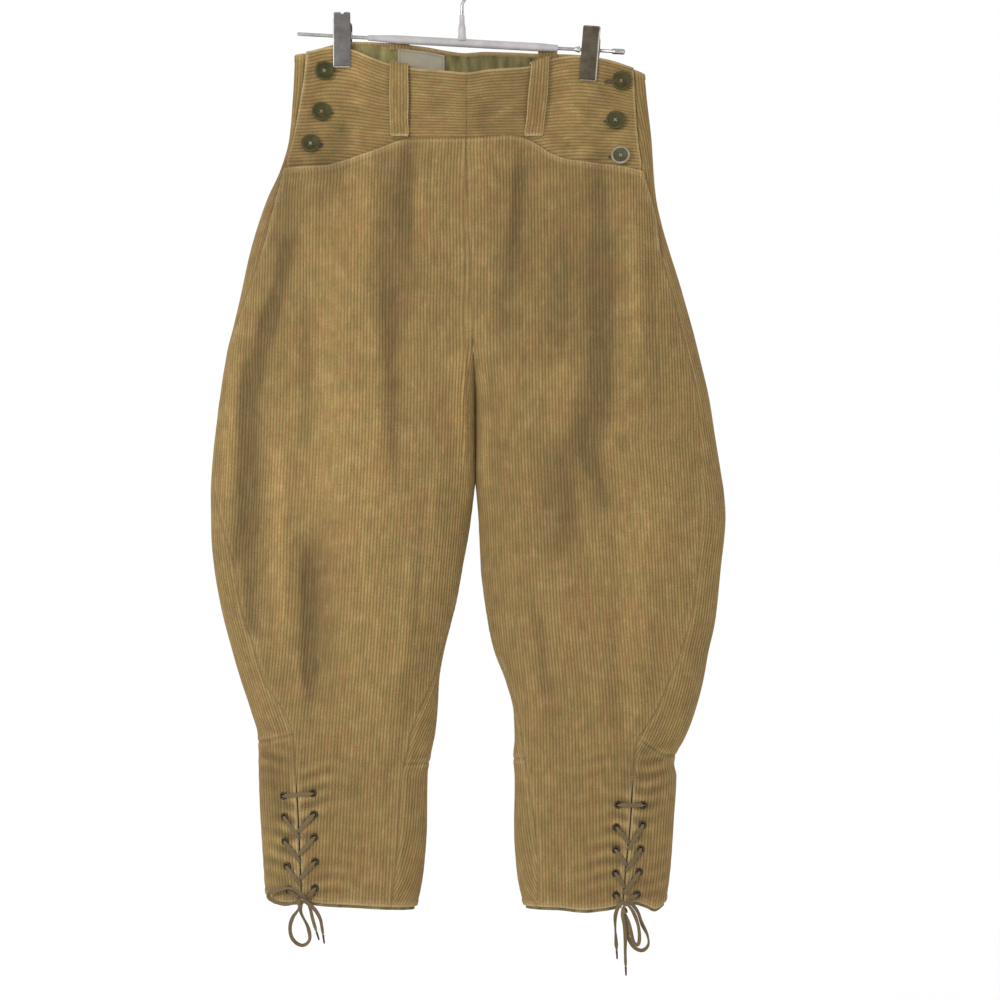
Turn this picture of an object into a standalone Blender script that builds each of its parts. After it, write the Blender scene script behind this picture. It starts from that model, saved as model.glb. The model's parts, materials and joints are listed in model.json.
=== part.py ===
"""Corduroy riding breeches, laced at the calf, hanging from a clip hanger.

Metres, +Z up. The origin is under the crown of the hanger's hook, where the rail it hangs on touches
the wire. The front of the breeches faces -Y. Right and left are the wearer's, so the right leg is on
the -X side. Tables give sizes in millimetres: x is from the hook's axis, and drop is how far a place
lies below the hook's crown.
"""

import math
from typing import NamedTuple

import bmesh
import bpy
import numpy as np
from mathutils import Matrix, Vector
from mathutils.bvhtree import BVHTree

MM = 0.001

# Cloth and seams
CLOTH = 2.0  # corduroy wall
SEAM_GAP = 0.35
TAPE = 0.9  # twill facing and hem tape
TAPE_IN = CLOTH + 1.0  # from the panels' outer side to the hem tape
TAPE_ABOVE, TAPE_BELOW = 12.0, 2.6  # how far the tape reaches above and below the hem
WOVEN_LABEL = 0.5
FACING_IN = CLOTH + 0.6  # from the back panel's outer side to the facing

# Where the breeches are held and where their parts begin, as drops
CROTCH = 456.0
CROTCH_CURVE_TOP = 372.0
PINCH_END = 128.0
BODY_FULL = 268.0
PLACKET_END = 297.0
PLACKET_SHUT = 305.0
SEAM_START = 309.0
SLIT_TOP = 818.0
SLIT_OPEN = 832.0
SLIT_GAP = 3.4

# The body's depth at the waist, half of it in front and half behind
BODY_CENTRE = 4.0
WAIST_FRONT = 24.0
WAIST_BACK = 19.0
SIDE_LOOP = 3.8  # how far the cloth outside each clip stands off
SIDE_LOOP_REACH = 16.0

# Where one layer lies under another. Distances across are from the body's centre
YOKE_TUCKED_FROM, YOKE_TUCKED_TO = 40.0, 58.0  # the yoke's lower edge goes behind the front panel
YOKE_LAPPED_FROM, YOKE_LAPPED_TO = 62.0, 80.0  # and reaches further down behind it
YOKE_LAP = 12.0
YOKE_BEHIND = CLOTH + 1.1
BACK_LAP = 24.0  # of the back panel's front edge, under the yoke and the front panel
BACK_BEHIND_YOKE = 2 * CLOTH + 0.9
BACK_BEHIND_PANEL = 1.7  # further in, under the front panel's placket

# Clips
CLIP_FLAT = 12.0
CLIP_WIDTH = 17.5
CLIP_SHEET = 0.9
CLIP_CLEAR = 0.8  # between a jaw and the cloth, which bellies towards it
PINCH_FRONT = 3.2
PINCH_BACK = 4.4

# Small pieces
BUTTON_RADIUS = 9.5
BUTTON_THICK = 3.0
BUTTON_CLEAR = 0.8
BUTTON_SHANK = 1.9  # thread between the button and the cloth
BUTTON_SHANK_RADIUS = 2.0
EYELET_HOLE = 2.0
EYELET_BARREL = 2.5
EYELET_FLANGE = 4.0
LACE_RADIUS = 1.0
LOOP_WIDTH = 17.5
LOOP_STRIP = 1.8


class LegRow(NamedTuple):
    """One height of a leg. inner is the centre seam above the crotch, and the inside of the leg below."""

    drop: float
    outer: float
    side_seam: float
    inner_seam: float
    inner: float


class BodyRow(NamedTuple):
    """Half depths of the hanging body and how far its edges take to round away, for both legs."""

    drop: float
    front: float
    back: float
    outer_round: float
    inner_round: float


class EdgeRow(NamedTuple):
    """A point of an edge that runs across the garment."""

    x: float
    drop: float


class Fold(NamedTuple):
    """A soft ridge, or a trough where height is negative, between two points of one face."""

    face: str
    x_top: float
    top: float
    x_bottom: float
    bottom: float
    width: float
    height: float


class Spot(NamedTuple):
    """A place on the front face."""

    x: float
    drop: float


class RoutePoint(NamedTuple):
    """A point of a lace's free route."""

    x: float
    y: float
    drop: float


RIGHT_LEG = [
    LegRow(100, -167, -161, 5, 5),
    LegRow(125, -168, -163.5, 5, 5),
    LegRow(147, -169.5, -165, 5, 5),
    LegRow(187, -173, -170, 5, 5),
    LegRow(217, -181.5, -177, 5.5, 5.5),
    LegRow(247, -195, -185, 6.5, 6.5),
    LegRow(297, -211, -200, 8, 8),
    LegRow(347, -222, -211, 10, 10),
    LegRow(397, -234, -218, 11.5, 11.5),
    LegRow(447, -242, -221, 13.2, 13.2),
    LegRow(497, -248, -222.5, 13.2, 13.2),
    LegRow(537, -251, -223.5, 10.5, 10.5),
    LegRow(577, -250.5, -224.5, 3, 3),
    LegRow(617, -247, -224, -4, -4),
    LegRow(647, -242, -219, -8.5, -8),
    LegRow(697, -230, -206, -21, -18),
    LegRow(727, -221, -194, -29, -23),
    LegRow(760, -210, -175, -43, -25),
    LegRow(780, -204, -168, -50, -27),
    LegRow(800, -203, -166, -54, -31),
    LegRow(822, -202.5, -164.5, -59, -35),
    LegRow(867, -201, -162, -62, -36),
    LegRow(917, -198.5, -160, -66, -38.5),
    LegRow(962, -193.5, -158, -71, -47),
]

LEFT_LEG = [
    LegRow(100, 181, 170.5, 5, 5),
    LegRow(125, 183, 172, 5, 5),
    LegRow(147, 185, 173, 5, 5),
    LegRow(187, 189, 175.5, 5, 5),
    LegRow(217, 191, 180, 5.5, 5.5),
    LegRow(247, 194, 189, 6.5, 6.5),
    LegRow(270, 199, 194.5, 7, 7),
    LegRow(297, 207, 197.5, 8, 8),
    LegRow(347, 222, 211, 10, 10),
    LegRow(397, 235, 222.5, 11.5, 11.5),
    LegRow(447, 247, 234, 13.8, 13.8),
    LegRow(497, 255.5, 236.5, 14.3, 14.3),
    LegRow(537, 262, 237, 15, 15),
    LegRow(560, 263.5, 236.5, 16.2, 16.2),
    LegRow(617, 258, 234.5, 18.5, 18.5),
    LegRow(647, 255, 231, 22.5, 22),
    LegRow(697, 246, 218, 34, 32),
    LegRow(727, 237, 206, 46, 42),
    LegRow(760, 227, 191, 56, 50),
    LegRow(787, 219, 174, 60, 52.5),
    LegRow(804, 213.5, 171.5, 62, 51.5),
    LegRow(822, 214, 170, 65, 52.5),
    LegRow(867, 211, 167.5, 72, 52),
    LegRow(917, 208, 162.5, 75.5, 55),
    LegRow(962, 202, 159, 75, 64),
]

BODY = [
    BodyRow(90, 30, 28, 12, 60),
    BodyRow(187, 32, 30, 22, 60),
    BodyRow(230, 35, 33, 42, 60),
    BodyRow(297, 39, 38, 80, 60),
    BodyRow(397, 43, 43, 110, 60),
    BodyRow(456, 44, 44, 118, 62),
    BodyRow(547, 43, 42, 122, 80),
    BodyRow(647, 39, 38, 110, 80),
    BodyRow(727, 34, 32, 88, 66),
    BodyRow(787, 29, 28, 62, 52),
    BodyRow(867, 26, 25, 54, 46),
    BodyRow(962, 23, 23, 48, 42),
]

# Top edge of the front yoke, then of the back, then the front panels' scooped top edge
FRONT_WAIST = [
    EdgeRow(-175, 101),
    EdgeRow(-155, 99.5),
    EdgeRow(-129, 94),
    EdgeRow(-111, 95.5),
    EdgeRow(-75, 108),
    EdgeRow(-35, 115.5),
    EdgeRow(5, 119.5),
    EdgeRow(35, 117.5),
    EdgeRow(64, 113),
    EdgeRow(96, 104),
    EdgeRow(116, 102.5),
    EdgeRow(139, 105.5),
    EdgeRow(171, 115.5),
    EdgeRow(190, 122),
]
BACK_WAIST = [
    EdgeRow(-175, 106),
    EdgeRow(-155, 99.5),
    EdgeRow(-129, 92.5),
    EdgeRow(-105, 90.5),
    EdgeRow(-64, 93.5),
    EdgeRow(-9, 100.5),
    EdgeRow(20, 100.5),
    EdgeRow(77, 98.5),
    EdgeRow(116, 101.5),
    EdgeRow(138, 104.5),
    EdgeRow(171, 115.5),
    EdgeRow(190, 124),
]
PANEL_TOP = [
    EdgeRow(-190, 217),
    EdgeRow(-172, 216),
    EdgeRow(-137, 214.5),
    EdgeRow(-116, 209),
    EdgeRow(-85, 198),
    EdgeRow(-60, 189),
    EdgeRow(-45, 187),
    EdgeRow(5, 187.5),
    EdgeRow(48, 184),
    EdgeRow(60, 186),
    EdgeRow(75, 193.5),
    EdgeRow(90, 203),
    EdgeRow(104, 208),
    EdgeRow(130, 211.5),
    EdgeRow(162, 216),
    EdgeRow(182, 220.5),
    EdgeRow(200, 223),
]
# The seam under the knee that joins each back panel to its calf panel, measured round the ring from
# the side seam (0) over the outer edge (about a quarter) to the inside seam (1)
RIGHT_KNEE = [EdgeRow(0.0, 780), EdgeRow(0.14, 788), EdgeRow(0.55, 797), EdgeRow(0.86, 809), EdgeRow(1.0, 809)]
LEFT_KNEE = [EdgeRow(0.0, 784), EdgeRow(0.15, 802), EdgeRow(0.55, 800), EdgeRow(0.86, 806), EdgeRow(1.0, 804)]
RIGHT_HEM = [EdgeRow(-205, 954), EdgeRow(-158, 953.5), EdgeRow(-110, 955.5), EdgeRow(-40, 958)]
LEFT_HEM = [EdgeRow(50, 956), EdgeRow(93, 953.5), EdgeRow(122, 961), EdgeRow(150, 957), EdgeRow(205, 959)]

FOLDS = [
    Fold("front", -68, 195, -72, 400, 17, -5.0),
    Fold("front", -122, 225, -140, 620, 30, 4.5),
    Fold("front", -215, 400, -205, 640, 13, -5.0),
    Fold("front", -150, 560, -150, 760, 20, -5.0),
    Fold("front", -95, 450, -100, 780, 32, 3.5),
    Fold("front", 55, 190, 45, 400, 17, -4.5),
    Fold("front", 110, 225, 88, 560, 22, -4.5),
    Fold("front", 134, 220, 150, 520, 20, 3.5),
    Fold("front", 128, 440, 96, 620, 20, -5.0),
    Fold("front", 190, 500, 175, 760, 26, 3.5),
    Fold("back", -70, 150, -80, 430, 22, -5.0),
    Fold("back", 80, 150, 88, 430, 22, -5.0),
    Fold("back", -165, 430, -130, 770, 22, -6.0),
    Fold("back", -95, 520, -92, 780, 26, 4.0),
    Fold("back", 180, 430, 150, 770, 22, -6.0),
    Fold("back", 110, 520, 108, 780, 26, 4.0),
]

# Rows that neighbouring leg panels share, so that their seams run side by side. The row KNEE slants
# across the front from one end of the knee seam to the other
KNEE = 790
SHARED_DROPS = [309, 335, 365, 395, 425, 456, 490, 525, 560, 595, 630, 665, 697, 727, 754]
CALF_DROPS = [818, 832, 866, 902, 937]
PLACKET_DROPS = [236, 262, 285, PLACKET_END]  # of the front panel's rows above the placket's end
UPPER_BACK_DROPS = [128, 158, 187, 217, 240, 268, PLACKET_END, PLACKET_SHUT]
# A row that follows an edge starts from about this drop, and is then set by where its points lie
PANEL_TOP_ABOUT = 222.0
YOKE_ABOUT = 150.0
WAIST_ABOUT = 115.0
KNEE_ABOUT = 795.0
HEM_ABOUT = 955.0
YOKE_LEVELS = (0.0, 0.35, 0.68, 0.9, 0.99, 1.0)  # from the yoke's top edge to its lower one
FRONT_COLUMNS = 11
YOKE_COLUMNS = 11
BACK_COLUMNS = 14
CALF_COLUMNS = 15

BUTTONS = {
    "right_1": Spot(-139.5, 115.5),
    "right_2": Spot(-142, 157.5),
    "right_3": Spot(-152, 191),
    "left_1": Spot(159.5, 126),
    "left_2": Spot(154.5, 166.5),
    "left_3": Spot(159, 203.5),
}
# Eyelets from the top pair down: first the pair's outer one on the calf panel, then its inner one
RIGHT_EYELETS = [
    (Spot(-178.5, 843), Spot(-149, 840)),
    (Spot(-177.5, 864), Spot(-148, 861)),
    (Spot(-177, 888.5), Spot(-147.5, 884)),
    (Spot(-175, 913.5), Spot(-147, 908.5)),
    (Spot(-173.5, 937), Spot(-147, 935)),
]
LEFT_EYELETS = [
    (Spot(181, 852), Spot(156, 851.5)),
    (Spot(180.5, 872), Spot(154.5, 874)),
    (Spot(178.5, 896), Spot(153.5, 896.5)),
    (Spot(177, 919), Spot(153.5, 920)),
    (Spot(175, 941.5), Spot(154, 942)),
]
# Drops at which the strands from each pair pass through the slit: the inner one's, then the outer one's
RIGHT_DIVES = [(876, 882), (898, 905), (922, 929)]
LEFT_DIVES = [(887, 893), (909, 915), (931, 937)]

RIGHT_BOW = [
    RoutePoint(-143, -25, 986),
    RoutePoint(-147, -26, 977),
    RoutePoint(-149.5, -27, 965),
    RoutePoint(-151, -28, 953),
    RoutePoint(-154, -29, 943.5),
    RoutePoint(-164, -29, 937),
    RoutePoint(-178, -27, 935),
    RoutePoint(-193, -21, 938),
    RoutePoint(-202.5, -14.5, 943),
    RoutePoint(-200, -17, 949),
    RoutePoint(-186, -25, 951.5),
    RoutePoint(-170, -30, 950),
    RoutePoint(-161, -32, 944),
    RoutePoint(-160, -31.5, 955),
    RoutePoint(-166, -30, 967),
    RoutePoint(-171, -28, 980),
    RoutePoint(-169, -27.5, 991),
    RoutePoint(-162, -27.5, 995),
    RoutePoint(-154, -28, 991),
    RoutePoint(-151.5, -29, 981),
    RoutePoint(-156, -32, 968),
    RoutePoint(-161, -34.5, 954),
    RoutePoint(-157, -35, 943.5),
    RoutePoint(-150, -33, 948),
    RoutePoint(-144, -31, 957),
    RoutePoint(-140, -29, 968),
    RoutePoint(-139, -27, 980),
    RoutePoint(-137.5, -26, 992),
]
LEFT_BOW = [
    RoutePoint(154.5, -25, 1007),
    RoutePoint(155.5, -25.5, 993),
    RoutePoint(155.5, -26.5, 978),
    RoutePoint(154.5, -28, 963),
    RoutePoint(158, -30, 951),
    RoutePoint(167, -30.5, 949),
    RoutePoint(175, -29, 958),
    RoutePoint(179.5, -27.5, 971),
    RoutePoint(185.5, -26.5, 983),
    RoutePoint(186.5, -26, 994),
    RoutePoint(180, -26, 1000.5),
    RoutePoint(171, -26.5, 997),
    RoutePoint(166, -28, 986),
    RoutePoint(164.5, -30, 972),
    RoutePoint(161, -32.5, 956),
    RoutePoint(165.5, -33, 967),
    RoutePoint(168.5, -31.5, 980),
    RoutePoint(171.5, -31, 991),
    RoutePoint(175.5, -31, 993),
    RoutePoint(177, -31.5, 985),
    RoutePoint(175.5, -33, 971),
    RoutePoint(170, -35, 957),
    RoutePoint(163, -36, 950.5),
    RoutePoint(160, -35, 960),
    RoutePoint(162, -33, 974),
    RoutePoint(163, -31, 990),
    RoutePoint(163, -30, 1006),
    RoutePoint(163.5, -29.5, 1021),
]

# Where each lacing's two ends lie behind its bow
RIGHT_KNOT = (RoutePoint(-161.5, -26.9, 941.5), RoutePoint(-153.3, -27.0, 943))
LEFT_KNOT = (RoutePoint(166, -28.1, 948), RoutePoint(157.5, -27.6, 950))

# Hanger
BAR_LEFT_END = (-164.5, 81.0)
BAR_RIGHT_END = (163.0, 99.0)
BAR_RADIUS = 1.8
BAR_TIP_RADIUS = 2.9
BAR_TIP_LENGTH = 13.0
SLEEVE_BORE = 2.15
SLEEVE_RADIUS = 4.2
SLEEVE_END_RADIUS = 2.9
SLEEVE_FROM = -94.0
SLEEVE_TO = 96.0
STEM_RADIUS = 3.7
STEM_TOP_RADIUS = 2.6
STEM_TOP = 62.0
WIRE_RADIUS = 1.6
HOOK_RADIUS = 23.0  # of the wire's centre line
HOOK_TIP_ANGLE = 200.0  # degrees round from the right-hand side, over the crown
HOOK_NECK_RADIUS = 12.0
CLIP_LEVER = 26.0  # above the bar
CLIP_JAW = 30.0  # below the bar
CLIP_BACK_SHIFT = 2.5
CLIPS = {"right": (-120.0, 0.0), "left": (128.0, 4.5)}  # x on the bar, and lean in degrees

CORDUROY = ((0.44, 0.31, 0.13, 1.0), 0.9, 0.0)
TWILL = ((0.16, 0.15, 0.06, 1.0), 0.85, 0.0)
LABEL_CLOTH = ((0.55, 0.50, 0.38, 1.0), 0.8, 0.0)
BUTTON_PLASTIC = ((0.08, 0.08, 0.035, 1.0), 0.35, 0.0)
GREY_PLASTIC = ((0.17, 0.16, 0.11, 1.0), 0.35, 0.0)
EYELET_METAL = ((0.10, 0.08, 0.06, 1.0), 0.45, 0.9)
LACE_COTTON = ((0.20, 0.14, 0.09, 1.0), 0.9, 0.0)
STEEL = ((0.45, 0.45, 0.45, 1.0), 0.3, 1.0)
WHITE_COATING = ((0.75, 0.74, 0.75, 1.0), 0.4, 0.0)


def column(rows, name):
    """One named column of a table."""
    return np.array([getattr(row, name) for row in rows], float)


def through(xs, ys, at):
    """A smooth curve through the points, with no overshoot between them (monotone cubic)."""
    step = np.diff(xs)
    slope = np.diff(ys) / step
    tangent = np.empty(len(xs))
    tangent[0], tangent[-1] = slope[0], slope[-1]
    same_way = slope[:-1] * slope[1:] > 0
    total = np.where(same_way, slope[:-1] + slope[1:], 1.0)
    tangent[1:-1] = np.where(same_way, 2 * slope[:-1] * slope[1:] / total, 0.0)
    at = np.clip(np.asarray(at, float), xs[0], xs[-1])
    i = np.clip(np.searchsorted(xs, at, side="right") - 1, 0, len(step) - 1)
    t = (at - xs[i]) / step[i]
    return (
        ys[i] * (1 + 2 * t) * (1 - t) ** 2
        + step[i] * tangent[i] * t * (1 - t) ** 2
        + ys[i + 1] * t * t * (3 - 2 * t)
        - step[i] * tangent[i + 1] * t * t * (1 - t)
    )


def along(rows, at, xs="x", ys="drop"):
    """The value of one column of a table where another has the value at."""
    return through(column(rows, xs), column(rows, ys), at)


def ease(value, start, end):
    """0 before start, 1 after end, and smooth between."""
    t = np.clip((np.asarray(value, float) - start) / (end - start), 0, 1)
    return t * t * (3 - 2 * t)


def rounding(distance, width):
    """How far cloth has risen this far in from an edge that rounds away over width."""
    left = 1 - np.clip(distance / width, 0, 1)
    return np.sqrt(np.clip(1 - left * left, 0, 1))


def waist_depth(x, pinch, middle):
    """Half depth at the waist: flat in the clips, open between them and a small loop outside them."""
    right, left = CLIPS["right"][0], CLIPS["left"][0]
    centre, half = (right + left) / 2, (left - right) / 2
    inside = np.clip(np.abs(x - centre) / (half - CLIP_FLAT), 0, 1)
    opening = (middle - pinch) * (1 + np.cos(math.pi * inside)) / 2
    outside = ease(np.abs(x - centre) - half, CLIP_FLAT, CLIP_FLAT + SIDE_LOOP_REACH)
    return pinch + opening + SIDE_LOOP * outside


def folds_at(face, x, drop):
    """Height of all folds of a face, at places given by arrays."""
    height = np.zeros(np.broadcast(x, drop).shape)
    for fold in FOLDS:
        if fold.face != face:
            continue
        share = np.clip((drop - fold.top) / (fold.bottom - fold.top), -0.2, 1.2)
        line = fold.x_top + (fold.x_bottom - fold.x_top) * share
        length = fold.bottom - fold.top
        fade = ease(drop, fold.top - 0.12 * length, fold.top + 0.25 * length)
        fade = fade * (1 - ease(drop, fold.bottom - 0.3 * length, fold.bottom + 0.1 * length))
        height = height + fold.height * fade * np.exp(-(((x - line) / fold.width) ** 2))
    return height


class Leg:
    """The outer surface of one leg and its half of the body, as rings at close drops.

    A ring starts at the centre seam or the inside of the leg, runs over the front to the outer edge
    (q from 0 to 1) and back over the rear (q from 1 to 2), evenly spaced along its length.
    """

    STEP = 4.0
    HALF = 160

    def __init__(self, rows, knee, hem):
        self.rows, self.knee, self.hem = rows, knee, hem
        self.way = 1.0 if rows[0].outer > 0 else -1.0
        self.drops = np.arange(86.0, 970.0, self.STEP)
        halves = [self.ring(drop) for drop in self.drops]
        self.points = np.array([np.concatenate([front, back[1:]]) for front, back, _, _ in halves])
        self.front_length = np.array([length for _, _, length, _ in halves])
        self.back_length = np.array([length for _, _, _, length in halves])
        self.normals = self.outward()

    def ring(self, drop):
        """Front and back halves of the ring at one drop, evenly spaced, and their lengths."""
        outer, inner = (along(self.rows, drop, "drop", name) for name in ("outer", "inner"))
        width = abs(outer - inner)
        turn = np.linspace(0, math.pi, 4 * self.HALF)
        x = inner + (outer - inner) * (1 - np.cos(turn)) / 2
        closed = ease(drop, CROTCH_CURVE_TOP, CROTCH)
        from_outer, from_inner = np.abs(outer - x), np.abs(x - inner)
        outer_edge = rounding(from_outer, min(along(BODY, drop, "drop", "outer_round"), 0.62 * width))
        inner_edge = rounding(from_inner, min(along(BODY, drop, "drop", "inner_round"), 0.45 * width))
        halves, lengths = [], []
        for face, pinch, middle in (("front", PINCH_FRONT, WAIST_FRONT), ("back", PINCH_BACK, WAIST_BACK)):
            grown = ease(drop, PINCH_END, BODY_FULL)
            depth = (1 - grown) * waist_depth(x, pinch, middle) + grown * along(BODY, drop, "drop", face)
            depth = depth + folds_at(face, x, drop) * ease(drop, PINCH_END, 190.0)
            depth = depth * outer_edge * (1 - closed * (1 - inner_edge))
            curve = np.column_stack([x, -depth if face == "front" else depth])
            far = np.concatenate([[0], np.cumsum(np.linalg.norm(np.diff(curve, axis=0), axis=1))])
            even = np.linspace(0, far[-1], self.HALF + 1)
            halves.append(np.column_stack([np.interp(even, far, curve[:, k]) for k in (0, 1)]))
            lengths.append(far[-1])
        return halves[0], halves[1][::-1], lengths[0], lengths[1]

    def outward(self):
        """Unit normals of the surface, at every point of every ring."""
        solid = np.concatenate(
            [self.points, np.broadcast_to(-self.drops[:, None, None], self.points.shape[:2] + (1,))], axis=2
        )
        round_it = np.gradient(solid, axis=1)
        joined = self.drops >= CROTCH
        seam = (solid[joined, 1] - solid[joined, -2]) / 2
        round_it[joined, 0], round_it[joined, -1] = seam, seam
        down = np.gradient(solid, axis=0)
        normal = np.cross(down, round_it) * self.way
        return normal / np.linalg.norm(normal, axis=2, keepdims=True)

    def grid(self, table, q, drop):
        """Bilinear look-up in a table over rings and their points."""
        q, drop = np.broadcast_arrays(np.asarray(q, float), np.asarray(drop, float))
        row = np.clip((drop - self.drops[0]) / self.STEP, 0, len(self.drops) - 1.001)
        col = np.clip(np.where(q > 2, q - 2, q) * self.HALF, 0, 2 * self.HALF - 0.001)
        i, j = row.astype(int), col.astype(int)
        a, b = (row - i)[..., None], (col - j)[..., None]
        return (
            table[i, j] * (1 - a) * (1 - b)
            + table[i + 1, j] * a * (1 - b)
            + table[i, j + 1] * (1 - a) * b
            + table[i + 1, j + 1] * a * b
        )

    def place(self, q, drop, offset=0.0):
        """Points of the cloth's outer surface in millimetres, moved out along the normal by offset."""
        flat = self.grid(self.points, q, drop)
        drop = np.broadcast_to(np.asarray(drop, float), flat.shape[:-1])
        normal = self.normal(q, drop)
        return np.concatenate([flat, -drop[..., None]], axis=-1) + normal * np.asarray(offset)[..., None]

    def normal(self, q, drop):
        """Unit normals at places of the surface."""
        normal = self.grid(self.normals, q, drop)
        return normal / np.linalg.norm(normal, axis=-1, keepdims=True)

    def length(self, drop, face="front"):
        """Length of a ring's front or back half."""
        return np.interp(drop, self.drops, self.front_length if face == "front" else self.back_length)

    def q_at(self, x, drop, face="front"):
        """Where the front or back half of a ring crosses x."""
        ring = self.grid(self.points, np.linspace(0, 2, 2 * self.HALF + 1), drop)[:, 0] * self.way
        q = np.linspace(0, 2, 2 * self.HALF + 1)
        if face == "front":
            return float(np.interp(x * self.way, ring[: self.HALF + 1], q[: self.HALF + 1]))
        return float(np.interp(x * self.way, ring[self.HALF :][::-1], q[self.HALF :][::-1]))

    def side(self, drop, gap=SEAM_GAP / 2):
        """q of the side seam or side edge, and the share of q that a gap takes there."""
        return self.q_at(along(self.rows, drop, "drop", "side_seam"), drop), gap / self.length(drop)

    def inside(self, drop):
        """q of the centre seam or the inside-leg seam, on the front half."""
        return self.q_at(along(self.rows, drop, "drop", "inner_seam"), drop) if drop > CROTCH else 0.0


def slit_gap(drop):
    """Half the distance between the front and calf panels: a seam above the slit, open below."""
    return SEAM_GAP / 2 + (SLIT_GAP - SEAM_GAP) / 2 * float(ease(drop, SLIT_TOP, SLIT_OPEN))


def finish_material(name, look):
    """A plain material of one colour, roughness and metallic value."""
    colour, roughness, metallic = look
    material = bpy.data.materials.get(name) or bpy.data.materials.new(name)
    material.use_nodes = True
    shader = material.node_tree.nodes["Principled BSDF"]
    shader.inputs["Base Color"].default_value = colour
    shader.inputs["Roughness"].default_value = roughness
    shader.inputs["Metallic"].default_value = metallic
    return material


def add_object(name, mesh, material, smooth=True):
    """Links a mesh as a named object with its material."""
    obj = bpy.data.objects.new(name, mesh)
    bpy.context.scene.collection.objects.link(obj)
    obj.data.materials.append(material)
    if smooth:
        mesh.shade_smooth()
        mesh.set_sharp_from_angle(angle=math.radians(45))
    return obj


def from_bmesh(name, bm, material, smooth=True):
    """Turns a bmesh into an object with its faces pointing out."""
    bmesh.ops.recalc_face_normals(bm, faces=bm.faces)
    if bm.calc_volume(signed=True) < 0:
        bmesh.ops.reverse_faces(bm, faces=bm.faces)
    mesh = bpy.data.meshes.new(name)
    bm.to_mesh(mesh)
    bm.free()
    return add_object(name, mesh, material, smooth)


def wall(name, outer, inner, material):
    """A closed wall between two grids of points in millimetres, each with rows down and columns across."""
    rows, columns = outer.shape[:2]
    bm = bmesh.new()
    made = bmesh.ops.create_grid(bm, x_segments=columns - 1, y_segments=rows - 1, size=0.5)["verts"]
    copy = bmesh.ops.duplicate(bm, geom=bm.verts[:] + bm.edges[:] + bm.faces[:])
    twin = copy["vert_map"]
    rim = [edge.verts[:] for edge in bm.edges if edge.is_boundary and edge.verts[0] in set(made)]
    inside = {twin[vert] for vert in made}
    bmesh.ops.reverse_faces(bm, faces=[face for face in bm.faces if face.verts[0] in inside])
    for vert in made:
        row = round((0.5 - vert.co.y) * (rows - 1))
        col = round((vert.co.x + 0.5) * (columns - 1))
        twin[vert].co = inner[row, col] * MM
        vert.co = outer[row, col] * MM
    for a, b in rim:
        bm.faces.new((a, b, twin[b], twin[a]))
    return from_bmesh(name, bm, material)


def leg_wall(name, leg, qs, drops, material, offset=0.0, thickness=CLOTH):
    """A cloth wall on a leg's surface, through grids of q and drop. offset lays it in or out."""
    outer = leg.place(qs, drops, np.broadcast_to(offset, qs.shape))
    inner = leg.place(qs, drops, np.broadcast_to(offset, qs.shape) - thickness)
    return wall(name, outer, inner, material)


def front_panel(name, leg, material):
    """Front of a leg, from its scooped top edge to the hem, between the inside and the side seam."""
    share = np.linspace(0, 1, FRONT_COLUMNS)
    qs, drops = [], []
    for level in [PANEL_TOP_ABOUT] + PLACKET_DROPS + SHARED_DROPS + [KNEE] + CALF_DROPS + [HEM_ABOUT]:
        row = np.full(FRONT_COLUMNS, float(level))
        if level == KNEE:
            row = np.linspace(leg.knee[-1].drop, leg.knee[0].drop, FRONT_COLUMNS)
        for _ in range(3):
            edge = [leg.side(d, slit_gap(d)) for d in row]
            start = [leg.inside(d) + SEAM_GAP / 2 / leg.length(d) for d in row]
            q = np.array([s + (e[0] - e[1] - s) * u for s, e, u in zip(start, edge, share)])
            x = leg.grid(leg.points, q, row)[:, 0]
            if level == PANEL_TOP_ABOUT:
                row = along(PANEL_TOP, x) + SEAM_GAP / 2
            elif level == HEM_ABOUT:
                row = along(leg.hem, x)
        qs.append(q)
        drops.append(row)
    return leg_wall(name, leg, np.array(qs), np.array(drops), material)


def yoke(name, leg, material):
    """Front yoke, from the waist edge to under the front panel, and from the centre to the side edge."""
    share = np.linspace(0, 1, YOKE_COLUMNS)
    qs, drops, dive = [], [], []
    for level in YOKE_LEVELS:
        row = np.full(YOKE_COLUMNS, YOKE_ABOUT)
        for _ in range(4):
            edge = [leg.side(d, 0.0)[0] for d in row]
            start = [SEAM_GAP / 2 / leg.length(d) for d in row]
            q = np.array([s + (e - s) * u for s, e, u in zip(start, edge, share)])
            x = leg.grid(leg.points, q, row)[:, 0]
            lapped = ease(np.abs(x - BODY_CENTRE), YOKE_LAPPED_FROM, YOKE_LAPPED_TO)
            top = along(FRONT_WAIST, x)
            seam = along(PANEL_TOP, x) - SEAM_GAP / 2
            row = seam + YOKE_LAP * lapped if level == 1.0 else top + (seam - top) * level
        qs.append(q)
        drops.append(row)
        tucked = ease(np.abs(x - BODY_CENTRE), YOKE_TUCKED_FROM, YOKE_TUCKED_TO)
        dive.append(-YOKE_BEHIND * tucked * ease(row, seam - 9, seam - 1))
    return leg_wall(name, leg, np.array(qs), np.array(drops), material, np.array(dive))


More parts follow.
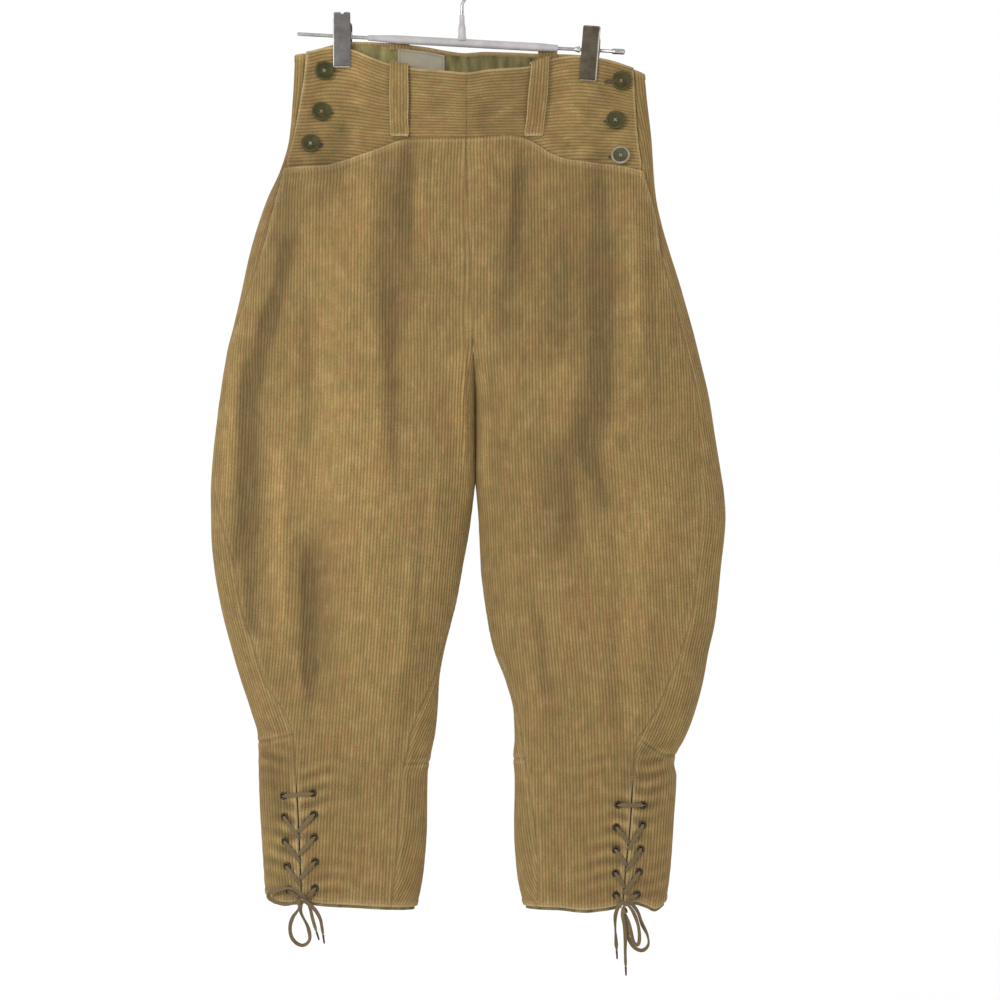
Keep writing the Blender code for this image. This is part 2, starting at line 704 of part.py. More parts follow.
def back_panel(name, leg, material):
    """Back of a leg: from the waist to the knee seam, and from the centre back round the outer edge.

    Above the placket's end its front edge runs on under the yoke and the front panel, where the
    buttons are sewn on. Below, it meets the front panel at the side seam.
    """
    qs, drops, dive = [], [], []
    for level in [WAIST_ABOUT] + UPPER_BACK_DROPS + SHARED_DROPS + [KNEE_ABOUT]:
        row = np.full(BACK_COLUMNS, float(level))
        for _ in range(4):
            q = np.empty(BACK_COLUMNS)
            for i, drop in enumerate(row):
                side, gap = leg.side(drop)
                end = 2 + leg.inside(drop) - SEAM_GAP / 2 / leg.length(drop, "back")
                # The first columns stand close together, where the panel turns under the front
                from_side = (-BACK_LAP, -9, 1.5, 9) if drop < PLACKET_SHUT else (SEAM_GAP / 2, 7, 14, 21)
                near = [side + distance / leg.length(drop) for distance in from_side]
                far = np.linspace(near[-1], end, BACK_COLUMNS - len(near) + 1)[1:]
                q[i] = (near + list(far))[i]
            x = leg.grid(leg.points, q, row)[:, 0]
            if level == WAIST_ABOUT:
                on_front = along(FRONT_WAIST, x) + 1.5
                row = np.where(q < 1, on_front, along(BACK_WAIST, x))
            elif level == KNEE_ABOUT:
                row = knee_line(leg, q, row) - 0.25
        past_edge = (q - np.array([leg.side(drop)[0] for drop in row])) * leg.length(row)
        hidden = 1 - ease(past_edge, 1.0, 9.0)
        depth = BACK_BEHIND_YOKE + BACK_BEHIND_PANEL * ease(row, 130, 200)
        qs.append(q)
        drops.append(row)
        dive.append(-depth * hidden * (1 - ease(row, PLACKET_SHUT, SEAM_START)))
    return leg_wall(name, leg, np.array(qs), np.array(drops), material, np.array(dive))


def knee_line(leg, q, drop):
    """Drop of the knee seam at places round the ring."""
    start = np.array([leg.side(d)[0] for d in drop])
    end = np.array([2 + leg.inside(d) for d in drop])
    return along(leg.knee, np.clip((q - start) / (end - start), 0, 1))


def calf_panel(name, leg, material):
    """Lower back of a leg, from the slit round the outer edge and the rear to the inside seam."""
    qs, drops = [], []
    for level in [KNEE_ABOUT] + CALF_DROPS + [HEM_ABOUT]:
        row = np.full(CALF_COLUMNS, float(level))
        for _ in range(3):
            q = np.empty(CALF_COLUMNS)
            for i, drop in enumerate(row):
                side, gap = leg.side(drop, slit_gap(drop))
                end = 2 + leg.inside(drop) - SEAM_GAP / 2 / leg.length(drop, "back")
                q[i] = side + gap + (end - side - gap) * i / (CALF_COLUMNS - 1)
            if level == KNEE_ABOUT:
                row = knee_line(leg, q, row) + 0.25
            elif level == HEM_ABOUT:
                row = along(leg.hem, leg.grid(leg.points, q, row)[:, 0])
        qs.append(q)
        drops.append(row)
    return leg_wall(name, leg, np.array(qs), np.array(drops), material)


def hem_row(leg, drop):
    """q of the calf panel's columns and then the front panel's, round the leg, at a drop for each."""
    q = np.empty(CALF_COLUMNS + FRONT_COLUMNS - 1)
    for i, here in enumerate(drop):
        side, gap = leg.side(here, slit_gap(here))
        inside = 2 + leg.inside(here)
        over_front = np.linspace(inside, 2 + side - gap, FRONT_COLUMNS)[1:]
        q[i] = np.concatenate([np.linspace(side + gap, inside, CALF_COLUMNS), over_front])[i]
    return q


def hem_tape(name, leg, material):
    """Twill tape inside the hem, from one edge of the slit round to the other, just showing below.

    It lies on the flat facets between the panels' last row and the hem.
    """
    last = np.full(CALF_COLUMNS + FRONT_COLUMNS - 1, float(CALF_DROPS[-1]))
    hem = last
    for _ in range(3):
        hem = along(leg.hem, leg.grid(leg.points, hem_row(leg, hem), hem)[:, 0])
    sides = []
    for offset in (-TAPE_IN, -(TAPE_IN + TAPE)):
        above = leg.place(hem_row(leg, last), last, offset)
        below = leg.place(hem_row(leg, hem), hem, offset)
        share = [((hem - last + lift) / (hem - last))[:, None] for lift in (-TAPE_ABOVE, TAPE_BELOW)]
        sides.append(np.array([above + (below - above) * t for t in share]))
    return wall(name, sides[0], sides[1], material)


def waist_facing(name, legs, material, shows_from=4.0, height=44.0):
    """Twill facing inside the back of the waist, from one side to the other."""
    xs = np.linspace(-134, 144, 14)
    outer, inner = [], []
    for level in (0.0, 0.5, 1.0):
        for points, offset in ((outer, -FACING_IN), (inner, -(FACING_IN + TAPE))):
            points.append([on_back(legs, x, along(BACK_WAIST, x) + shows_from + height * level, offset) for x in xs])
    return wall(name, np.array(outer), np.array(inner), material)


def label(name, legs, material):
    """Blank woven label on the facing."""
    outer, inner = [], []
    for drop in (103.0, 116.0, 129.0):
        lies_in = FACING_IN + TAPE + 2 * SEAM_GAP
        for points, offset in ((outer, -lies_in), (inner, -(lies_in + WOVEN_LABEL))):
            points.append([on_back(legs, x, drop, offset) for x in np.linspace(-65, -18, 5)])
    return wall(name, np.array(outer), np.array(inner), material)


def on_front(legs, x, drop, offset):
    """A point off the front surface at x and drop."""
    leg = legs["left"] if x > along(RIGHT_LEG, drop, "drop", "inner") else legs["right"]
    return leg.place(leg.q_at(x, drop), drop, offset)


def on_back(legs, x, drop, offset):
    """A point off the rear surface at x and drop."""
    leg = legs["left"] if x > along(RIGHT_LEG, drop, "drop", "inner") else legs["right"]
    return leg.place(leg.q_at(x, drop, "back"), drop, offset)


def belt_loop(name, legs, face, x, waist, foot, material):
    """A belt loop: a strip hooked over the waist edge, standing off the cloth and sewn down at its foot."""
    place = on_front if face == "front" else on_back
    top = float(along(waist, x))
    # Distance of the strip's inner side from the cloth, and drop, from the foot up and over the edge
    sewn = 0.8 if face == "front" else 1.5
    line = [(sewn, foot), (sewn, foot - 8), (3.2, foot - 15), (3.5, foot - 40), (3.4, top + 12), (3.0, top + 1)]
    line = [Vector((out, -drop)) for out, drop in line + [(1.4, top - 1.8), (-1.9, top - 1.9)]]
    outside = []
    for i, here in enumerate(line):
        ahead = (line[min(i + 1, len(line) - 1)] - line[max(i - 1, 0)]).normalized()
        outside.append(here + Vector((ahead.y, -ahead.x)) * LOOP_STRIP)
    sides = []
    for layer in (outside, line):
        rows = []
        for out, height in layer:
            across = []
            for at in (x - LOOP_WIDTH / 2, x, x + LOOP_WIDTH / 2):
                own_top = float(along(waist, at))
                drop = -height + (own_top - top) * float(1 - ease(-height, top + 8, top + 30))
                lift = np.array([0, 0, max(own_top - drop, 0.0)])
                across.append(place(legs, at, max(drop, own_top), out) + lift)
            rows.append(across)
        sides.append(np.array(rows))
    return wall(name, sides[0], sides[1], material)


def turned(name, profile, steps, material, place, axis):
    """A solid turned from a closed profile of (radius, height), standing at place along axis."""
    bm = bmesh.new()
    ring = [bm.verts.new((radius * MM, 0, height * MM)) for radius, height in profile]
    edges = [bm.edges.new((a, b)) for a, b in zip(ring, ring[1:])]
    if profile[0][0] > 0:
        edges.append(bm.edges.new((ring[-1], ring[0])))
    bmesh.ops.spin(
        bm, geom=ring + edges, cent=(0, 0, 0), axis=(0, 0, 1), angle=2 * math.pi, steps=steps, use_merge=True
    )
    bmesh.ops.remove_doubles(bm, verts=bm.verts, dist=1e-6)
    obj = from_bmesh(name, bm, material)
    obj.location = Vector(place) * MM
    obj.rotation_euler = Vector(axis).to_track_quat("Z", "Y").to_euler()
    return obj


def cutter(name, radius, length, place, axis, steps=10):
    """A round cutter through place along axis. It isn't part of the object."""
    bm = bmesh.new()
    bmesh.ops.create_cone(
        bm, cap_ends=True, segments=steps, radius1=radius * MM, radius2=radius * MM, depth=length * MM
    )
    obj = from_bmesh(name, bm, None, smooth=False)
    obj.location = Vector(place) * MM
    obj.rotation_euler = Vector(axis).to_track_quat("Z", "Y").to_euler()
    hide(obj)
    return obj


def hide(obj):
    """Keeps a helper out of the object."""
    obj.hide_render = True
    obj.display_type = "WIRE"


def combine(obj, other, operation):
    """Adds a Boolean modifier to obj."""
    modifier = obj.modifiers.new(operation.title() + "_" + other.name, "BOOLEAN")
    modifier.object = other
    modifier.operation = operation
    modifier.solver = "EXACT"


def button(name, panel, spot, material):
    """A button on its thread shank, just off the panel, with a rim round a hollow."""
    mesh = panel.data
    tree = BVHTree.FromPolygons([vert.co for vert in mesh.vertices], [face.vertices for face in mesh.polygons])
    place, axis, _, _ = tree.ray_cast(Vector((spot.x * MM, -1, -spot.drop * MM)), Vector((0, 1, 0)))
    low, thick, edge = BUTTON_SHANK, BUTTON_SHANK + BUTTON_THICK, BUTTON_RADIUS
    profile = [(0, 0), (BUTTON_SHANK_RADIUS, 0), (BUTTON_SHANK_RADIUS, low), (edge - 1.2, low), (edge, low + 1)]
    profile += [(edge - 0.6, thick), (edge - 2.4, thick), (edge - 3.4, thick - 1), (0, thick - 1)]
    return turned(name, profile, 14, material, place / MM + axis * BUTTON_CLEAR, axis)


def eyelet(name, leg, spot, panel, material):
    """A metal eyelet, its barrel through the cloth, and the hole that it needs in the panel."""
    q = leg.q_at(spot.x, spot.drop)
    place, axis = leg.place(q, spot.drop), leg.normal(q, spot.drop)
    flange = [(EYELET_HOLE, 1.2), (EYELET_FLANGE, 0.45), (EYELET_BARREL, 0.45)]
    profile = [(EYELET_BARREL, -CLOTH - 0.2), (EYELET_HOLE, -CLOTH - 0.2)] + flange
    turned(name, profile, 8, material, place, axis)
    combine(panel, cutter(name + "_hole", EYELET_BARREL + 0.5, 9, place, axis, 8), "DIFFERENCE")
    return np.array(place), np.array(axis)


def smooth_route(points, count):
    """Points evenly spaced along a smooth curve through hand-set points (Catmull-Rom)."""
    p = np.array(points, float)
    p = np.vstack([2 * p[0] - p[1], p, 2 * p[-1] - p[-2]])
    fine = []
    for a, b, c, d in zip(p, p[1:], p[2:], p[3:]):
        for t in np.linspace(0, 1, 12, endpoint=False):
            fine.append(
                0.5 * (2 * b + (c - a) * t + (2 * a - 5 * b + 4 * c - d) * t**2 + (3 * b - a - 3 * c + d) * t**3)
            )
    fine = np.array(fine + [p[-2]])
    far = np.concatenate([[0], np.cumsum(np.linalg.norm(np.diff(fine, axis=0), axis=1))])
    even = np.linspace(0, far[-1], count)
    return np.column_stack([np.interp(even, far, fine[:, k]) for k in range(3)])


def tube(name, points, radius, material):
    """A plain round tube along points in millimetres, with its ends closed."""
    curve = bpy.data.curves.new(name, "CURVE")
    curve.dimensions = "3D"
    spline = curve.splines.new("POLY")
    spline.points.add(len(points) - 1)
    for point, place in zip(spline.points, points):
        point.co = (*(np.array(place) * MM), 1.0)
    curve.bevel_depth = radius * MM
    curve.bevel_resolution = 2
    curve.use_fill_caps = True
    obj = bpy.data.objects.new(name, curve)
    bpy.context.scene.collection.objects.link(obj)
    obj.data.materials.append(material)
    return obj


def strand(leg, eyelet_at, dive, to_eyelet):
    """Lace from one eyelet over its panel, through the slit at a drop and up behind to the next eyelet."""
    start, out = eyelet_at
    end, end_out = to_eyelet
    side = leg.side(dive)[0]
    middle = leg.place(side, dive)
    across = leg.normal(side, dive)
    over = (middle - start) / np.linalg.norm(middle - start)
    under = (end - middle) / np.linalg.norm(end - middle)
    return [
        start + out * 0.6,
        start + out * 2.5 + over * 1.2,
        start + out * 2.7 + over * 4.5,
        middle + across * 2.2 - over * 2.4,
        middle + across * 0.7 - over * 0.3,
        middle - across * 2.7 + under * 0.3,
        middle - across * 4.2 + under * 2.6,
        end - end_out * 4.4 - under * 3.4,
        end - end_out * 3.6 - under * 0.9,
        end - end_out * 1.6,
    ]


def lacing(name, leg, pairs, dives, knots, material):
    """The lace where it is held: a bar over the top pair of eyelets, then crossing down to the bow.

    Its two ends, given by knots, lie behind the bow: first the one from the last outer eyelet.
    """
    outer = [pair[0] for pair in pairs]
    inner = [pair[1] for pair in pairs]
    halves = []
    for this, other, dip, which in ((outer, inner, 4.2, 0), (inner, outer, 6.9, 1)):
        start, out = this[0]
        end, end_out = other[1]
        way = (end - start) / np.linalg.norm(end - start)
        middle = (start + end) / 2 - (out + end_out) / 2 * dip
        path = [start + out * 0.6, start - out * 1.6, start - out * 3.6 + way * 0.9, start - out * 4.4 + way * 3.4]
        path += [middle, end - end_out * 4.4 - way * 3.4, end - end_out * 3.6 - way * 0.9, end - end_out * 1.6]
        here, there = other, this
        for k, dive in enumerate(dives):
            path += strand(leg, here[k + 1], dive[1 - which if k % 2 else which], there[k + 2])
            here, there = there, here
        last, last_out = here[len(dives) + 1]
        knot = np.array((knots[which].x, knots[which].y, -knots[which].drop))
        lifted = last + last_out * 2.7
        reach = (knot - lifted) / np.linalg.norm(knot - lifted)
        path += [last + last_out * 0.6, last + last_out * 2.5 + reach * 1.2, lifted + reach * 3.2]
        path += [knot]
        halves.append(path)
    return tube(name, halves[0][::-1] + bar_over(outer[0], inner[0]) + halves[1], LACE_RADIUS, material)


def bar_over(first, second):
    """The lace's straight bar over the top pair of eyelets, without its two ends."""
    (a, a_out), (b, b_out) = first, second
    way = (b - a) / np.linalg.norm(b - a)
    rise = [a + a_out * 2.5 + way * 1.2, a + a_out * 2.7 + way * 4.0]
    return rise + [b + b_out * 2.7 - way * 4.0, b + b_out * 2.5 - way * 1.2]


def bow(name, route, lace_material, tip_material):
    """The bow's loops and tails, one run of lace, and the two sleeves on its tips."""
    points = smooth_route([(p.x, p.y, -p.drop) for p in route], 52)
    tip_length = 9.0
    for end, inward, tail in ((points[0], points[1], "a"), (points[-1], points[-2], "b")):
        out = (end - inward) / np.linalg.norm(end - inward)
        profile = [(0, 0), (LACE_RADIUS, 0), (0.75, tip_length), (0, tip_length)]
        turned(f"{name}_tip_{tail}", profile, 8, tip_material, end + out * SEAM_GAP, out)
    return tube(name, points, LACE_RADIUS, lace_material)


def bar_drop(x):
    """Drop of the bar's axis."""
    (x0, drop0), (x1, drop1) = BAR_LEFT_END, BAR_RIGHT_END
    return drop0 + (drop1 - drop0) * (x - x0) / (x1 - x0)


BAR_AXIS = Vector((BAR_RIGHT_END[0] - BAR_LEFT_END[0], 0, BAR_LEFT_END[1] - BAR_RIGHT_END[1])).normalized()


def hanger_bar(name, material):
    """The steel bar, with the thicker tip at one end."""
    length = (Vector((BAR_RIGHT_END[0] - BAR_LEFT_END[0], BAR_RIGHT_END[1] - BAR_LEFT_END[1]))).length
    tip = length - BAR_TIP_LENGTH
    profile = [(0, 0), (BAR_RADIUS, 0), (BAR_RADIUS, tip), (BAR_TIP_RADIUS, tip + 1)]
    profile += [(BAR_TIP_RADIUS, length - 1), (BAR_TIP_RADIUS - 1, length), (0, length)]
    return turned(name, profile, 12, material, (BAR_LEFT_END[0], 0, -BAR_LEFT_END[1]), BAR_AXIS)


def bar_sleeve(name, material):
    """White coating over the middle of the bar and the foot of the stem, in one piece."""
    start = Vector((SLEEVE_FROM, 0, -bar_drop(SLEEVE_FROM)))
    length = (Vector((SLEEVE_TO, 0, -bar_drop(SLEEVE_TO))) - start).length
    profile = [(0, 0), (SLEEVE_END_RADIUS, 0), (SLEEVE_RADIUS, 30), (SLEEVE_RADIUS, length - 20)]
    profile += [(SLEEVE_END_RADIUS + 0.5, length), (0, length)]
    sleeve = turned(name, profile, 12, material, start, BAR_AXIS)
    foot = bar_drop(0)
    rise = foot - STEM_TOP
    stem_profile = [(0, 0), (STEM_RADIUS, 0), (STEM_RADIUS, rise * 0.5), (STEM_TOP_RADIUS, rise * 0.72)]
    stem_profile += [(STEM_TOP_RADIUS - 0.2, rise), (0, rise)]
    stem = turned(name + "_stem", stem_profile, 12, material, (0, 0, -foot), (0, 0, 1))
    hide(stem)
    combine(sleeve, stem, "UNION")
    combine(sleeve, cutter(name + "_bore", SLEEVE_BORE, 400, (0, 0, -foot), BAR_AXIS, 12), "DIFFERENCE")
    stem_bore = cutter(name + "_stem_bore", WIRE_RADIUS + SEAM_GAP, 60, (0, 0, -foot + 30), (0, 0, 1), 10)
    combine(sleeve, stem_bore, "DIFFERENCE")
    return sleeve


def hook(name, material):
    """The hook: up out of the stem, out to the right, and over the rail to its tip."""
    centre = WIRE_RADIUS - HOOK_RADIUS
    # The neck is an arc that leaves the stem upright and meets the hook's circle from outside
    apart = HOOK_RADIUS + HOOK_NECK_RADIUS
    meet = math.acos(HOOK_NECK_RADIUS / apart)
    neck_drop = centre - apart * math.sin(meet)
    path = [(0, -bar_drop(0) + BAR_RADIUS + SEAM_GAP + 0.2), (0, -STEM_TOP), (0, neck_drop)]
    for share in np.linspace(0, 1, 6)[1:]:
        turn = meet * share
        path.append((HOOK_NECK_RADIUS * (1 - math.cos(turn)), neck_drop + HOOK_NECK_RADIUS * math.sin(turn)))
    # Round the circle from where the neck meets it
    start = math.degrees(math.atan2(path[-1][1] - centre, path[-1][0]))
    for angle in np.radians(np.linspace(start, HOOK_TIP_ANGLE, 26))[1:]:
        path.append((HOOK_RADIUS * math.cos(angle), centre + HOOK_RADIUS * math.sin(angle)))
    return tube(name, [(x, 0, z) for x, z in path], WIRE_RADIUS, material)


def bent_strip(bm, path, thickness, low_x, high_x):
    """Adds a strip of sheet bent along a path of (y, z), between two values of x."""
    line = [Vector(p) for p in path]
    shifted = []
    for i, here in enumerate(line):
        ahead = (line[min(i + 1, len(line) - 1)] - line[max(i - 1, 0)]).normalized()
        shifted.append(here + Vector((ahead.y, -ahead.x)) * thickness)
    outline = line + shifted[::-1]
    face = bm.faces.new([bm.verts.new((low_x * MM, y * MM, z * MM)) for y, z in outline])
    pushed = bmesh.ops.extrude_face_region(bm, geom=[face])["geom"]
    moved = [item for item in pushed if isinstance(item, bmesh.types.BMVert)]
    bmesh.ops.translate(bm, verts=moved, vec=((high_x - low_x) * MM, 0, 0))
    bmesh.ops.triangulate(bm, faces=bm.faces)


def clip_frame(side):
    """Where a clip's local frame stands: x along the bar, z up, its origin on the bar's axis."""
    x, lean = CLIPS[side]
    return Matrix.Translation(Vector((x, 0, -bar_drop(x))) * MM) @ Matrix.Rotation(math.radians(lean), 4, "Y")


def clip_jaw(name, side, way, shift, half_width, material):
    """One jaw: a bent plate that presses on the cloth, with two ears through which the bar passes.

    way is -1 for the front jaw and 1 for the rear one. The path runs from the lip up to the lever.
    """
    press = (PINCH_FRONT if way < 0 else PINCH_BACK) + CLIP_CLEAR
    path = [(press + 1.8, -CLIP_JAW), (press, -CLIP_JAW + 2.5), (press, -8), (press + 1.6, 2), (9.0, CLIP_LEVER)]
    bm = bmesh.new()
    bent_strip(bm, [(way * y, z) for y, z in path], CLIP_SHEET * way, shift - half_width, shift + half_width)
    jaw = from_bmesh(name, bm, material, smooth=False)
    jaw.matrix_world = clip_frame(side)
    for end, edge in (("a", -half_width), ("b", half_width - CLIP_SHEET)):
        bm = bmesh.new()
        outline = [(-3.4, -3.2), (-3.4, 3.2), (0.81 * press + 3.45, 6.5), (press + 1.0, -4.6)]
        face = bm.faces.new([bm.verts.new(((edge + shift) * MM, way * y * MM, z * MM)) for y, z in outline])
        pushed = bmesh.ops.extrude_face_region(bm, geom=[face])["geom"]
        moved = [item for item in pushed if isinstance(item, bmesh.types.BMVert)]
        bmesh.ops.translate(bm, verts=moved, vec=(CLIP_SHEET * MM, 0, 0))
        ear = from_bmesh(f"{name}_ear_{end}", bm, material, smooth=False)
        ear.matrix_world = clip_frame(side)
        hide(ear)
        combine(jaw, ear, "UNION")
    place = clip_frame(side).translation / MM
    combine(jaw, cutter(name + "_bore", BAR_RADIUS + SEAM_GAP, 40, place, BAR_AXIS, 12), "DIFFERENCE")
    return jaw


def clip_spring(name, side, material):
    """A leaf spring that passes under the bar and pushes the two levers apart."""
    reach = 16.0
    half = [(2.6, -0.6), (1.8, -2.6), (0.0, -3.2)]
    lever = 5.9
    front = [(-lever, reach), (-2.8, 2.0)] + [(-y, z) for y, z in half]
    path = front + [(y, z) for y, z in half[:-1][::-1]] + [(2.8, 2.0), (lever + 0.6, reach)]
    bm = bmesh.new()
    bent_strip(bm, path, -0.6, -4.0, 4.0)
    spring = from_bmesh(name, bm, material, smooth=False)
    spring.matrix_world = clip_frame(side)
    return spring


def clear_scene():
    """Removes whatever the startup file brought."""
    for obj in list(bpy.data.objects):
        bpy.data.objects.remove(obj)


def build():
    """Makes every piece."""
    clear_scene()
    corduroy = finish_material("corduroy", CORDUROY)
    twill = finish_material("twill", TWILL)
    lace = finish_material("lace", LACE_COTTON)
    metal = finish_material("eyelet", EYELET_METAL)
    steel = finish_material("steel", STEEL)
    legs = {"right": Leg(RIGHT_LEG, RIGHT_KNEE, RIGHT_HEM), "left": Leg(LEFT_LEG, LEFT_KNEE, LEFT_HEM)}
    details = {
        "right": (RIGHT_EYELETS, RIGHT_DIVES, RIGHT_BOW, RIGHT_KNOT),
        "left": (LEFT_EYELETS, LEFT_DIVES, LEFT_BOW, LEFT_KNOT),
    }
    yokes = {}
    for side, leg in legs.items():
        eyelets, dives, route, knots = details[side]
        front = front_panel(f"front_panel_{side}", leg, corduroy)
        yokes[side] = yoke(f"front_yoke_{side}", leg, corduroy)
        back_panel(f"back_panel_{side}", leg, corduroy)
        calf = calf_panel(f"calf_panel_{side}", leg, corduroy)
        hem_tape(f"hem_tape_{side}", leg, twill)
        pairs = []
        for k, (on_calf, on_panel) in enumerate(eyelets, 1):
            outer = eyelet(f"eyelet_{side}_outer_{k}", leg, on_calf, calf, metal)
            inner = eyelet(f"eyelet_{side}_inner_{k}", leg, on_panel, front, metal)
            pairs.append((outer, inner))
        lacing(f"lacing_{side}", leg, pairs, dives, knots, lace)
        bow(f"bow_{side}", route, lace, metal)
    for name, spot in BUTTONS.items():
        grey = name == "left_3"
        look = finish_material("grey_button", GREY_PLASTIC) if grey else finish_material("button", BUTTON_PLASTIC)
        button(f"button_{name}", yokes[name.split("_")[0]], spot, look)
    waist_facing("waist_facing", legs, twill)
    label("label_blank", legs, finish_material("label", LABEL_CLOTH))
    belt_loop("belt_loop_front_right", legs, "front", -63, FRONT_WAIST, 184, corduroy)
    belt_loop("belt_loop_front_left", legs, "front", 72, FRONT_WAIST, 182, corduroy)
    belt_loop("belt_loop_back_right", legs, "back", -63, BACK_WAIST, 172, corduroy)
    belt_loop("belt_loop_back_left", legs, "back", 86, BACK_WAIST, 172, corduroy)
    hanger_bar("hanger_bar", steel)
    bar_sleeve("hanger_sleeve", finish_material("coating", WHITE_COATING))
    hook("hanger_hook", steel)
    for side in CLIPS:
        clip_jaw(f"clip_{side}_front_jaw", side, -1, 0.0, CLIP_WIDTH / 2, steel)
        clip_jaw(f"clip_{side}_back_jaw", side, 1, CLIP_BACK_SHIFT, CLIP_WIDTH / 2 - 1.3, steel)
        clip_spring(f"clip_{side}_spring", side, steel)


build()
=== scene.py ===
"""Corduroy riding breeches, laced at the calf, on a clip hanger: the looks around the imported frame.

Metres, +Z up, -Y to the front, with the origin under the crown of the hanger's hook. Tables give
millimetres: x from the hook's axis, and drop, how far a place lies below the hook's crown. Right and
left are the wearer's, so the right leg is on the -X side. A leg's cloth is laid out by girth, the
distance round the leg from the centre seam or the inside of the leg over the front to the outer edge
and on over the rear, and by drop.
"""

import json
import logging
import math
from dataclasses import dataclass, field
from enum import Enum
from typing import Callable, NamedTuple, Sequence

import bmesh
import bpy
import numpy as np
from mathutils import Matrix, Vector

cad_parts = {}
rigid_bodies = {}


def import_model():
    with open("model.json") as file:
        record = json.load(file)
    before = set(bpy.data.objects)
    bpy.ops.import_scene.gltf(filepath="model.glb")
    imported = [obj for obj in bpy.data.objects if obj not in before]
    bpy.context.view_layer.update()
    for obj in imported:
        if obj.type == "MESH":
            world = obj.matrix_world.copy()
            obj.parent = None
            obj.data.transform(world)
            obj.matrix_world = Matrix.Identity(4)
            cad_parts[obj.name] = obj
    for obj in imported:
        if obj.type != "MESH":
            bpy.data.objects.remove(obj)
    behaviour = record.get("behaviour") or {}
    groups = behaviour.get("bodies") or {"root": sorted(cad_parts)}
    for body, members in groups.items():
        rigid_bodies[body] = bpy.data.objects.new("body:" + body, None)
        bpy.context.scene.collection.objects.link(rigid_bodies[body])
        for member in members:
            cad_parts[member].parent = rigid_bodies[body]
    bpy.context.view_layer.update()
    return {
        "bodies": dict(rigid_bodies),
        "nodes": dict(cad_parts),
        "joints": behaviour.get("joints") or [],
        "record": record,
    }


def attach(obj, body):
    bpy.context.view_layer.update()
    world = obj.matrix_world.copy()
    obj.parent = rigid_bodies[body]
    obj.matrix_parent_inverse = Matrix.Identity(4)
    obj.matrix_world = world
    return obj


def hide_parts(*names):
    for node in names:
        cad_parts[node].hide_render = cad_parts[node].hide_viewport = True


LOG = logging.getLogger("breeches")
MM = 0.001
MERGE = 2e-6  # vertices nearer than this many metres become one
Array = np.ndarray
Number = Array | float
Pairs = Sequence[tuple[float, float]]
Solid = bmesh.types.BMesh
Mesh = bpy.types.Mesh
Piece = bpy.types.Object

# Heights at which parts begin, as drops
CROTCH = 456.0
CROTCH_CURVE_TOP = 372.0
PINCH_END = 128.0
BODY_FULL = 268.0
PLACKET_SHUT = 305.0
SEAM_START = 309.0
SLIT_TOP = 822.0
SLIT_OPEN = 838.0
SLIT_GAP = 1.3
HEM_DROP = 955.0
BODY_CENTRE = 4.0
# The camera's place across and its height, which the nearer front moves away from
EYE_X = 38.0
EYE_DROP = 547.0
NEARER = 0.992

# Cloth
WALE = 3.2
STEPS_PER_WALE = 4
WALE_HEIGHTS = np.array((-0.5, 0.24, 0.42, 0.24))
SEAM_GAP = 0.1
SOLID_CLOTH = 2.0  # thickness of the frame's own cloth
CLOTH = 1.5
CLOTH_IN = 0.15  # the thin cloth lies this far in from the solid's face
BACK_LAP = 24.0
YOKE_LAP = 12.0
# These scale fold heights into painted shade in the troughs and a painted highlight on the ridges.
FOLD_SHADE, CREASE_SHADE = 5.0, 2.2  # folds this high, in millimetres, shade the cloth by one step
# Distances from an edge at which a panel's rows lie, so that its fold and stitching have shape
EDGE_ROWS = np.array([0.0, 0.5, 1.2, 2.0, 3.2, 4.6, 5.8, 6.8, 7.8, 9.4, 12.0])
STITCH_IN = 6.8

# Depth of the body at the waist
CLIPS_AT = {"right": (-120.0, 0.0), "left": (128.0, 4.5)}
CLIP_FLAT = 12.0
PINCH = {"front": 3.2, "back": 4.4}
WAIST_MIDDLE = {"front": 24.0, "back": 19.0}
SIDE_LOOP = 3.8
SIDE_LOOP_REACH = 16.0


class Side(Enum):
    """The wearer's side."""

    RIGHT = "right"
    LEFT = "left"


class Face(Enum):
    """Front or rear of the hanging garment."""

    FRONT = "front"
    BACK = "back"


class LegRow(NamedTuple):
    """One height of a leg: its outer edge, side seam, inner seam and inner edge, as x."""

    drop: float
    outer: float
    side_seam: float
    inner_seam: float
    inner: float


class BodyRow(NamedTuple):
    """Half depths of the body and how far its edges take to round away."""

    drop: float
    front: float
    back: float
    outer_round: float
    inner_round: float


class Spot(NamedTuple):
    """A place on a face, or a point of an edge that runs across the garment."""

    x: float
    drop: float


class Fold(NamedTuple):
    """A soft ridge, or a trough where height is negative, between two points of one face."""

    x_top: float
    top: float
    x_bottom: float
    bottom: float
    width: float
    height: float


def rows(kind: type, values: Sequence[tuple[float, ...]]) -> list:
    """A table's rows, as one kind of named row."""
    return [kind(*row) for row in values]


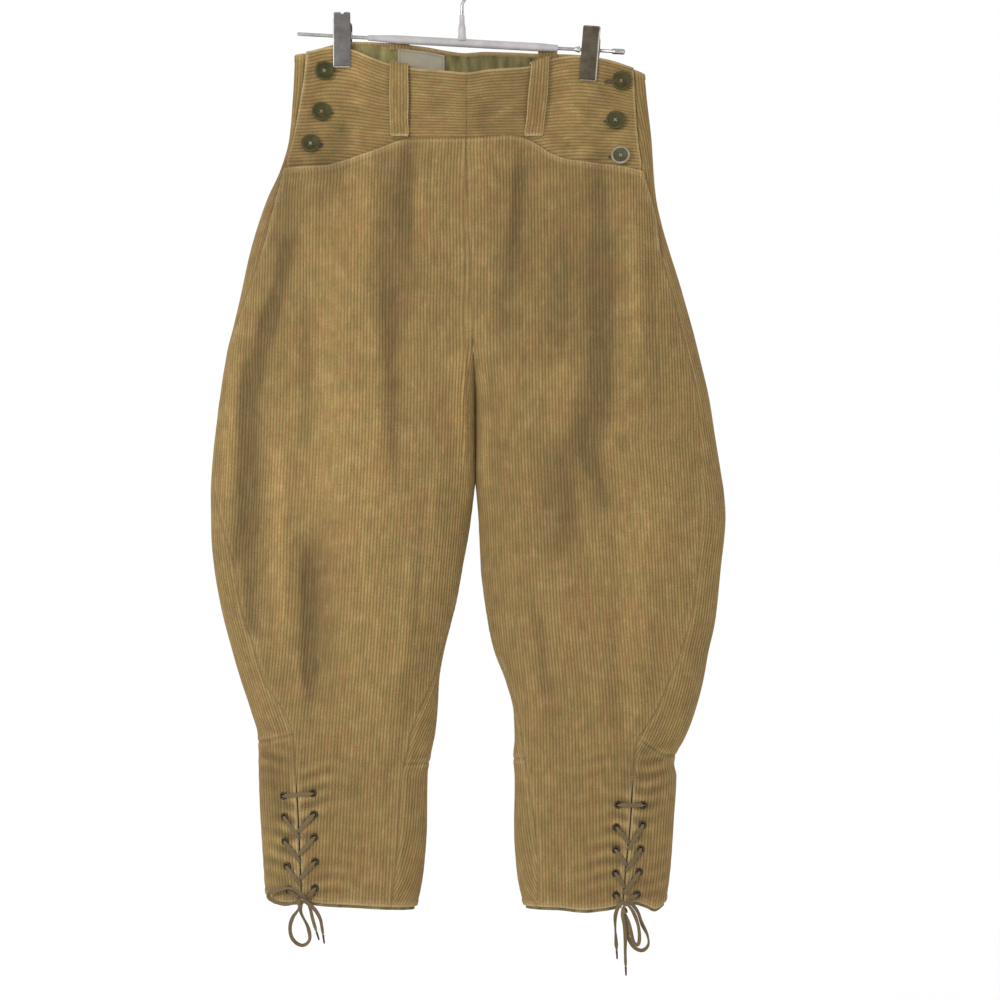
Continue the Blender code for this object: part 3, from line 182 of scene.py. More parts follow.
RIGHT_LEG = rows(
    LegRow,
    [
        (100, -167, -155.5, 5, 5), (125, -168, -158, 5, 5), (147, -169.5, -161.5, 5, 5),
        (187, -173, -168.5, 5, 5), (217, -181.5, -177, 5.5, 5.5), (247, -195, -185, 6.5, 6.5),
        (297, -211, -198, 8, 8), (347, -222, -216, 10.2, 10.2), (385, -231, -229.5, 11.4, 11.4),
        (397, -234, -233, 11.8, 11.8), (447, -242, -241.2, 13.6, 13.6), (497, -248, -247.3, 13.8, 13.8),
        (525, -250.3, -248.5, 13.7, 13.7), (537, -251, -247, 12.4, 12.4), (577, -250.5, -237, 7.4, 7.4),
        (617, -247, -224.5, 0.1, 0.1), (647, -242, -220.5, -6, -5.4), (697, -230, -205.5, -20, -17.7),
        (727, -221, -196, -29, -23), (760, -210, -175, -43, -25), (780, -204, -168, -50, -27),
        (800, -203, -166, -54, -31), (822, -202.5, -164.5, -59, -34.5), (867, -201, -162, -62, -34.5),
        (917, -198.5, -160, -66, -38.2), (962, -193.5, -158, -71, -47),
    ],
)
LEFT_LEG = rows(
    LegRow,
    [
        (100, 181, 170.5, 5, 5), (125, 183, 172, 5, 5), (147, 185, 173, 5, 5), (187, 189, 175.5, 5, 5),
        (217, 191, 180, 5.5, 5.5), (247, 194, 189, 6.5, 6.5), (270, 199, 194.5, 7, 7), (297, 207, 197.5, 8, 8),
        (347, 222, 211, 9.9, 9.9), (397, 235, 222.5, 11.2, 11.2), (447, 247, 234, 13, 13),
        (497, 255.5, 236.5, 13, 13), (525, 260, 237, 13.2, 13.2), (537, 262, 237, 14.2, 14.2),
        (560, 263.5, 236.5, 16.2, 16.2), (617, 258, 234.5, 19, 19), (647, 255, 231, 23.2, 22.7),
        (671, 252, 226, 27.5, 26.4), (697, 246.5, 218, 34, 32), (727, 241.5, 206, 46, 43.5),
        (760, 232.5, 191, 56, 51.8), (787, 221.5, 174, 60, 52.5), (800, 214.2, 171.8, 61.5, 51.5),
        (810, 211.8, 171, 63, 51.8), (822, 214, 170, 65, 52.5), (867, 211, 167.5, 72, 52),
        (917, 208, 162.5, 75.5, 55), (962, 202, 159, 75, 64),
    ],
)
BODY = rows(
    BodyRow,
    [
        (90, 30, 28, 12, 60), (187, 32, 30, 22, 60), (230, 35, 33, 42, 60), (297, 39, 38, 80, 60),
        (397, 43, 43, 110, 60), (456, 44, 44, 118, 62), (547, 43, 42, 122, 80), (647, 39, 38, 110, 80),
        (727, 34, 32, 88, 66), (787, 29, 28, 62, 52), (867, 26, 25, 54, 46), (962, 23, 23, 48, 42),
    ],
)
# Top edge of the front yoke, then of the back, then the front panels' scooped top edge
FRONT_WAIST = rows(
    Spot,
    [
        (-175, 101), (-155, 99.5), (-129, 94), (-111, 96.5), (-90, 105), (-75, 110.8), (-53, 116.3),
        (-18, 120.5), (5, 122.7), (26.5, 119.4), (64, 115.4), (96, 105), (116, 102.5), (139, 105.5),
        (171, 115.5), (190, 122),
    ],
)
BACK_WAIST = rows(
    Spot,
    [
        (-175, 106), (-155, 99.5), (-129, 91.5), (-109, 88.4), (-71, 89.3), (-38, 92), (-17, 95.2), (3, 97.5),
        (21, 96.4), (48, 97.6), (75, 99.6), (116, 101.5), (138, 104.5), (171, 115.5), (190, 124),
    ],
)
PANEL_TOP = rows(
    Spot,
    [
        (-190, 217), (-172, 216), (-137, 214.5), (-116, 209), (-85, 198), (-60, 189), (-45, 187), (5, 187.5),
        (48, 184), (60, 186), (75, 193.5), (90, 203), (104, 208), (130, 211.5), (162, 216), (182, 220.5),
        (200, 223),
    ],
)
# Knee seams: share of the way round the ring from the side seam to the inside seam, and drop
KNEE_SEAM = {
    Side.RIGHT: rows(
        Spot,
        [
            (0.0, 780), (0.14, 788), (0.55, 797), (0.86, 809), (1.0, 809),
        ],
    ),
    Side.LEFT: rows(
        Spot,
        [
            (0.0, 784), (0.15, 802), (0.55, 800), (0.86, 806), (1.0, 804),
        ],
    ),
}
HEM = {
    Side.RIGHT: rows(
        Spot,
        [
            (-205, 938), (-194, 942), (-187, 946.5), (-172, 946.5), (-160, 945.5), (-153.5, 944), (-147, 946.5),
            (-132, 948), (-110, 949), (-60, 952), (-40, 953),
        ],
    ),
    Side.LEFT: rows(
        Spot,
        [
            (50, 952), (93, 951.5), (122, 954), (143, 952), (160, 948.5), (171, 946), (183, 949.5), (193, 954),
            (206, 947),
        ],
    ),
}
# Where each front panel's wales run true: x of one wale at some drops
GRAIN = {
    Side.RIGHT: rows(
        Spot,
        [
            (-95, 187), (-97, 450), (-106, 650), (-117, 800), (-125, 958),
        ],
    ),
    Side.LEFT: rows(
        Spot,
        [
            (110, 187), (112, 450), (120, 650), (128, 760), (132, 958),
        ],
    ),
}
FOLDS = {
    Face.FRONT: rows(
        Fold,
        [
            (-68, 195, -72, 400, 17, -5.0), (-122, 225, -140, 620, 30, 4.5), (-215, 400, -205, 640, 13, -5.0),
            (-150, 560, -150, 760, 20, -5.0), (-95, 450, -100, 780, 32, 3.5), (55, 190, 45, 400, 17, -4.5),
            (110, 225, 88, 560, 22, -4.5), (134, 220, 150, 520, 20, 3.5), (128, 440, 96, 620, 20, -5.0),
            (190, 500, 175, 760, 26, 3.5),
        ],
    ),
    Face.BACK: rows(
        Fold,
        [
            (-70, 150, -80, 430, 22, -5.0), (80, 150, 88, 430, 22, -5.0), (-165, 430, -130, 770, 22, -6.0),
            (-95, 520, -92, 780, 26, 4.0), (180, 430, 150, 770, 22, -6.0), (110, 520, 108, 780, 26, 4.0),
        ],
    ),
}
# Narrow creases that the frame's coarse solids leave out
CREASES = {
    Face.FRONT: rows(
        Fold,
        [
            (-53, 182, -56, 310, 8, -3.2), (-39, 190, -44, 280, 6, 1.2), (-170, 190, -180, 320, 16, -1.6),
            (-153, 330, -153, 510, 9, -2.0), (-97, 200, -92, 330, 10, 1.6), (-137, 186, -140, 300, 12, -1.4),
            (-212, 600, -206, 690, 8, -2.4), (96, 400, 94, 500, 17, 2.8), (139, 290, 138, 490, 14, -3.6),
            (-122, 170, -122, 250, 11, -2.2), (18, 180, 20, 250, 9, 1.4), (-4, 400, -2, 500, 9, 2.4),
            (-50, 600, -60, 740, 10, 1.8), (3, 370, 4, 560, 7, 2.2), (22, 370, 24, 560, 7, 2.2),
            (136, 190, 138, 460, 13, -3.6), (-186, 765, -184, 890, 16, -1.3), (180, 775, 178, 890, 16, -1.1),
            (-72, 330, -66, 540, 8, -2.6), (-88, 340, -84, 520, 9, 1.2), (-169, 285, -196, 395, 10, -3.4),
            (-188, 355, -211, 450, 9, -3.8), (-210, 415, -214, 600, 8, -3.8), (-213, 560, -228, 615, 7, -2.4),
            (-224, 380, -236, 560, 7, 1.8), (-182, 480, -176, 720, 9, 2.6), (-152, 590, -150, 770, 7, -2.6),
            (-113, 218, -113, 236, 6, 2.6), (86, 178, 116, 202, 4, -1.6), (64, 142, 28, 172, 4, 1.6),
            (22, 150, 18, 184, 4, -1.2), (-54, 132, -28, 152, 4, 1.4), (-128, 140, -112, 190, 6, -1.8),
            (-118, 165, -100, 205, 6, 1.4), (118, 168, 140, 182, 5, -1.8), (96, 190, 130, 178, 5, 1.4),
            (-163, 610, -160, 780, 6, 1.2), (-36, 560, -60, 800, 7, -1.5), (-24, 500, -40, 700, 6, 1.0),
            (60, 190, 50, 330, 5, -2.0), (48, 195, 42, 300, 5, 1.2), (24, 380, 30, 560, 7, -1.4),
            (118, 465, 142, 560, 8, -2.6), (112, 500, 130, 620, 8, 1.3), (168, 250, 176, 430, 8, 1.2),
            (184, 300, 196, 480, 7, -1.4), (72, 640, 92, 800, 7, -1.6), (200, 600, 184, 760, 8, -1.5),
            (150, 640, 152, 800, 7, -1.2),
        ],
    ),
    Face.BACK: rows(
        Fold,
        [
            (-120, 200, -150, 470, 8, -1.6), (-40, 210, -48, 420, 8, -1.5), (50, 210, 54, 420, 8, -1.5),
            (130, 200, 162, 470, 8, -1.6), (-150, 620, -112, 800, 7, -1.6), (160, 620, 128, 800, 7, -1.6),
            (-60, 560, -80, 780, 7, -1.4), (76, 560, 96, 780, 7, -1.4),
        ],
    ),
}
BUTTONS = {
    "right_1": Spot(-139.5, 115.5),
    "right_2": Spot(-142, 157.5),
    "right_3": Spot(-152, 191),
    "left_1": Spot(159.5, 126),
    "left_2": Spot(154.5, 166.5),
    "left_3": Spot(159, 203.5),
}
ODD_BUTTON = "left_3"
DARK_THREADS = ("right_2", "left_1")
# Front loops, then back loops: x, drop of the foot and how far the top leans across
LOOPS = {
    "front_right": (-61.5, 186.0, 0.0),
    "front_left": (71.2, 186.0, 6.0),
    "back_right": (-63.0, 172.0, 0.0),
    "back_left": (86.0, 172.0, 0.0),
}
# Eyelets from the top pair down: first the pair's outer one on the calf panel, then its inner one
EYELETS = {
    Side.RIGHT: [
            ((-178.5, 843), (-149, 840)), ((-177.5, 864), (-148, 861)), ((-177, 888.5), (-147.5, 884)),
            ((-175, 913.5), (-147, 908.5)), ((-173.5, 937), (-147, 935)),
    ],
    Side.LEFT: [
            ((181, 852), (156, 851.5)), ((180.5, 872), (154.5, 874)), ((178.5, 896), (153.5, 896.5)),
            ((177, 919), (153.5, 920)), ((175, 941.5), (154, 942)),
    ],
}
# Drops at which the strands from each pair pass through the slit: the inner one's, then the outer one's
DIVES = {
    Side.RIGHT: [
            (876, 882), (898, 905), (922, 929),
    ],
    Side.LEFT: [
            (887, 893), (909, 915), (931, 937),
    ],
}
# Points of each bow's lace, as x, y and drop
BOWS = {
    Side.RIGHT: [
            (-143.8, -25.5, 975.5), (-146, -26.5, 968), (-148, -27, 961), (-150, -28, 952), (-154, -29, 943.5),
            (-161, -29, 935.5), (-171, -28, 931.5), (-182, -25, 933.5), (-190.5, -21, 937), (-192, -20, 941.5),
            (-186, -24, 945), (-174, -29, 947.5), (-161, -32, 944), (-161.5, -31.5, 952), (-167, -30, 960),
            (-170, -28, 970), (-168.5, -27.5, 980), (-163, -27.5, 986.5), (-156, -28, 988), (-150.5, -29, 982),
            (-152, -31, 970), (-159, -34, 954), (-157, -35, 943.5), (-150, -33, 947.5), (-144, -31, 954),
            (-140, -29, 962), (-138.5, -27.5, 970), (-137.3, -26.5, 978.5),
    ],
    Side.LEFT: [
            (153.7, -25, 994), (153, -25.5, 983), (152.3, -26.5, 971), (152.5, -28, 958), (157, -30, 947.5),
            (166, -30.5, 945.5), (174, -29, 954), (178.5, -27.5, 966.5), (184, -26.5, 978), (185, -26, 988),
            (179, -26, 993.5), (170.5, -26.5, 990), (165, -28, 980), (163.5, -30, 967), (160, -32.5, 952),
            (164.5, -33, 962), (167.5, -31.5, 974), (170.5, -31, 985), (174.5, -31, 987), (176, -31.5, 980),
            (174.5, -33, 967), (169, -35, 953), (162, -36, 946.5), (159, -35, 955), (161, -33, 967),
            (162, -31, 981), (162, -30, 995), (162.5, -29.5, 1009.5),
    ],
}
# Which point of the bow's route lies in the knot, between its two loops
BOW_MIDDLE = {Side.RIGHT: 12, Side.LEFT: 14}
# Where each lacing's two ends lie behind its bow
KNOTS = {
    Side.RIGHT: ((-161.5, -26.9, 941.5), (-153.3, -27.0, 943)),
    Side.LEFT: ((165, -28.1, 944), (156.5, -27.6, 946)),
}
# Hanger
BAR_ENDS = ((-164.5, 81.0), (163.0, 99.0))
STEM_TOP = 62.0
WIRE_RADIUS = 1.6
HOOK_RADIUS = 23.0
HOOK_TIP_ANGLE = 200.0
HOOK_NECK_RADIUS = 12.0


def column(table: Sequence[NamedTuple], name: str) -> Array:
    """One named column of a table."""
    return np.array([getattr(row, name) for row in table], float)


def through(xs: Array, ys: Array, at: Number) -> Array:
    """A smooth curve through points, with no overshoot between them.

    Args:
        xs: rising positions of the points.
        ys: their values.
        at: where the curve is wanted.

    Returns:
        The curve's values.
    """
    step = np.diff(xs)
    slope = np.diff(ys) / step
    tangent = np.empty(len(xs))
    tangent[0], tangent[-1] = slope[0], slope[-1]
    same_way = slope[:-1] * slope[1:] > 0
    total = np.where(same_way, slope[:-1] + slope[1:], 1.0)
    tangent[1:-1] = np.where(same_way, 2 * slope[:-1] * slope[1:] / total, 0.0)
    at = np.clip(np.asarray(at, float), xs[0], xs[-1])
    i = np.clip(np.searchsorted(xs, at, side="right") - 1, 0, len(step) - 1)
    t = (at - xs[i]) / step[i]
    return (
        ys[i] * (1 + 2 * t) * (1 - t) ** 2
        + step[i] * tangent[i] * t * (1 - t) ** 2
        + ys[i + 1] * t * t * (3 - 2 * t)
        - step[i] * tangent[i + 1] * t * t * (1 - t)
    )


def along(table: Sequence[NamedTuple], at: Number, xs: str = "x", ys: str = "drop") -> Array:
    """The value of one column of a table where another has the value at."""
    return through(column(table, xs), column(table, ys), at)


def ease(value: Number, start: Number, end: Number) -> Array:
    """0 before start, 1 after end, and smooth between."""
    t = np.clip((np.asarray(value, float) - start) / (end - start), 0, 1)
    return t * t * (3 - 2 * t)


def bump(value: Number, width: float) -> Array:
    """A soft hill of height 1 at 0."""
    return np.exp(-((np.asarray(value, float) / width) ** 2))


def rounding(distance: Array, width: Number) -> Array:
    """How far cloth has risen this far in from an edge that rounds away over width."""
    left = 1 - np.clip(distance / width, 0, 1)
    return np.sqrt(np.clip(1 - left * left, 0, 1))


def unit(vectors: Array) -> Array:
    """Vectors of length 1."""
    return vectors / np.linalg.norm(vectors, axis=-1, keepdims=True)


def run_along(points: Array) -> Array:
    """Distance of each point from the first, along them."""
    return np.concatenate([[0], np.cumsum(np.linalg.norm(np.diff(points, axis=0), axis=1))])


def resampled(table: Array, run: Array, at: Array) -> Array:
    """Rows of a table read at other distances along it."""
    return np.column_stack([np.interp(at, run, table[:, k]) for k in range(table.shape[1])])


def smooth_route(points: Array | Sequence[Sequence[float]], count: int) -> Array:
    """Points evenly spaced along a smooth curve through given points.

    Args:
        points: the points that the curve passes through.
        count: how many are wanted.

    Returns:
        The points, as rows.
    """
    p = np.array(points, float)
    p = np.vstack([2 * p[0] - p[1], p, 2 * p[-1] - p[-2]])
    fine = []
    for a, b, c, d in zip(p, p[1:], p[2:], p[3:]):
        for t in np.linspace(0, 1, 12, endpoint=False):
            bend = (2 * a - 5 * b + 4 * c - d) * t**2 + (3 * b - a - 3 * c + d) * t**3
            fine.append(0.5 * (2 * b + (c - a) * t + bend))
    fine = np.array(fine + [p[-2]])
    run = run_along(fine)
    return resampled(fine, run, np.linspace(0, run[-1], count))


def waist_depth(x: Array, face: Face) -> Array:
    """Half depth at the waist: flat in the clips, open between them and a small loop outside them."""
    right, left = CLIPS_AT["right"][0], CLIPS_AT["left"][0]
    centre, half = (right + left) / 2, (left - right) / 2
    inside = np.clip(np.abs(x - centre) / (half - CLIP_FLAT), 0, 1)
    pinch = PINCH[face.value]
    opening = (WAIST_MIDDLE[face.value] - pinch) * (1 + np.cos(math.pi * inside)) / 2
    outside = ease(np.abs(x - centre) - half, CLIP_FLAT, CLIP_FLAT + SIDE_LOOP_REACH)
    return pinch + opening + SIDE_LOOP * outside


def folds_at(folds: Sequence[Fold], x: Array, drop: Number) -> Array:
    """How far all folds of a face lift the cloth at places across and down it."""
    height = np.zeros(np.broadcast(x, drop).shape)
    for fold in folds:
        length = fold.bottom - fold.top
        share = np.clip((drop - fold.top) / length, -0.2, 1.2)
        line = fold.x_top + (fold.x_bottom - fold.x_top) * share
        fade = ease(drop, fold.top - 0.12 * length, fold.top + 0.25 * length)
        fade = fade * (1 - ease(drop, fold.bottom - 0.3 * length, fold.bottom + 0.1 * length))
        height = height + fold.height * fade * bump(x - line, fold.width)
    return height


def seen(spot: Spot) -> Spot:
    """Where a front spot read at the bar's depth really lies, being nearer the camera."""
    return Spot(EYE_X + (spot.x - EYE_X) * NEARER, EYE_DROP + (spot.drop - EYE_DROP) * NEARER)


def slit_gap(drop: Number) -> Array:
    """Half the distance between the front and calf panels: a seam above the slit, open below."""
    return SEAM_GAP / 2 + (SLIT_GAP - SEAM_GAP) / 2 * ease(drop, SLIT_TOP, SLIT_OPEN)


@dataclass
class LegForm:
    """The outer surface of one leg and its half of the body, as rings at close drops.

    A ring starts at the centre seam or the inside of the leg, runs over the front to the outer edge
    (q from 0 to 1) and back over the rear (q from 1 to 2), evenly spaced along its length.
    """

    side: Side
    table: list[LegRow]
    step: float = 4.0
    half: int = 160
    drops: Array = field(init=False)
    points: Array = field(init=False)
    lengths: Array = field(init=False)
    normals: Array = field(init=False)
    girths: dict[str, Array] = field(default_factory=dict)

    def __post_init__(self) -> None:
        """Works out the rings and the girths of the side seam, the inner seam and the grain."""
        self.drops = np.arange(86.0, 970.0, self.step)
        made = [self.ring(drop) for drop in self.drops]
        self.points = np.array([np.concatenate([front, back[1:]]) for front, back, _ in made])
        self.lengths = np.array([lengths for _, _, lengths in made])
        self.normals = self.outward()
        lines = {name: along(self.table, self.drops, "drop", name) for name in ("side_seam", "inner_seam")}
        lines["grain"] = along(GRAIN[self.side], self.drops, "drop", "x")
        for name, line in lines.items():
            open_from = CROTCH if name == "inner_seam" else 0.0
            at = [self.q_on_ring(row, x) if self.drops[row] > open_from else 0.0 for row, x in enumerate(line)]
            self.girths[name] = np.array(at) * self.lengths[:, 0]

    @property
    def way(self) -> float:
        """1 on the left leg, -1 on the right one."""
        return 1.0 if self.side is Side.LEFT else -1.0

    def ring(self, drop: float) -> tuple[Array, Array, tuple[float, float]]:
        """Front and back halves of the ring at one drop, evenly spaced, and the two lengths."""
        outer, inner = (along(self.table, drop, "drop", name) for name in ("outer", "inner"))
        width = abs(outer - inner)
        turn = np.linspace(0, math.pi, 4 * self.half)
        x = inner + (outer - inner) * (1 - np.cos(turn)) / 2
        closed = ease(drop, CROTCH_CURVE_TOP, CROTCH)
        rounds = [along(BODY, drop, "drop", name) for name in ("outer_round", "inner_round")]
        outer_edge = rounding(np.abs(outer - x), min(rounds[0], 0.62 * width))
        inner_edge = rounding(np.abs(x - inner), min(rounds[1], 0.45 * width))
        grown, folded = ease(drop, PINCH_END, BODY_FULL), ease(drop, PINCH_END, 190.0)
        halves, lengths = [], []
        for face in Face:
            depth = (1 - grown) * waist_depth(x, face) + grown * along(BODY, drop, "drop", face.value)
            for table in (FOLDS, CREASES):
                depth = depth + folds_at(table[face], x, drop) * folded
            depth = depth * outer_edge * (1 - closed * (1 - inner_edge))
            curve = np.column_stack([x, -depth if face is Face.FRONT else depth])
            run = run_along(curve)
            halves.append(resampled(curve, run, np.linspace(0, run[-1], self.half + 1)))
            lengths.append(float(run[-1]))
        return halves[0], halves[1][::-1], (lengths[0], lengths[1])

    def outward(self) -> Array:
        """Unit normals of the surface, at every point of every ring."""
        down = np.broadcast_to(-self.drops[:, None, None], self.points.shape[:2] + (1,))
        solid = np.concatenate([self.points, down], axis=2)
        round_it = np.gradient(solid, axis=1)
        joined_rings = self.drops >= CROTCH
        seam = (solid[joined_rings, 1] - solid[joined_rings, -2]) / 2
        round_it[joined_rings, 0], round_it[joined_rings, -1] = seam, seam
        return unit(np.cross(np.gradient(solid, axis=0), round_it) * self.way)

    def grid(self, table: Array, q: Array, drop: Number) -> Array:
        """Bilinear look-up in a table over rings and their points."""
        q, drop = np.broadcast_arrays(np.asarray(q, float), np.asarray(drop, float))
        row = np.clip((drop - self.drops[0]) / self.step, 0, len(self.drops) - 1.001)
        col = np.clip(np.where(q > 2, q - 2, q) * self.half, 0, 2 * self.half - 0.001)
        i, j = row.astype(int), col.astype(int)
        a, b = (row - i)[..., None], (col - j)[..., None]
        upper = table[i, j] * (1 - b) + table[i, j + 1] * b
        lower = table[i + 1, j] * (1 - b) + table[i + 1, j + 1] * b
        return upper * (1 - a) + lower * a

    def place(self, q: Array, drop: Number, offset: Number = 0.0) -> Array:
        """Points of the surface in millimetres, moved out along the normal by offset."""
        flat = self.grid(self.points, q, drop)
        drop = np.broadcast_to(np.asarray(drop, float), flat.shape[:-1])
        point = np.concatenate([flat, -drop[..., None]], axis=-1)
        return point + self.normal(q, drop) * np.asarray(offset)[..., None]

    def normal(self, q: Array, drop: Number) -> Array:
        """Unit normals at places of the surface."""
        return unit(self.grid(self.normals, q, drop))

    def q_on_ring(self, row: int, x: float, face: Face = Face.FRONT) -> float:
        """Where the front or back half of one stored ring crosses x."""
        across = self.points[row, :, 0] * self.way
        q = np.linspace(0, 2, 2 * self.half + 1)
        part = slice(None, self.half + 1) if face is Face.FRONT else slice(None, self.half - 1, -1)
        return float(np.interp(x * self.way, across[part], q[part]))

    def q_at(self, x: float, drop: float, face: Face = Face.FRONT) -> float:
        """Where the front or back half of the surface crosses x at a drop."""
        row = float(np.clip((drop - self.drops[0]) / self.step, 0, len(self.drops) - 1.001))
        above, below = (self.q_on_ring(int(row) + k, x, face) for k in (0, 1))
        return above + (below - above) * (row - int(row))

    def girth_of(self, name: str, drop: Number) -> Array:
        """Girth of the side seam, the inner seam or the grain at any drop."""
        return np.interp(drop, self.drops, self.girths[name])

    def front_length(self, drop: Number) -> Array:
        """Length of the ring's front half."""
        return np.interp(drop, self.drops, self.lengths[:, 0])

    def back_length(self, drop: Number) -> Array:
        """Length of the ring's rear half."""
        return np.interp(drop, self.drops, self.lengths[:, 1])

    def q_of(self, girth: Array, drop: Array) -> Array:
        """q of places given by girth, which may run on past the inside seam."""
        front, back = self.front_length(drop), self.back_length(drop)
        over_back = 1 + (girth - front) / back
        again = 2 + (girth - front - back) / front
        return np.where(girth <= front, girth / front, np.where(girth <= front + back, over_back, again))

    def x_at(self, girth: Array, drop: Array) -> Array:
        """x of places given by girth."""
        return self.grid(self.points, self.q_of(girth, drop), drop)[..., 0]

    def side_at(self, drop: Number) -> Array:
        """Girth of the side seam or the yoke's side edge."""
        return self.girth_of("side_seam", drop)

    def inside_at(self, drop: Number) -> Array:
        """Girth of the centre seam or the inside-leg seam, on the front."""
        return self.girth_of("inner_seam", drop)

    def round_at(self, drop: Number) -> Array:
        """Girth of the same seam, reached over the rear."""
        return self.front_length(drop) + self.back_length(drop) + self.inside_at(drop)

    def knee_drop(self, girth: Array, drop: Array) -> Array:
        """Drop of the knee seam at places round the leg."""
        start, end = self.side_at(drop), self.round_at(drop)
        return along(KNEE_SEAM[self.side], np.clip((girth - start) / (end - start), 0, 1))


@dataclass
class Body:
    """Both legs' surfaces, read by x and drop."""

    forms: dict[Side, LegForm]

    def leg(self, x: float, drop: float) -> LegForm:
        """The leg that a place is on."""
        middle = along(RIGHT_LEG, drop, "drop", "inner")
        return self.forms[Side.LEFT if x > middle else Side.RIGHT]

    def at(self, x: float, drop: float, offset: float = 0.0, face: Face = Face.FRONT) -> Array:
        """A point off the surface at x and drop."""
        leg = self.leg(x, drop)
        return leg.place(leg.q_at(x, drop, face), drop, offset)

    def normal(self, x: float, drop: float, face: Face = Face.FRONT) -> Array:
        """The surface's outward direction at x and drop."""
        leg = self.leg(x, drop)
        return leg.normal(leg.q_at(x, drop, face), drop)


def to_mesh(name: str, bm: Solid) -> Mesh:
    """A mesh of a bmesh, turned right side out. The bmesh is freed."""
    if bm.calc_volume(signed=True) < 0:
        bmesh.ops.reverse_faces(bm, faces=bm.faces)
    mesh = bpy.data.meshes.new(name)
    bm.to_mesh(mesh)
    bm.free()
    return mesh


def vertices_of(mesh: Mesh) -> Array:
    """A mesh's vertices, as rows."""
    flat = np.empty(3 * len(mesh.vertices))
    mesh.vertices.foreach_get("co", flat)
    return flat.reshape(-1, 3)


def mark(mesh: Mesh, name: str, values: Array) -> None:
    """Writes a vector attribute, one row a vertex."""
    flat = np.ascontiguousarray(values.reshape(-1))
    mesh.attributes.new(name, "FLOAT_VECTOR", "POINT").data.foreach_set("vector", flat)


@dataclass
class Tailor:
    """Makes finished mesh objects and keeps count of them."""

    made: list[str] = field(default_factory=list)

    def finish(
        self, name: str, bm: Solid, material: bpy.types.Material, slot: str, replaces: Sequence[str] = ()
    ) -> Piece:
        """Turns a bmesh in metres into a piece, with the arguments and result of dress."""
        return self.dress(name, to_mesh(name, bm), material, slot, replaces)

    def dress(
        self,
        name: str,
        mesh: Mesh,
        material: bpy.types.Material,
        slot: str,
        replaces: Sequence[str] = (),
        smooth_to: float | None = 40.0,
    ) -> Piece:
        """Turns a mesh into a piece that rides on the object.

        Args:
            name: the piece's name.
            mesh: its shape, in metres.
            material: its finish.
            slot: not used.
            replaces: the CAD nodes that it stands for.
            smooth_to: edges bent more than this many degrees stay sharp, and None keeps none sharp.

        Returns:
            The new object.
        """
        obj = bpy.data.objects.new(name, mesh)
        bpy.context.scene.collection.objects.link(obj)
        obj.data.materials.append(material)
        mesh.shade_smooth()
        if smooth_to is not None:
            mesh.set_sharp_from_angle(angle=math.radians(smooth_to))
        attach(obj, "root")
        if replaces:
            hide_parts(*replaces)
        self.made.append(name)
        LOG.info("%s: %d faces", name, len(mesh.polygons))
        return obj


def flat_grid(name: str, shape: tuple[int, int], walled: bool) -> tuple[Mesh, Array, Array, Array]:
    """A square sheet of vertices, to be moved into place.

    Args:
        name: the mesh's name.
        shape: how many rows and columns it has.
        walled: whether it is a thin closed wall instead of one layer.

    Returns:
        The mesh, and each vertex's row, column and whether it is on the inner layer.
    """
    height, width = shape
    bm = bmesh.new()
    bmesh.ops.create_grid(bm, x_segments=width - 1, y_segments=height - 1, size=0.5)
    if walled:
        bmesh.ops.solidify(bm, geom=bm.faces[:], thickness=0.1)
    mesh = bpy.data.meshes.new(name)
    bm.to_mesh(mesh)
    bm.free()
    flat = vertices_of(mesh)
    row = np.rint((0.5 - flat[:, 1]) * (height - 1)).astype(int)
    col = np.rint((flat[:, 0] + 0.5) * (width - 1)).astype(int)
    return mesh, row, col, np.abs(flat[:, 2]) > 0.05


def closed_up(mesh: Mesh, points: Array, recalculate: bool = False) -> Mesh:
    """Moves a mesh's vertices to points in millimetres, merges doubles and turns its faces out."""
    mesh.vertices.foreach_set("co", (points * MM).reshape(-1))
    bm = bmesh.new()
    bm.from_mesh(mesh)
    bmesh.ops.remove_doubles(bm, verts=bm.verts, dist=MERGE)
    if recalculate:
        bmesh.ops.recalc_face_normals(bm, faces=bm.faces)
    if bm.calc_volume(signed=True) < 0:
        bmesh.ops.reverse_faces(bm, faces=bm.faces)
    bm.to_mesh(mesh)
    bm.free()
    return mesh


def marks_of(
    shape: tuple[int, ...], weave: Sequence[Number] = (0, 0, 0), state: Sequence[Number] = (0, 0, 0)
) -> dict[str, Array]:
    """The two vector attributes of a piece over a grid of this shape, each from three grids or numbers."""
    made = {}
    for key, values in (("weave", weave), ("state", state)):
        made[key] = np.stack([np.broadcast_to(np.asarray(value, float), shape) for value in values], axis=-1)
    return made


def wall_mesh(
    name: str, outer: Array, inner: Array, marks: dict[str, Array], inner_marks: dict[str, Array] | None = None
) -> Mesh:
    """A closed wall of cloth or sheet metal between two grids of points in millimetres.

    Args:
        name: the mesh's name.
        outer: rows by columns of points of the outer side.
        inner: the same of the inner side. Equal neighbours are merged.
        marks: vector attributes of the outer side, rows by columns by 3.
        inner_marks: those of the inner side, or the outer side's where None.

    Returns:
        The mesh, with its faces pointing out.
    """
    mesh, row, col, is_inner = flat_grid(name, outer.shape[:2], True)
    within = is_inner[:, None]
    for key, values in marks.items():
        mark(mesh, key, np.where(within, (inner_marks or marks)[key][row, col], values[row, col]))
    return closed_up(mesh, np.where(within, inner[row, col], outer[row, col]))


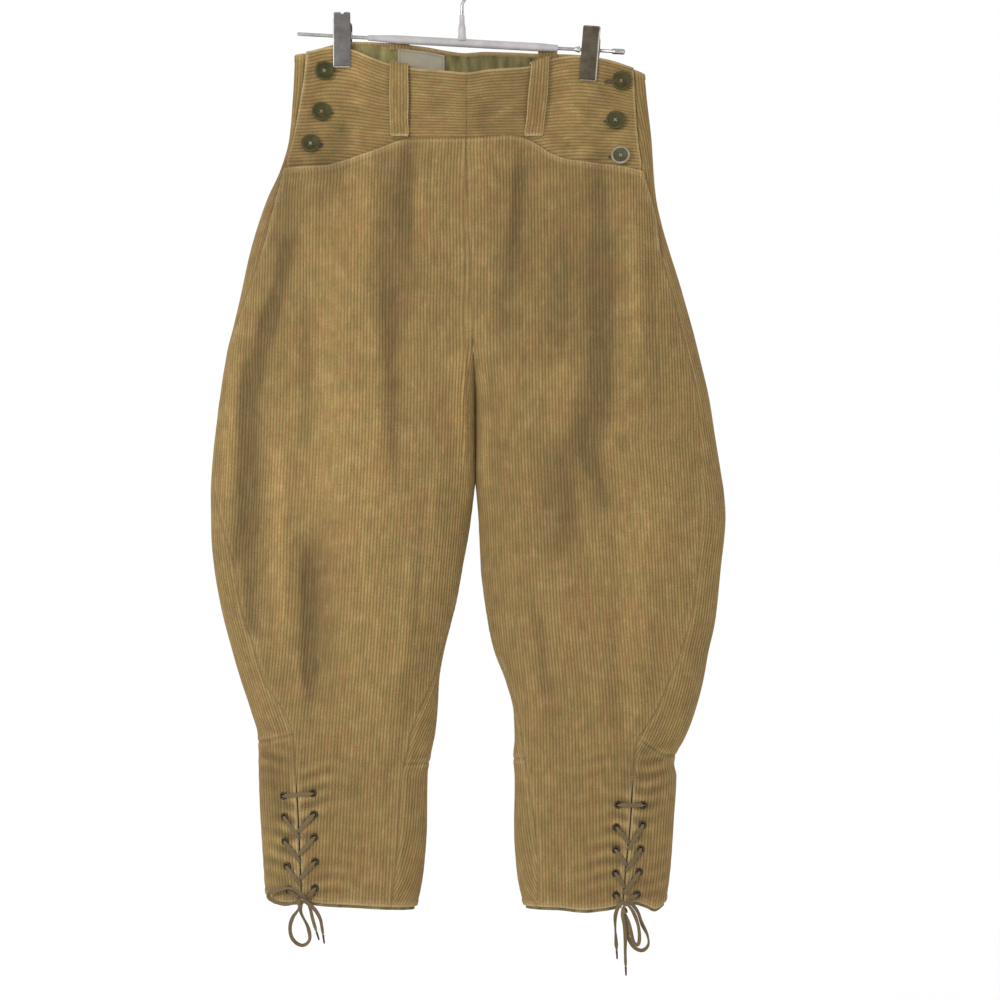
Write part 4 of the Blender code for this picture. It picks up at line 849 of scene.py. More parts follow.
def edge_profile(distance: Array, folded: Number, seamed: Number) -> Array:
    """Height of cloth near an edge.

    Args:
        distance: from the edge.
        folded: 1 where the edge is turned in and topstitched.
        seamed: 1 where it is sewn to its neighbour.

    Returns:
        How far the cloth stands out.
    """
    fold = 0.5 * (1 - ease(distance, STITCH_IN - 0.8, STITCH_IN + 1.2)) - 0.45 * bump(distance - STITCH_IN, 0.9)
    fold = fold - 0.9 * np.clip(1 - distance / 1.4, 0, 1) ** 2
    seam = 0.3 * bump(distance - 4.4, 1.7) - 1.05 * np.clip(1 - distance / 2.6, 0, 1) ** 2
    return folded * fold + seamed * seam


def edge_wear(distance: Array) -> Array:
    """How pale the rim of a fold is rubbed."""
    return 1 - ease(distance, 0.8, 3.4)


def pucker(distance: Array, run: Array, seamed: Number) -> Array:
    """Small ripples beside a line of stitching, by distance from it and the run along it."""
    wave = np.sin(run / 5.1) + 0.7 * np.sin(run / 2.9 + 1.3) + 0.5 * np.sin(run / 9.7 + 0.4)
    return 0.16 * seamed * wave * bump(distance - 3.6, 4.4)


def unevenness(x: Array, drop: Array) -> Array:
    """The soft lie of worn cloth, which is never quite flat."""
    wave = np.sin(x / 17 + drop / 61) + np.sin(x / 29 - drop / 43 + 1.9) + np.sin(drop / 37 + x / 83 + 0.7)
    fine = np.sin(x / 8.3 + drop / 27 + 2.1) * np.sin(drop / 23 - x / 31)
    return 0.22 * wave + 0.2 * fine


def drawn_in(x: Array, drop: Array) -> Array:
    """Level wrinkles where the lace draws the cloth in."""
    level = np.sin(drop / 2.3 + 1.5 * np.sin(x / 11.0 + 0.7) + 0.8 * np.sin(drop / 31.0))
    return 0.6 * level * (0.55 + 0.45 * np.sin(x / 13.0 + drop / 19.0))


def rumple(x: Array, drop: Array) -> Array:
    """Short wrinkles of cloth that is sewn on all sides or laced."""
    slant = np.sin(x / 6.1 + drop / 9.3 + 1.4 * np.sin(drop / 15.0)) * np.sin(drop / 12.0 - x / 21.0)
    level = np.sin(drop / 4.3 + 1.7 * np.sin(x / 13.0)) * np.sin(x / 9.0 + 0.8)
    return 0.3 * slant + 0.2 * level


def inside_seam(drop: Array, above: float) -> Array:
    """How far the inside seam draws in: above at the body, nothing where the legs touch, then more."""
    return above * (1 - ease(drop, 415, 450)) + 0.6 * ease(drop, 560, 640)


def edge_steps(spread: Array) -> tuple[Array, Array, Array]:
    """Lines across a panel: close ones along two opposite edges, and others spread between.

    Args:
        spread: share of the way across for each of the others.

    Returns:
        Each line's share of the way across, and its distance in from the first edge and the last.
    """
    close, far = np.zeros(len(EDGE_ROWS)), np.full(len(spread) + len(EDGE_ROWS), EDGE_ROWS[-1])
    share = np.concatenate([close, spread, close + 1])
    return share, np.concatenate([EDGE_ROWS, far]), np.concatenate([far, EDGE_ROWS[::-1]])


def each_wale(count: int) -> Array:
    """For each line of the outer side, the line in a wale's furrow that the smooth inner side has."""
    nearest = np.rint(np.arange(count) / STEPS_PER_WALE).astype(int) * STEPS_PER_WALE
    return np.clip(nearest, 0, count - 1)


Edges = dict[str, tuple[Number, Number]]


@dataclass
class LaidPanel:
    """A corduroy panel laid on a leg, with every wale of its outer side.

    Its columns run along the wales, four to a wale, and its rows across them. In its methods x, girth
    and drop are grids of places on the leg.
    """

    form: LegForm
    name: str
    seed: float
    rows_apart: float = 6.5
    laced_rows_apart: float = 2.8
    laced_from: float = 780.0
    high: float = 80.0
    low: float = 970.0

    def sides(self, drop: Array) -> tuple[Array, Array, Array]:
        """Girths of the edge nearer the centre front, the other edge, and the wale that lies straight."""
        raise NotImplementedError

    def ends(self, x: Array, girth: Array, drop: Array) -> tuple[Array, Array]:
        """Drops of the upper and the lower edge."""
        raise NotImplementedError

    def edges(self, x: Array, drop: Array) -> Edges:
        """How far each edge is folded and seamed: for the start, end, top and bottom."""
        raise NotImplementedError

    def face_offset(self, girth: Array, drop: Array) -> Array:
        """How far the cloth lies out of the leg's surface, apart from its edges."""
        return np.zeros(girth.shape)

    def pressed(self, x: Array, drop: Array) -> Array:
        """1 where the pile is pressed flat."""
        return np.zeros(x.shape)

    def row_shares(self) -> Array:
        """How far down the panel each row lies that is clear of its edges, closer where it is laced."""
        down = np.linspace(self.high, self.low, 1500)
        closer = np.where(down > self.laced_from, self.laced_rows_apart, self.rows_apart)
        counted = np.cumsum((down[1] - down[0]) / closer)
        even = np.linspace(0, counted[-1], int(counted[-1]) + 2)
        return np.interp(even, counted, np.linspace(0, 1, len(down)))[1:-1]

    def lay(self) -> tuple[Array, Array, Array, Array]:
        """Finds where every column crosses every row.

        Returns:
            Column numbers, girths, drops, and the four edge distances as one array.
        """
        start, end, origin = self.sides(np.linspace(self.high, self.low, 90))
        first = int(math.floor((start - origin).min() / WALE)) * STEPS_PER_WALE
        last = int(math.ceil((end - origin).max() / WALE)) * STEPS_PER_WALE
        number = np.arange(first, last + 1)
        share, from_top, from_bottom = (steps[:, None] for steps in edge_steps(self.row_shares()))
        drop = np.broadcast_to(self.high + (self.low - self.high) * share, (len(share), len(number)))
        for _ in range(5):
            start, end, origin = self.sides(drop)
            girth = np.clip(origin + number * (WALE / STEPS_PER_WALE), start, end)
            top, bottom = self.ends(self.form.x_at(girth, drop), girth, drop)
            drop = (top + from_top) * (1 - share) + (bottom - from_bottom) * share
        start, end, _ = self.sides(drop)
        distances = np.array([girth - start, end - girth, drop - top, bottom - drop])
        return number, girth, drop, np.clip(distances, 0, None)

    def close_centre(self, points: Array, drop: Array) -> None:
        """Draws points beside the body's centre seam onto it, so that no gap shows."""
        across = points[..., 0] - BODY_CENTRE
        shut = (1 - ease(np.abs(across), 0.8, 4.0)) * (1 - ease(drop, CROTCH + 30, CROTCH + 60))
        points[..., 0] = BODY_CENTRE + across * (1 - shut) + 0.03 * self.form.way * shut

    def shading(self, x: Array, girth: Array, drop: Array, laced: Array, drawn: Array) -> Array:
        """Painted shade and highlight in the cloth's colour: how far folds, creases and wrinkles darken it where
        negative, or lighten it, with more painted shade beside the laced slit.
        """
        front, back = self.form.front_length(drop), self.form.back_length(drop)
        rear = ((girth > front) & (girth < front + back)).astype(float)
        folds = [
            folds_at(FOLDS[face], x, drop) / FOLD_SHADE + folds_at(CREASES[face], x, drop) / CREASE_SHADE
            for face in Face
        ]
        return folds[0] * (1 - rear) + folds[1] * rear + 2.0 * drawn - 0.4 * laced + 0.35 * rumple(x, drop)

    def mesh(self) -> Mesh:
        """The panel's wall, with its attributes."""
        number, girth, drop, distances = self.lay()
        x = self.form.x_at(girth, drop)
        wale = np.broadcast_to(WALE_HEIGHTS[number % STEPS_PER_WALE], girth.shape)
        pressed = self.pressed(x, drop)
        sides, ends = np.minimum(distances[0], distances[1]), np.minimum(distances[2], distances[3])
        inner_offset = self.face_offset(girth, drop) - CLOTH_IN
        offset = inner_offset + wale * (1 - 0.8 * pressed) * ease(sides, 0, 1.6) * (0.45 + 0.55 * ease(ends, 0, 0.9))
        offset = offset + unevenness(x, drop) * ease(np.minimum(sides, ends), 4, 25)
        laced = bump(girth - self.form.side_at(drop), 40.0) * ease(drop, 775, 815) * (1 - ease(drop, 935, 950))
        drawn = drawn_in(x, drop) * laced * ease(sides, 0, 4)
        offset = offset + drawn
        worn = np.zeros(x.shape)
        for key, distance in zip(("start", "end", "top", "bottom"), distances):
            folded, seamed = self.edges(x, drop)[key]
            run = girth if key in ("top", "bottom") else drop
            offset = offset + edge_profile(distance, folded, seamed)
            offset = offset + pucker(distance, run, seamed + 0.7 * folded)
            worn = np.maximum(worn, folded * edge_wear(distance) + 0.35 * folded * bump(distance - 4.2, 1.6))
            worn = np.maximum(worn, 0.45 * seamed * bump(distance - 3.4, 1.3))
        q = self.form.q_of(girth, drop)
        furrow = each_wale(len(number))
        outer = self.form.place(q, drop, offset)
        inner = self.form.place(q, drop, inner_offset - CLOTH)[:, furrow]
        self.close_centre(outer, drop)
        self.close_centre(inner, drop[:, furrow])
        # Painted shade of folds, wrinkles and the laced slit, and painted highlight on ridges, as the third state
        # number.
        painted_fold_shade = self.shading(x, girth, drop, laced, drawn)
        marks = marks_of(girth.shape, (number / STEPS_PER_WALE, drop, self.seed), (pressed, worn, painted_fold_shade))
        return wall_mesh(self.name, outer, inner, marks, {key: value[:, furrow] for key, value in marks.items()})

    def flat_area(self) -> tuple[float, float, float]:
        """Width, length and area of the cut piece in metres and square metres."""
        levels = np.linspace(self.high, self.low, 200)
        start, end, _ = self.sides(levels)
        middle = (start + end) / 2
        top, bottom = self.ends(self.form.x_at(middle, levels), middle, levels)
        inside = (levels > top) & (levels < bottom)
        widths = (end - start)[inside]
        length = (self.low - self.high) / len(levels) * inside.sum() * MM
        return float(widths.max()) * MM, length, float(widths.mean()) * MM * length


@dataclass
class FrontPanel(LaidPanel):
    """Front of a leg, from its scooped top edge to the hem."""

    high: float = 184.0
    low: float = 960.0

    def sides(self, drop: Array) -> tuple[Array, Array, Array]:
        """The centre and inside-leg seams, the placket, side seam and slit, and the wale that hangs straight."""
        start, end = self.form.inside_at(drop) + SEAM_GAP / 2, self.form.side_at(drop) - slit_gap(drop)
        return start, end, self.form.girth_of("grain", drop)

    def ends(self, x: Array, girth: Array, drop: Array) -> tuple[Array, Array]:
        """The scooped edge, which lies folded over the yoke outside the middle, and the hem."""
        return along(PANEL_TOP, x) + SEAM_GAP / 2, along(HEM[self.form.side], x)

    def edges(self, x: Array, drop: Array) -> Edges:
        """Folded at the pocket edge, placket, slit and hem, and seamed elsewhere."""
        pocket = ease(np.abs(x - BODY_CENTRE), 52.0, 66.0)
        open_side = np.maximum(1 - ease(drop, PLACKET_SHUT - 12, SEAM_START), ease(drop, SLIT_TOP, SLIT_OPEN))
        side = (open_side, 0.5 * (1 - open_side))
        return {"start": (0.0, inside_seam(drop, 0.4)), "end": side, "top": (pocket, 1 - pocket), "bottom": (1.0, 0.0)}

    def pressed(self, x: Array, drop: Array) -> Array:
        """The long light band down the right leg, and a fainter one down the left."""
        share = (drop - 247) / 500
        if self.form.side is Side.RIGHT:
            band = bump(x + 122 + 14 * share, 11.0)
            return 0.8 * band * ease(drop, 225, 300) * (1 - ease(drop, 640, 790))
        band = bump(x - 160 - 10 * share, 10.0)
        return 0.35 * band * ease(drop, 240, 330) * (1 - ease(drop, 600, 740))


@dataclass
class BackPanel(LaidPanel):
    """Back of a leg, from the waist to the knee seam, with its lap under the front."""

    high: float = 90.0
    low: float = 806.0

    def sides(self, drop: Array) -> tuple[Array, Array, Array]:
        """The lap's edge and side seam, the centre and inside-leg seams, and the outer edge."""
        shut = ease(drop, PLACKET_SHUT - 1, SEAM_START)
        start = self.form.side_at(drop) - BACK_LAP * (1 - shut) + SEAM_GAP / 2 * shut
        return start, self.form.round_at(drop) - SEAM_GAP / 2, self.form.front_length(drop)

    def ends(self, x: Array, girth: Array, drop: Array) -> tuple[Array, Array]:
        """The waist edge and the knee seam."""
        past = ease(girth - self.form.front_length(drop), -3, 3)
        top = (along(FRONT_WAIST, x) + 1.5) * (1 - past) + along(BACK_WAIST, x) * past
        return top, self.form.knee_drop(girth, drop) + 0.15

    def face_offset(self, girth: Array, drop: Array) -> Array:
        """It dives under the yoke and the front panel at the opening."""
        hidden = 1 - ease(girth - self.form.side_at(drop), -4.5, 4.5)
        depth = 2 * SOLID_CLOTH + 0.9 + 1.7 * ease(drop, 130, 200)
        return -depth * hidden * (1 - ease(drop, PLACKET_SHUT, SEAM_START))

    def edges(self, x: Array, drop: Array) -> Edges:
        """Folded at the waist, and seamed at the sides and the knee."""
        side = (0.0, 0.5 * ease(drop, PLACKET_SHUT, SEAM_START))
        return {"start": side, "end": (0.0, inside_seam(drop, 0.8)), "top": (1.0, 0.0), "bottom": (0.0, 0.7)}


@dataclass
class CalfPanel(LaidPanel):
    """Lower back of a leg, from the slit round to the inside seam."""

    high: float = 790.0
    low: float = 960.0

    def sides(self, drop: Array) -> tuple[Array, Array, Array]:
        """The slit's edge, the inside-leg seam, and the outer edge."""
        start, end = self.form.side_at(drop) + slit_gap(drop), self.form.round_at(drop) - SEAM_GAP / 2
        return start, end, self.form.front_length(drop)

    def ends(self, x: Array, girth: Array, drop: Array) -> tuple[Array, Array]:
        """The knee seam and the hem."""
        return self.form.knee_drop(girth, drop) - 0.15, along(HEM[self.form.side], x)

    def edges(self, x: Array, drop: Array) -> Edges:
        """Folded at the slit and the hem, and seamed at the knee and inside."""
        opened = ease(drop, SLIT_TOP, SLIT_OPEN)
        return {"start": (opened, 0.5 * (1 - opened)), "end": (0.0, 0.6), "top": (0.0, 0.7), "bottom": (1.0, 0.0)}


@dataclass
class Yoke:
    """Front yoke, whose wales run across. Its rows follow the wales, four to a wale."""

    form: LegForm
    name: str
    seed: float
    line_count: int = 148
    width: float = 160.0
    columns_apart: float = 5.5
    settled: float = 110.0

    def mesh(self) -> Mesh:
        """The yoke's wall, with its attributes."""
        number = np.arange(0, self.line_count)
        down = (number * (WALE / STEPS_PER_WALE))[:, None]
        between = int((self.width - 2 * EDGE_ROWS[-1]) / self.columns_apart)
        share, from_start, from_end = edge_steps(np.linspace(0, 1, between + 2)[1:-1])
        drop = np.broadcast_to(self.settled + down, (len(number), len(share)))
        start = SEAM_GAP / 2
        for _ in range(6):
            end = self.form.side_at(drop)
            girth = (start + from_start) * (1 - share) + (end - from_end) * share
            x = self.form.x_at(girth, drop)
            top, seam = along(FRONT_WAIST, x), along(PANEL_TOP, x) - SEAM_GAP / 2
            lower = seam + YOKE_LAP * ease(np.abs(x - BODY_CENTRE), 62.0, 80.0)
            follow = 1 - 0.75 * ease(down, 0, 80)
            free = self.settled + down + (top - self.settled) * follow
            drop = np.minimum(np.maximum(free, top), lower)
        tucked = ease(np.abs(x - BODY_CENTRE), 40.0, 58.0)
        dive = -(SOLID_CLOTH + 1.1) * tucked * ease(drop, seam - 9, seam - 1)
        from_top, from_low, from_centre, from_side = drop - top, lower - drop, girth - start, end - girth
        ends, sides = np.minimum(from_top, from_low), np.minimum(from_centre, from_side)
        wale = np.broadcast_to(WALE_HEIGHTS[number % STEPS_PER_WALE][:, None], drop.shape)
        offset = dive - CLOTH_IN + 0.8 * wale * ease(ends, 0, 1.6) * (0.45 + 0.55 * ease(sides, 0, 0.9))
        lying = unevenness(x, drop) + rumple(x, drop) * (0.6 + 0.7 * ease(np.abs(x - BODY_CENTRE), 60, 110))
        offset = offset + lying * ease(np.minimum(sides, ends), 3, 18)
        offset = offset + edge_profile(from_top, 1.0, 0.0) + edge_profile(from_low, 0.0, 1 - tucked)
        offset = offset + edge_profile(from_side, 1.0, 0.0) + edge_profile(from_centre, 0.0, 0.45)
        offset = offset + pucker(from_low, girth, 1 - tucked)
        q = self.form.q_of(girth, drop)
        worn = np.maximum(edge_wear(from_top), edge_wear(from_side))
        # Painted shade of the yoke's creases and wrinkles, and painted highlight on their ridges, as the third state
        # number.
        painted_fold_shade = folds_at(CREASES[Face.FRONT], x, drop) / CREASE_SHADE + 0.9 * lying
        marks = marks_of(drop.shape, (down / WALE, girth, self.seed), (0, worn, painted_fold_shade))
        furrow = each_wale(len(number))
        outer = self.form.place(q, drop, offset)
        inner = self.form.place(q, drop, dive - CLOTH_IN - CLOTH)[furrow]
        return wall_mesh(self.name, outer, inner, marks, {key: value[furrow] for key, value in marks.items()})


Socket = bpy.types.NodeSocket
Colour = tuple[float, float, float, float]
Value = Socket | float


def linear(red: float, green: float, blue: float) -> Colour:
    """A linear colour from screen values of 0 to 255."""
    scaled = [value / 255 for value in (red, green, blue)]
    made = [v / 12.92 if v <= 0.04045 else ((v + 0.055) / 1.055) ** 2.4 for v in scaled]
    return (made[0], made[1], made[2], 1.0)


class Nodes:
    """Builds one material's node tree."""

    def __init__(self, name: str) -> None:
        """Starts a material with a bare Principled shader."""
        self.material = bpy.data.materials.new(name)
        self.material.use_nodes = True
        self.tree = self.material.node_tree
        self.shader = self.tree.nodes["Principled BSDF"]

    def put(self, target: Socket, value: Value | Sequence[float]) -> None:
        """Links a socket to an input, or sets the input's value."""
        if isinstance(value, bpy.types.NodeSocket):
            self.tree.links.new(value, target)
        else:
            target.default_value = value

    def new(self, kind: str, inputs: dict | Sequence = (), **settings: str | bool) -> bpy.types.Node:
        """A node of a kind, with its settings and the values of its first or named inputs."""
        node = self.tree.nodes.new("ShaderNode" + kind)
        for key, value in settings.items():
            setattr(node, key, value)
        named = inputs.items() if isinstance(inputs, dict) else enumerate(inputs)
        for key, value in named:
            self.put(node.inputs[key], value)
        return node

    def constant(self, **values: float | Colour) -> None:
        """Sets the shader's own sockets, named with _ for a space."""
        for key, value in values.items():
            self.shader.inputs[key.replace("_", " ")].default_value = value

    def attribute(self, name: str) -> list[Socket]:
        """The three numbers of a vector attribute."""
        vector = self.new("Attribute", attribute_name=name).outputs["Vector"]
        return list(self.new("SeparateXYZ", [vector]).outputs)

    def join(self, x: Value, y: Value, z: Value = 0.0) -> Socket:
        """A vector of three numbers."""
        return self.new("CombineXYZ", [x, y, z]).outputs[0]

    def place(self) -> Socket:
        """Object coordinates, in metres."""
        return self.new("TexCoord").outputs["Object"]

    def math(self, operation: str, first: Value, second: Value = 0.0, clamp: bool = False) -> Socket:
        """One sum of two numbers, named as Blender names it."""
        return self.new("Math", [first, second], operation=operation, use_clamp=clamp).outputs[0]

    def add(self, first: Value, second: Value, clamp: bool = False) -> Socket:
        """Two numbers added."""
        return self.math("ADD", first, second, clamp)

    def times(self, *values: Value) -> Socket:
        """Numbers multiplied."""
        made = values[0]
        for value in values[1:]:
            made = self.math("MULTIPLY", made, value)
        return made

    def sine(self, value: Value, turns: float) -> Socket:
        """The sine of a number times turns."""
        return self.math("SINE", self.times(value, turns))

    def ribs(self, value: Socket) -> Socket:
        """A rounded rib from each whole number to the next."""
        return self.sine(self.math("FRACT", value), math.pi)

    def scaled(self, value: Socket, low: float, high: float, to_low: float, to_high: float) -> Socket:
        """value moved from one range to another, held inside it."""
        return self.new("MapRange", [value, low, high, to_low, to_high]).outputs[0]

    def level(self, value: Socket, part: float, low: float = 0.25) -> Socket:
        """Noise as a brightness that swings by part on either side of 1."""
        return self.scaled(value, low, 1 - low, 1 - part, 1 + part)

    def noise(self, vector: Socket, scale: float, detail: float = 2.0, rough: float = 0.5) -> Socket:
        """Noise between 0 and 1."""
        inputs = {"Vector": vector, "Scale": scale, "Detail": detail, "Roughness": rough}
        return self.new("TexNoise", inputs).outputs["Fac"]

    def stretch(self, vector: Socket, scale: tuple[float, float, float]) -> Socket:
        """A vector scaled along its axes by a Mapping node."""
        return self.new("Mapping", {"Vector": vector, "Scale": scale}).outputs["Vector"]

    def mix(self, share: Value, first: Socket | Colour, second: Socket | Colour, blend: str = "MIX") -> Socket:
        """Two colours mixed by share."""
        inputs = {0: share, 6: first, 7: second}
        return self.new("Mix", inputs, data_type="RGBA", blend_type=blend, clamp_factor=True).outputs[2]

    def shade(self, colour: Socket, amount: Socket) -> Socket:
        """A colour made darker or lighter by amount."""
        return self.mix(1.0, colour, self.join(amount, amount, amount), "MULTIPLY")

    def relief(self, height: Socket, strength: float, distance: float) -> None:
        """Bump from a height, of distance metres."""
        node = self.new("Bump", {"Strength": strength, "Distance": distance, "Height": height})
        self.put(self.shader.inputs["Normal"], node.outputs["Normal"])

    def paint(self, colour: Socket, roughness: Value) -> bpy.types.Material:
        """Gives the shader its colour and roughness, and returns the finished material."""
        self.put(self.shader.inputs["Base Color"], colour)
        self.put(self.shader.inputs["Roughness"], roughness)
        return self.material


@dataclass(frozen=True)
class Corduroy:
    """Wide-wale cotton corduroy, faded and rubbed."""

    ridge: Colour = linear(136, 113, 69)
    # The furrows' colour paints the shade that falls between the wales.
    furrow_shade: Colour = linear(100, 80, 43)
    rust: Colour = linear(130, 90, 58)
    olive: Colour = linear(104, 94, 50)
    pale: Colour = linear(168, 145, 104)

    def material(self) -> bpy.types.Material:
        """The cloth, from the weave and state attributes."""
        nodes = Nodes("worn_corduroy")
        wale, run, seed = nodes.attribute("weave")
        # The state attribute holds pressed pile, real wear, and the painted shade and highlight of folds.
        pressed, worn, painted_fold_shade = nodes.attribute("state")
        place = nodes.place()
        hill = nodes.math("POWER", nodes.ribs(wale), 0.75)

        def threads(across: Socket, along_it: float, detail: float, rough: float = 0.5) -> Socket:
            """Noise drawn out along the wales."""
            return nodes.noise(nodes.join(across, nodes.times(run, along_it), seed), 1.0, detail, rough)

        def clouds(shape: tuple[float, float, float], scale: float, detail: float, rough: float) -> Socket:
            """Noise over the whole garment."""
            return nodes.noise(nodes.stretch(place, shape), scale, detail, rough)

        streak = threads(nodes.times(nodes.math("FLOOR", wale), 0.83), 0.05, 2.0)
        pile = nodes.noise(place, 1400.0, 2.0, 0.7)
        tuft = threads(nodes.times(wale, 1.8), 0.55, 3.0, 0.7)
        # Furrows take the painted shade by the wale's profile, and pressed pile, flattened, loses it.
        even = nodes.times(nodes.math("SUBTRACT", 0.5, hill), nodes.times(pressed, 0.8))
        colour = nodes.mix(nodes.add(hill, even, True), self.furrow_shade, self.ridge)
        tint = threads(nodes.times(wale, 0.7), 0.07, 2.0)
        colour = nodes.mix(nodes.scaled(tint, 0.5, 0.75, 0.0, 0.42), colour, self.rust)
        colour = nodes.mix(nodes.scaled(tint, 0.5, 0.25, 0.0, 0.42), colour, self.olive)
        rusty = nodes.scaled(clouds((1.2, 1.2, 0.6), 30.0, 3.0, 0.6), 0.5, 0.74, 0.0, 0.34)
        colour = nodes.mix(rusty, colour, self.rust)
        green = nodes.scaled(clouds((1.3, 1.3, 0.5), 31.0, 3.0, 0.55), 0.54, 0.74, 0.0, 0.28)
        colour = nodes.mix(green, colour, self.olive)
        patches = nodes.scaled(nodes.noise(place, 62.0, 4.0, 0.6), 0.52, 0.75, 0.0, 0.32)
        rubbed = nodes.add(nodes.times(worn, 0.7), nodes.times(patches, hill), True)
        colour = nodes.mix(rubbed, colour, self.pale)
        light = nodes.times(nodes.level(streak, 0.16), nodes.level(tuft, 0.22), nodes.level(pile, 0.08))
        # Painted shade in the folds' troughs and painted highlight on their ridges.
        light = nodes.times(light, nodes.scaled(painted_fold_shade, -1.3, 1.3, 0.56, 1.2))
        mottling = (((1, 1, 1), 7.0, 0.04), ((1, 1, 0.3), 55.0, 0.06), ((0.35, 0.35, 1.6), 70.0, 0.05))
        for shape, scale, part in mottling:
            light = nodes.times(light, nodes.level(clouds(shape, scale, 3.0, 0.5), part, 0.3))
        colour = nodes.shade(colour, light)
        nodes.constant(Sheen_Weight=0.22, Sheen_Roughness=0.45, Sheen_Tint=linear(226, 208, 170))
        nodes.constant(Specular_IOR_Level=0.25)
        nodes.relief(nodes.add(nodes.times(tuft, 0.6), nodes.times(pile, 0.4)), 0.55, 0.0005)
        return nodes.paint(colour, nodes.scaled(hill, 0.0, 1.0, 0.95, 0.82))


@dataclass(frozen=True)
class Twill:
    """Cotton twill with diagonal ribs, for the facing and the hem tape."""

    name: str
    rib: Colour
    furrow: Colour
    pitch: float = 1.1

    def material(self) -> bpy.types.Material:
        """The cloth, from the weave attribute in millimetres."""
        nodes = Nodes(self.name)
        across, down, _ = nodes.attribute("weave")
        rib = nodes.ribs(nodes.math("DIVIDE", nodes.add(across, down), self.pitch))
        place = nodes.place()
        yarn = nodes.noise(nodes.stretch(place, (1.0, 1.0, 3.0)), 900.0, 2.0, 0.6)
        faded = nodes.noise(nodes.stretch(place, (1.0, 1.0, 0.25)), 120.0, 3.0)
        colour = nodes.mix(rib, self.furrow, self.rib)
        light = nodes.times(nodes.level(yarn, 0.14), nodes.level(faded, 0.5, 0.3))
        nodes.constant(Sheen_Weight=0.1, Specular_IOR_Level=0.25)
        nodes.relief(nodes.add(rib, nodes.times(yarn, 0.5)), 0.5, 0.0003)
        return nodes.paint(nodes.shade(colour, light), nodes.scaled(rib, 0.0, 1.0, 0.95, 0.85))


@dataclass(frozen=True)
class WovenLabel:
    """Blank cream satin weave with a border of denser threads."""

    ground: Colour = linear(148, 140, 121)
    border: Colour = linear(122, 114, 94)
    border_in: float = 2.2
    border_half: float = 0.7
    warp_pitch: float = 0.7
    weft_pitch: float = 0.5

    def material(self) -> bpy.types.Material:
        """The label, from the weave attribute: across, down, and distance from the edge."""
        nodes = Nodes("woven_label")
        across, down, edge = nodes.attribute("weave")
        warp = nodes.sine(across, 2 * math.pi / self.warp_pitch)
        weft = nodes.sine(down, 2 * math.pi / self.weft_pitch)
        weave = nodes.scaled(nodes.times(warp, weft), -1.0, 1.0, 0.0, 1.0)
        band = nodes.math("COMPARE", edge, self.border_in)
        band.node.inputs[2].default_value = self.border_half
        stain = nodes.noise(nodes.place(), 90.0, 3.0)
        colour = nodes.mix(nodes.times(band, 0.6), self.ground, self.border)
        light = nodes.times(nodes.scaled(weave, 0.0, 1.0, 0.9, 1.06), nodes.scaled(stain, 0.3, 0.7, 0.9, 1.06))
        nodes.constant(Sheen_Weight=0.15)
        nodes.relief(weave, 0.4, 0.0002)
        return nodes.paint(nodes.shade(colour, light), nodes.scaled(weave, 0.0, 1.0, 0.8, 0.6))


@dataclass(frozen=True)
class Braid:
    """Flat braided cotton of the laces, with chevrons along it."""

    light: Colour = linear(112, 95, 66)
    dark: Colour = linear(74, 61, 40)
    chevron: float = 1.5

    def material(self) -> bpy.types.Material:
        """The braid, from the weave attribute: across from the middle, and along, in millimetres."""
        nodes = Nodes("braided_lace")
        across, run, _ = nodes.attribute("weave")
        slant = nodes.add(run, nodes.math("ABSOLUTE", across))
        plait = nodes.sine(nodes.math("DIVIDE", slant, self.chevron), 2 * math.pi)
        plait = nodes.scaled(plait, -1.0, 1.0, 0.0, 1.0)
        place = nodes.place()
        fuzz = nodes.noise(place, 1500.0, 2.0, 0.7)
        light = nodes.times(nodes.level(fuzz, 0.15), nodes.level(nodes.noise(place, 60.0), 0.12, 0.3))
        nodes.constant(Sheen_Weight=0.2, Specular_IOR_Level=0.2)
        nodes.relief(nodes.add(plait, nodes.times(fuzz, 0.4)), 0.6, 0.0003)
        colour = nodes.shade(nodes.mix(plait, self.dark, self.light), light)
        return nodes.paint(colour, nodes.scaled(plait, 0.0, 1.0, 0.95, 0.85))


@dataclass(frozen=True)
class Grained:
    """A hard or threadlike finish: one colour clouded by another, with fine grain and, where worn is given, wear on
    the buttons' rims and a painted highlight along the clips' edges.
    """

    name: str
    colour: Colour
    cloud: Colour
    rough: tuple[float, float]
    metallic: float = 0.0
    grain: tuple[float, float, float] = (1.0, 1.0, 1.0)
    grain_scale: float = 700.0
    cloud_scale: float = 120.0
    coat: float = 0.0
    sheen: float = 0.0
    specular: float = 0.5
    worn: Colour | None = None

    def material(self) -> bpy.types.Material:
        """The finish, in Object coordinates, with the state attribute's wear on the buttons and painted highlight on
        the clips, where worn is given.
        """
        nodes = Nodes(self.name)
        place = nodes.place()
        fine = nodes.noise(nodes.stretch(place, self.grain), self.grain_scale, 2.0, 0.6)
        clouds = nodes.scaled(nodes.noise(place, self.cloud_scale, 3.0, 0.6), 0.35, 0.68, 0.0, 1.0)
        colour = nodes.mix(clouds, self.colour, self.cloud)
        if self.worn is not None:
            _, worn, _ = nodes.attribute("state")
            colour = nodes.mix(nodes.times(worn, nodes.scaled(clouds, 0.0, 1.0, 1.0, 0.6)), colour, self.worn)
        colour = nodes.shade(colour, nodes.level(fine, 0.07))
        nodes.constant(Metallic=self.metallic, Coat_Weight=self.coat, Sheen_Weight=self.sheen)
        nodes.constant(Specular_IOR_Level=self.specular)
        nodes.relief(fine, 0.35, 0.0001)
        return nodes.paint(colour, nodes.scaled(fine, 0.25, 0.75, *self.rough))


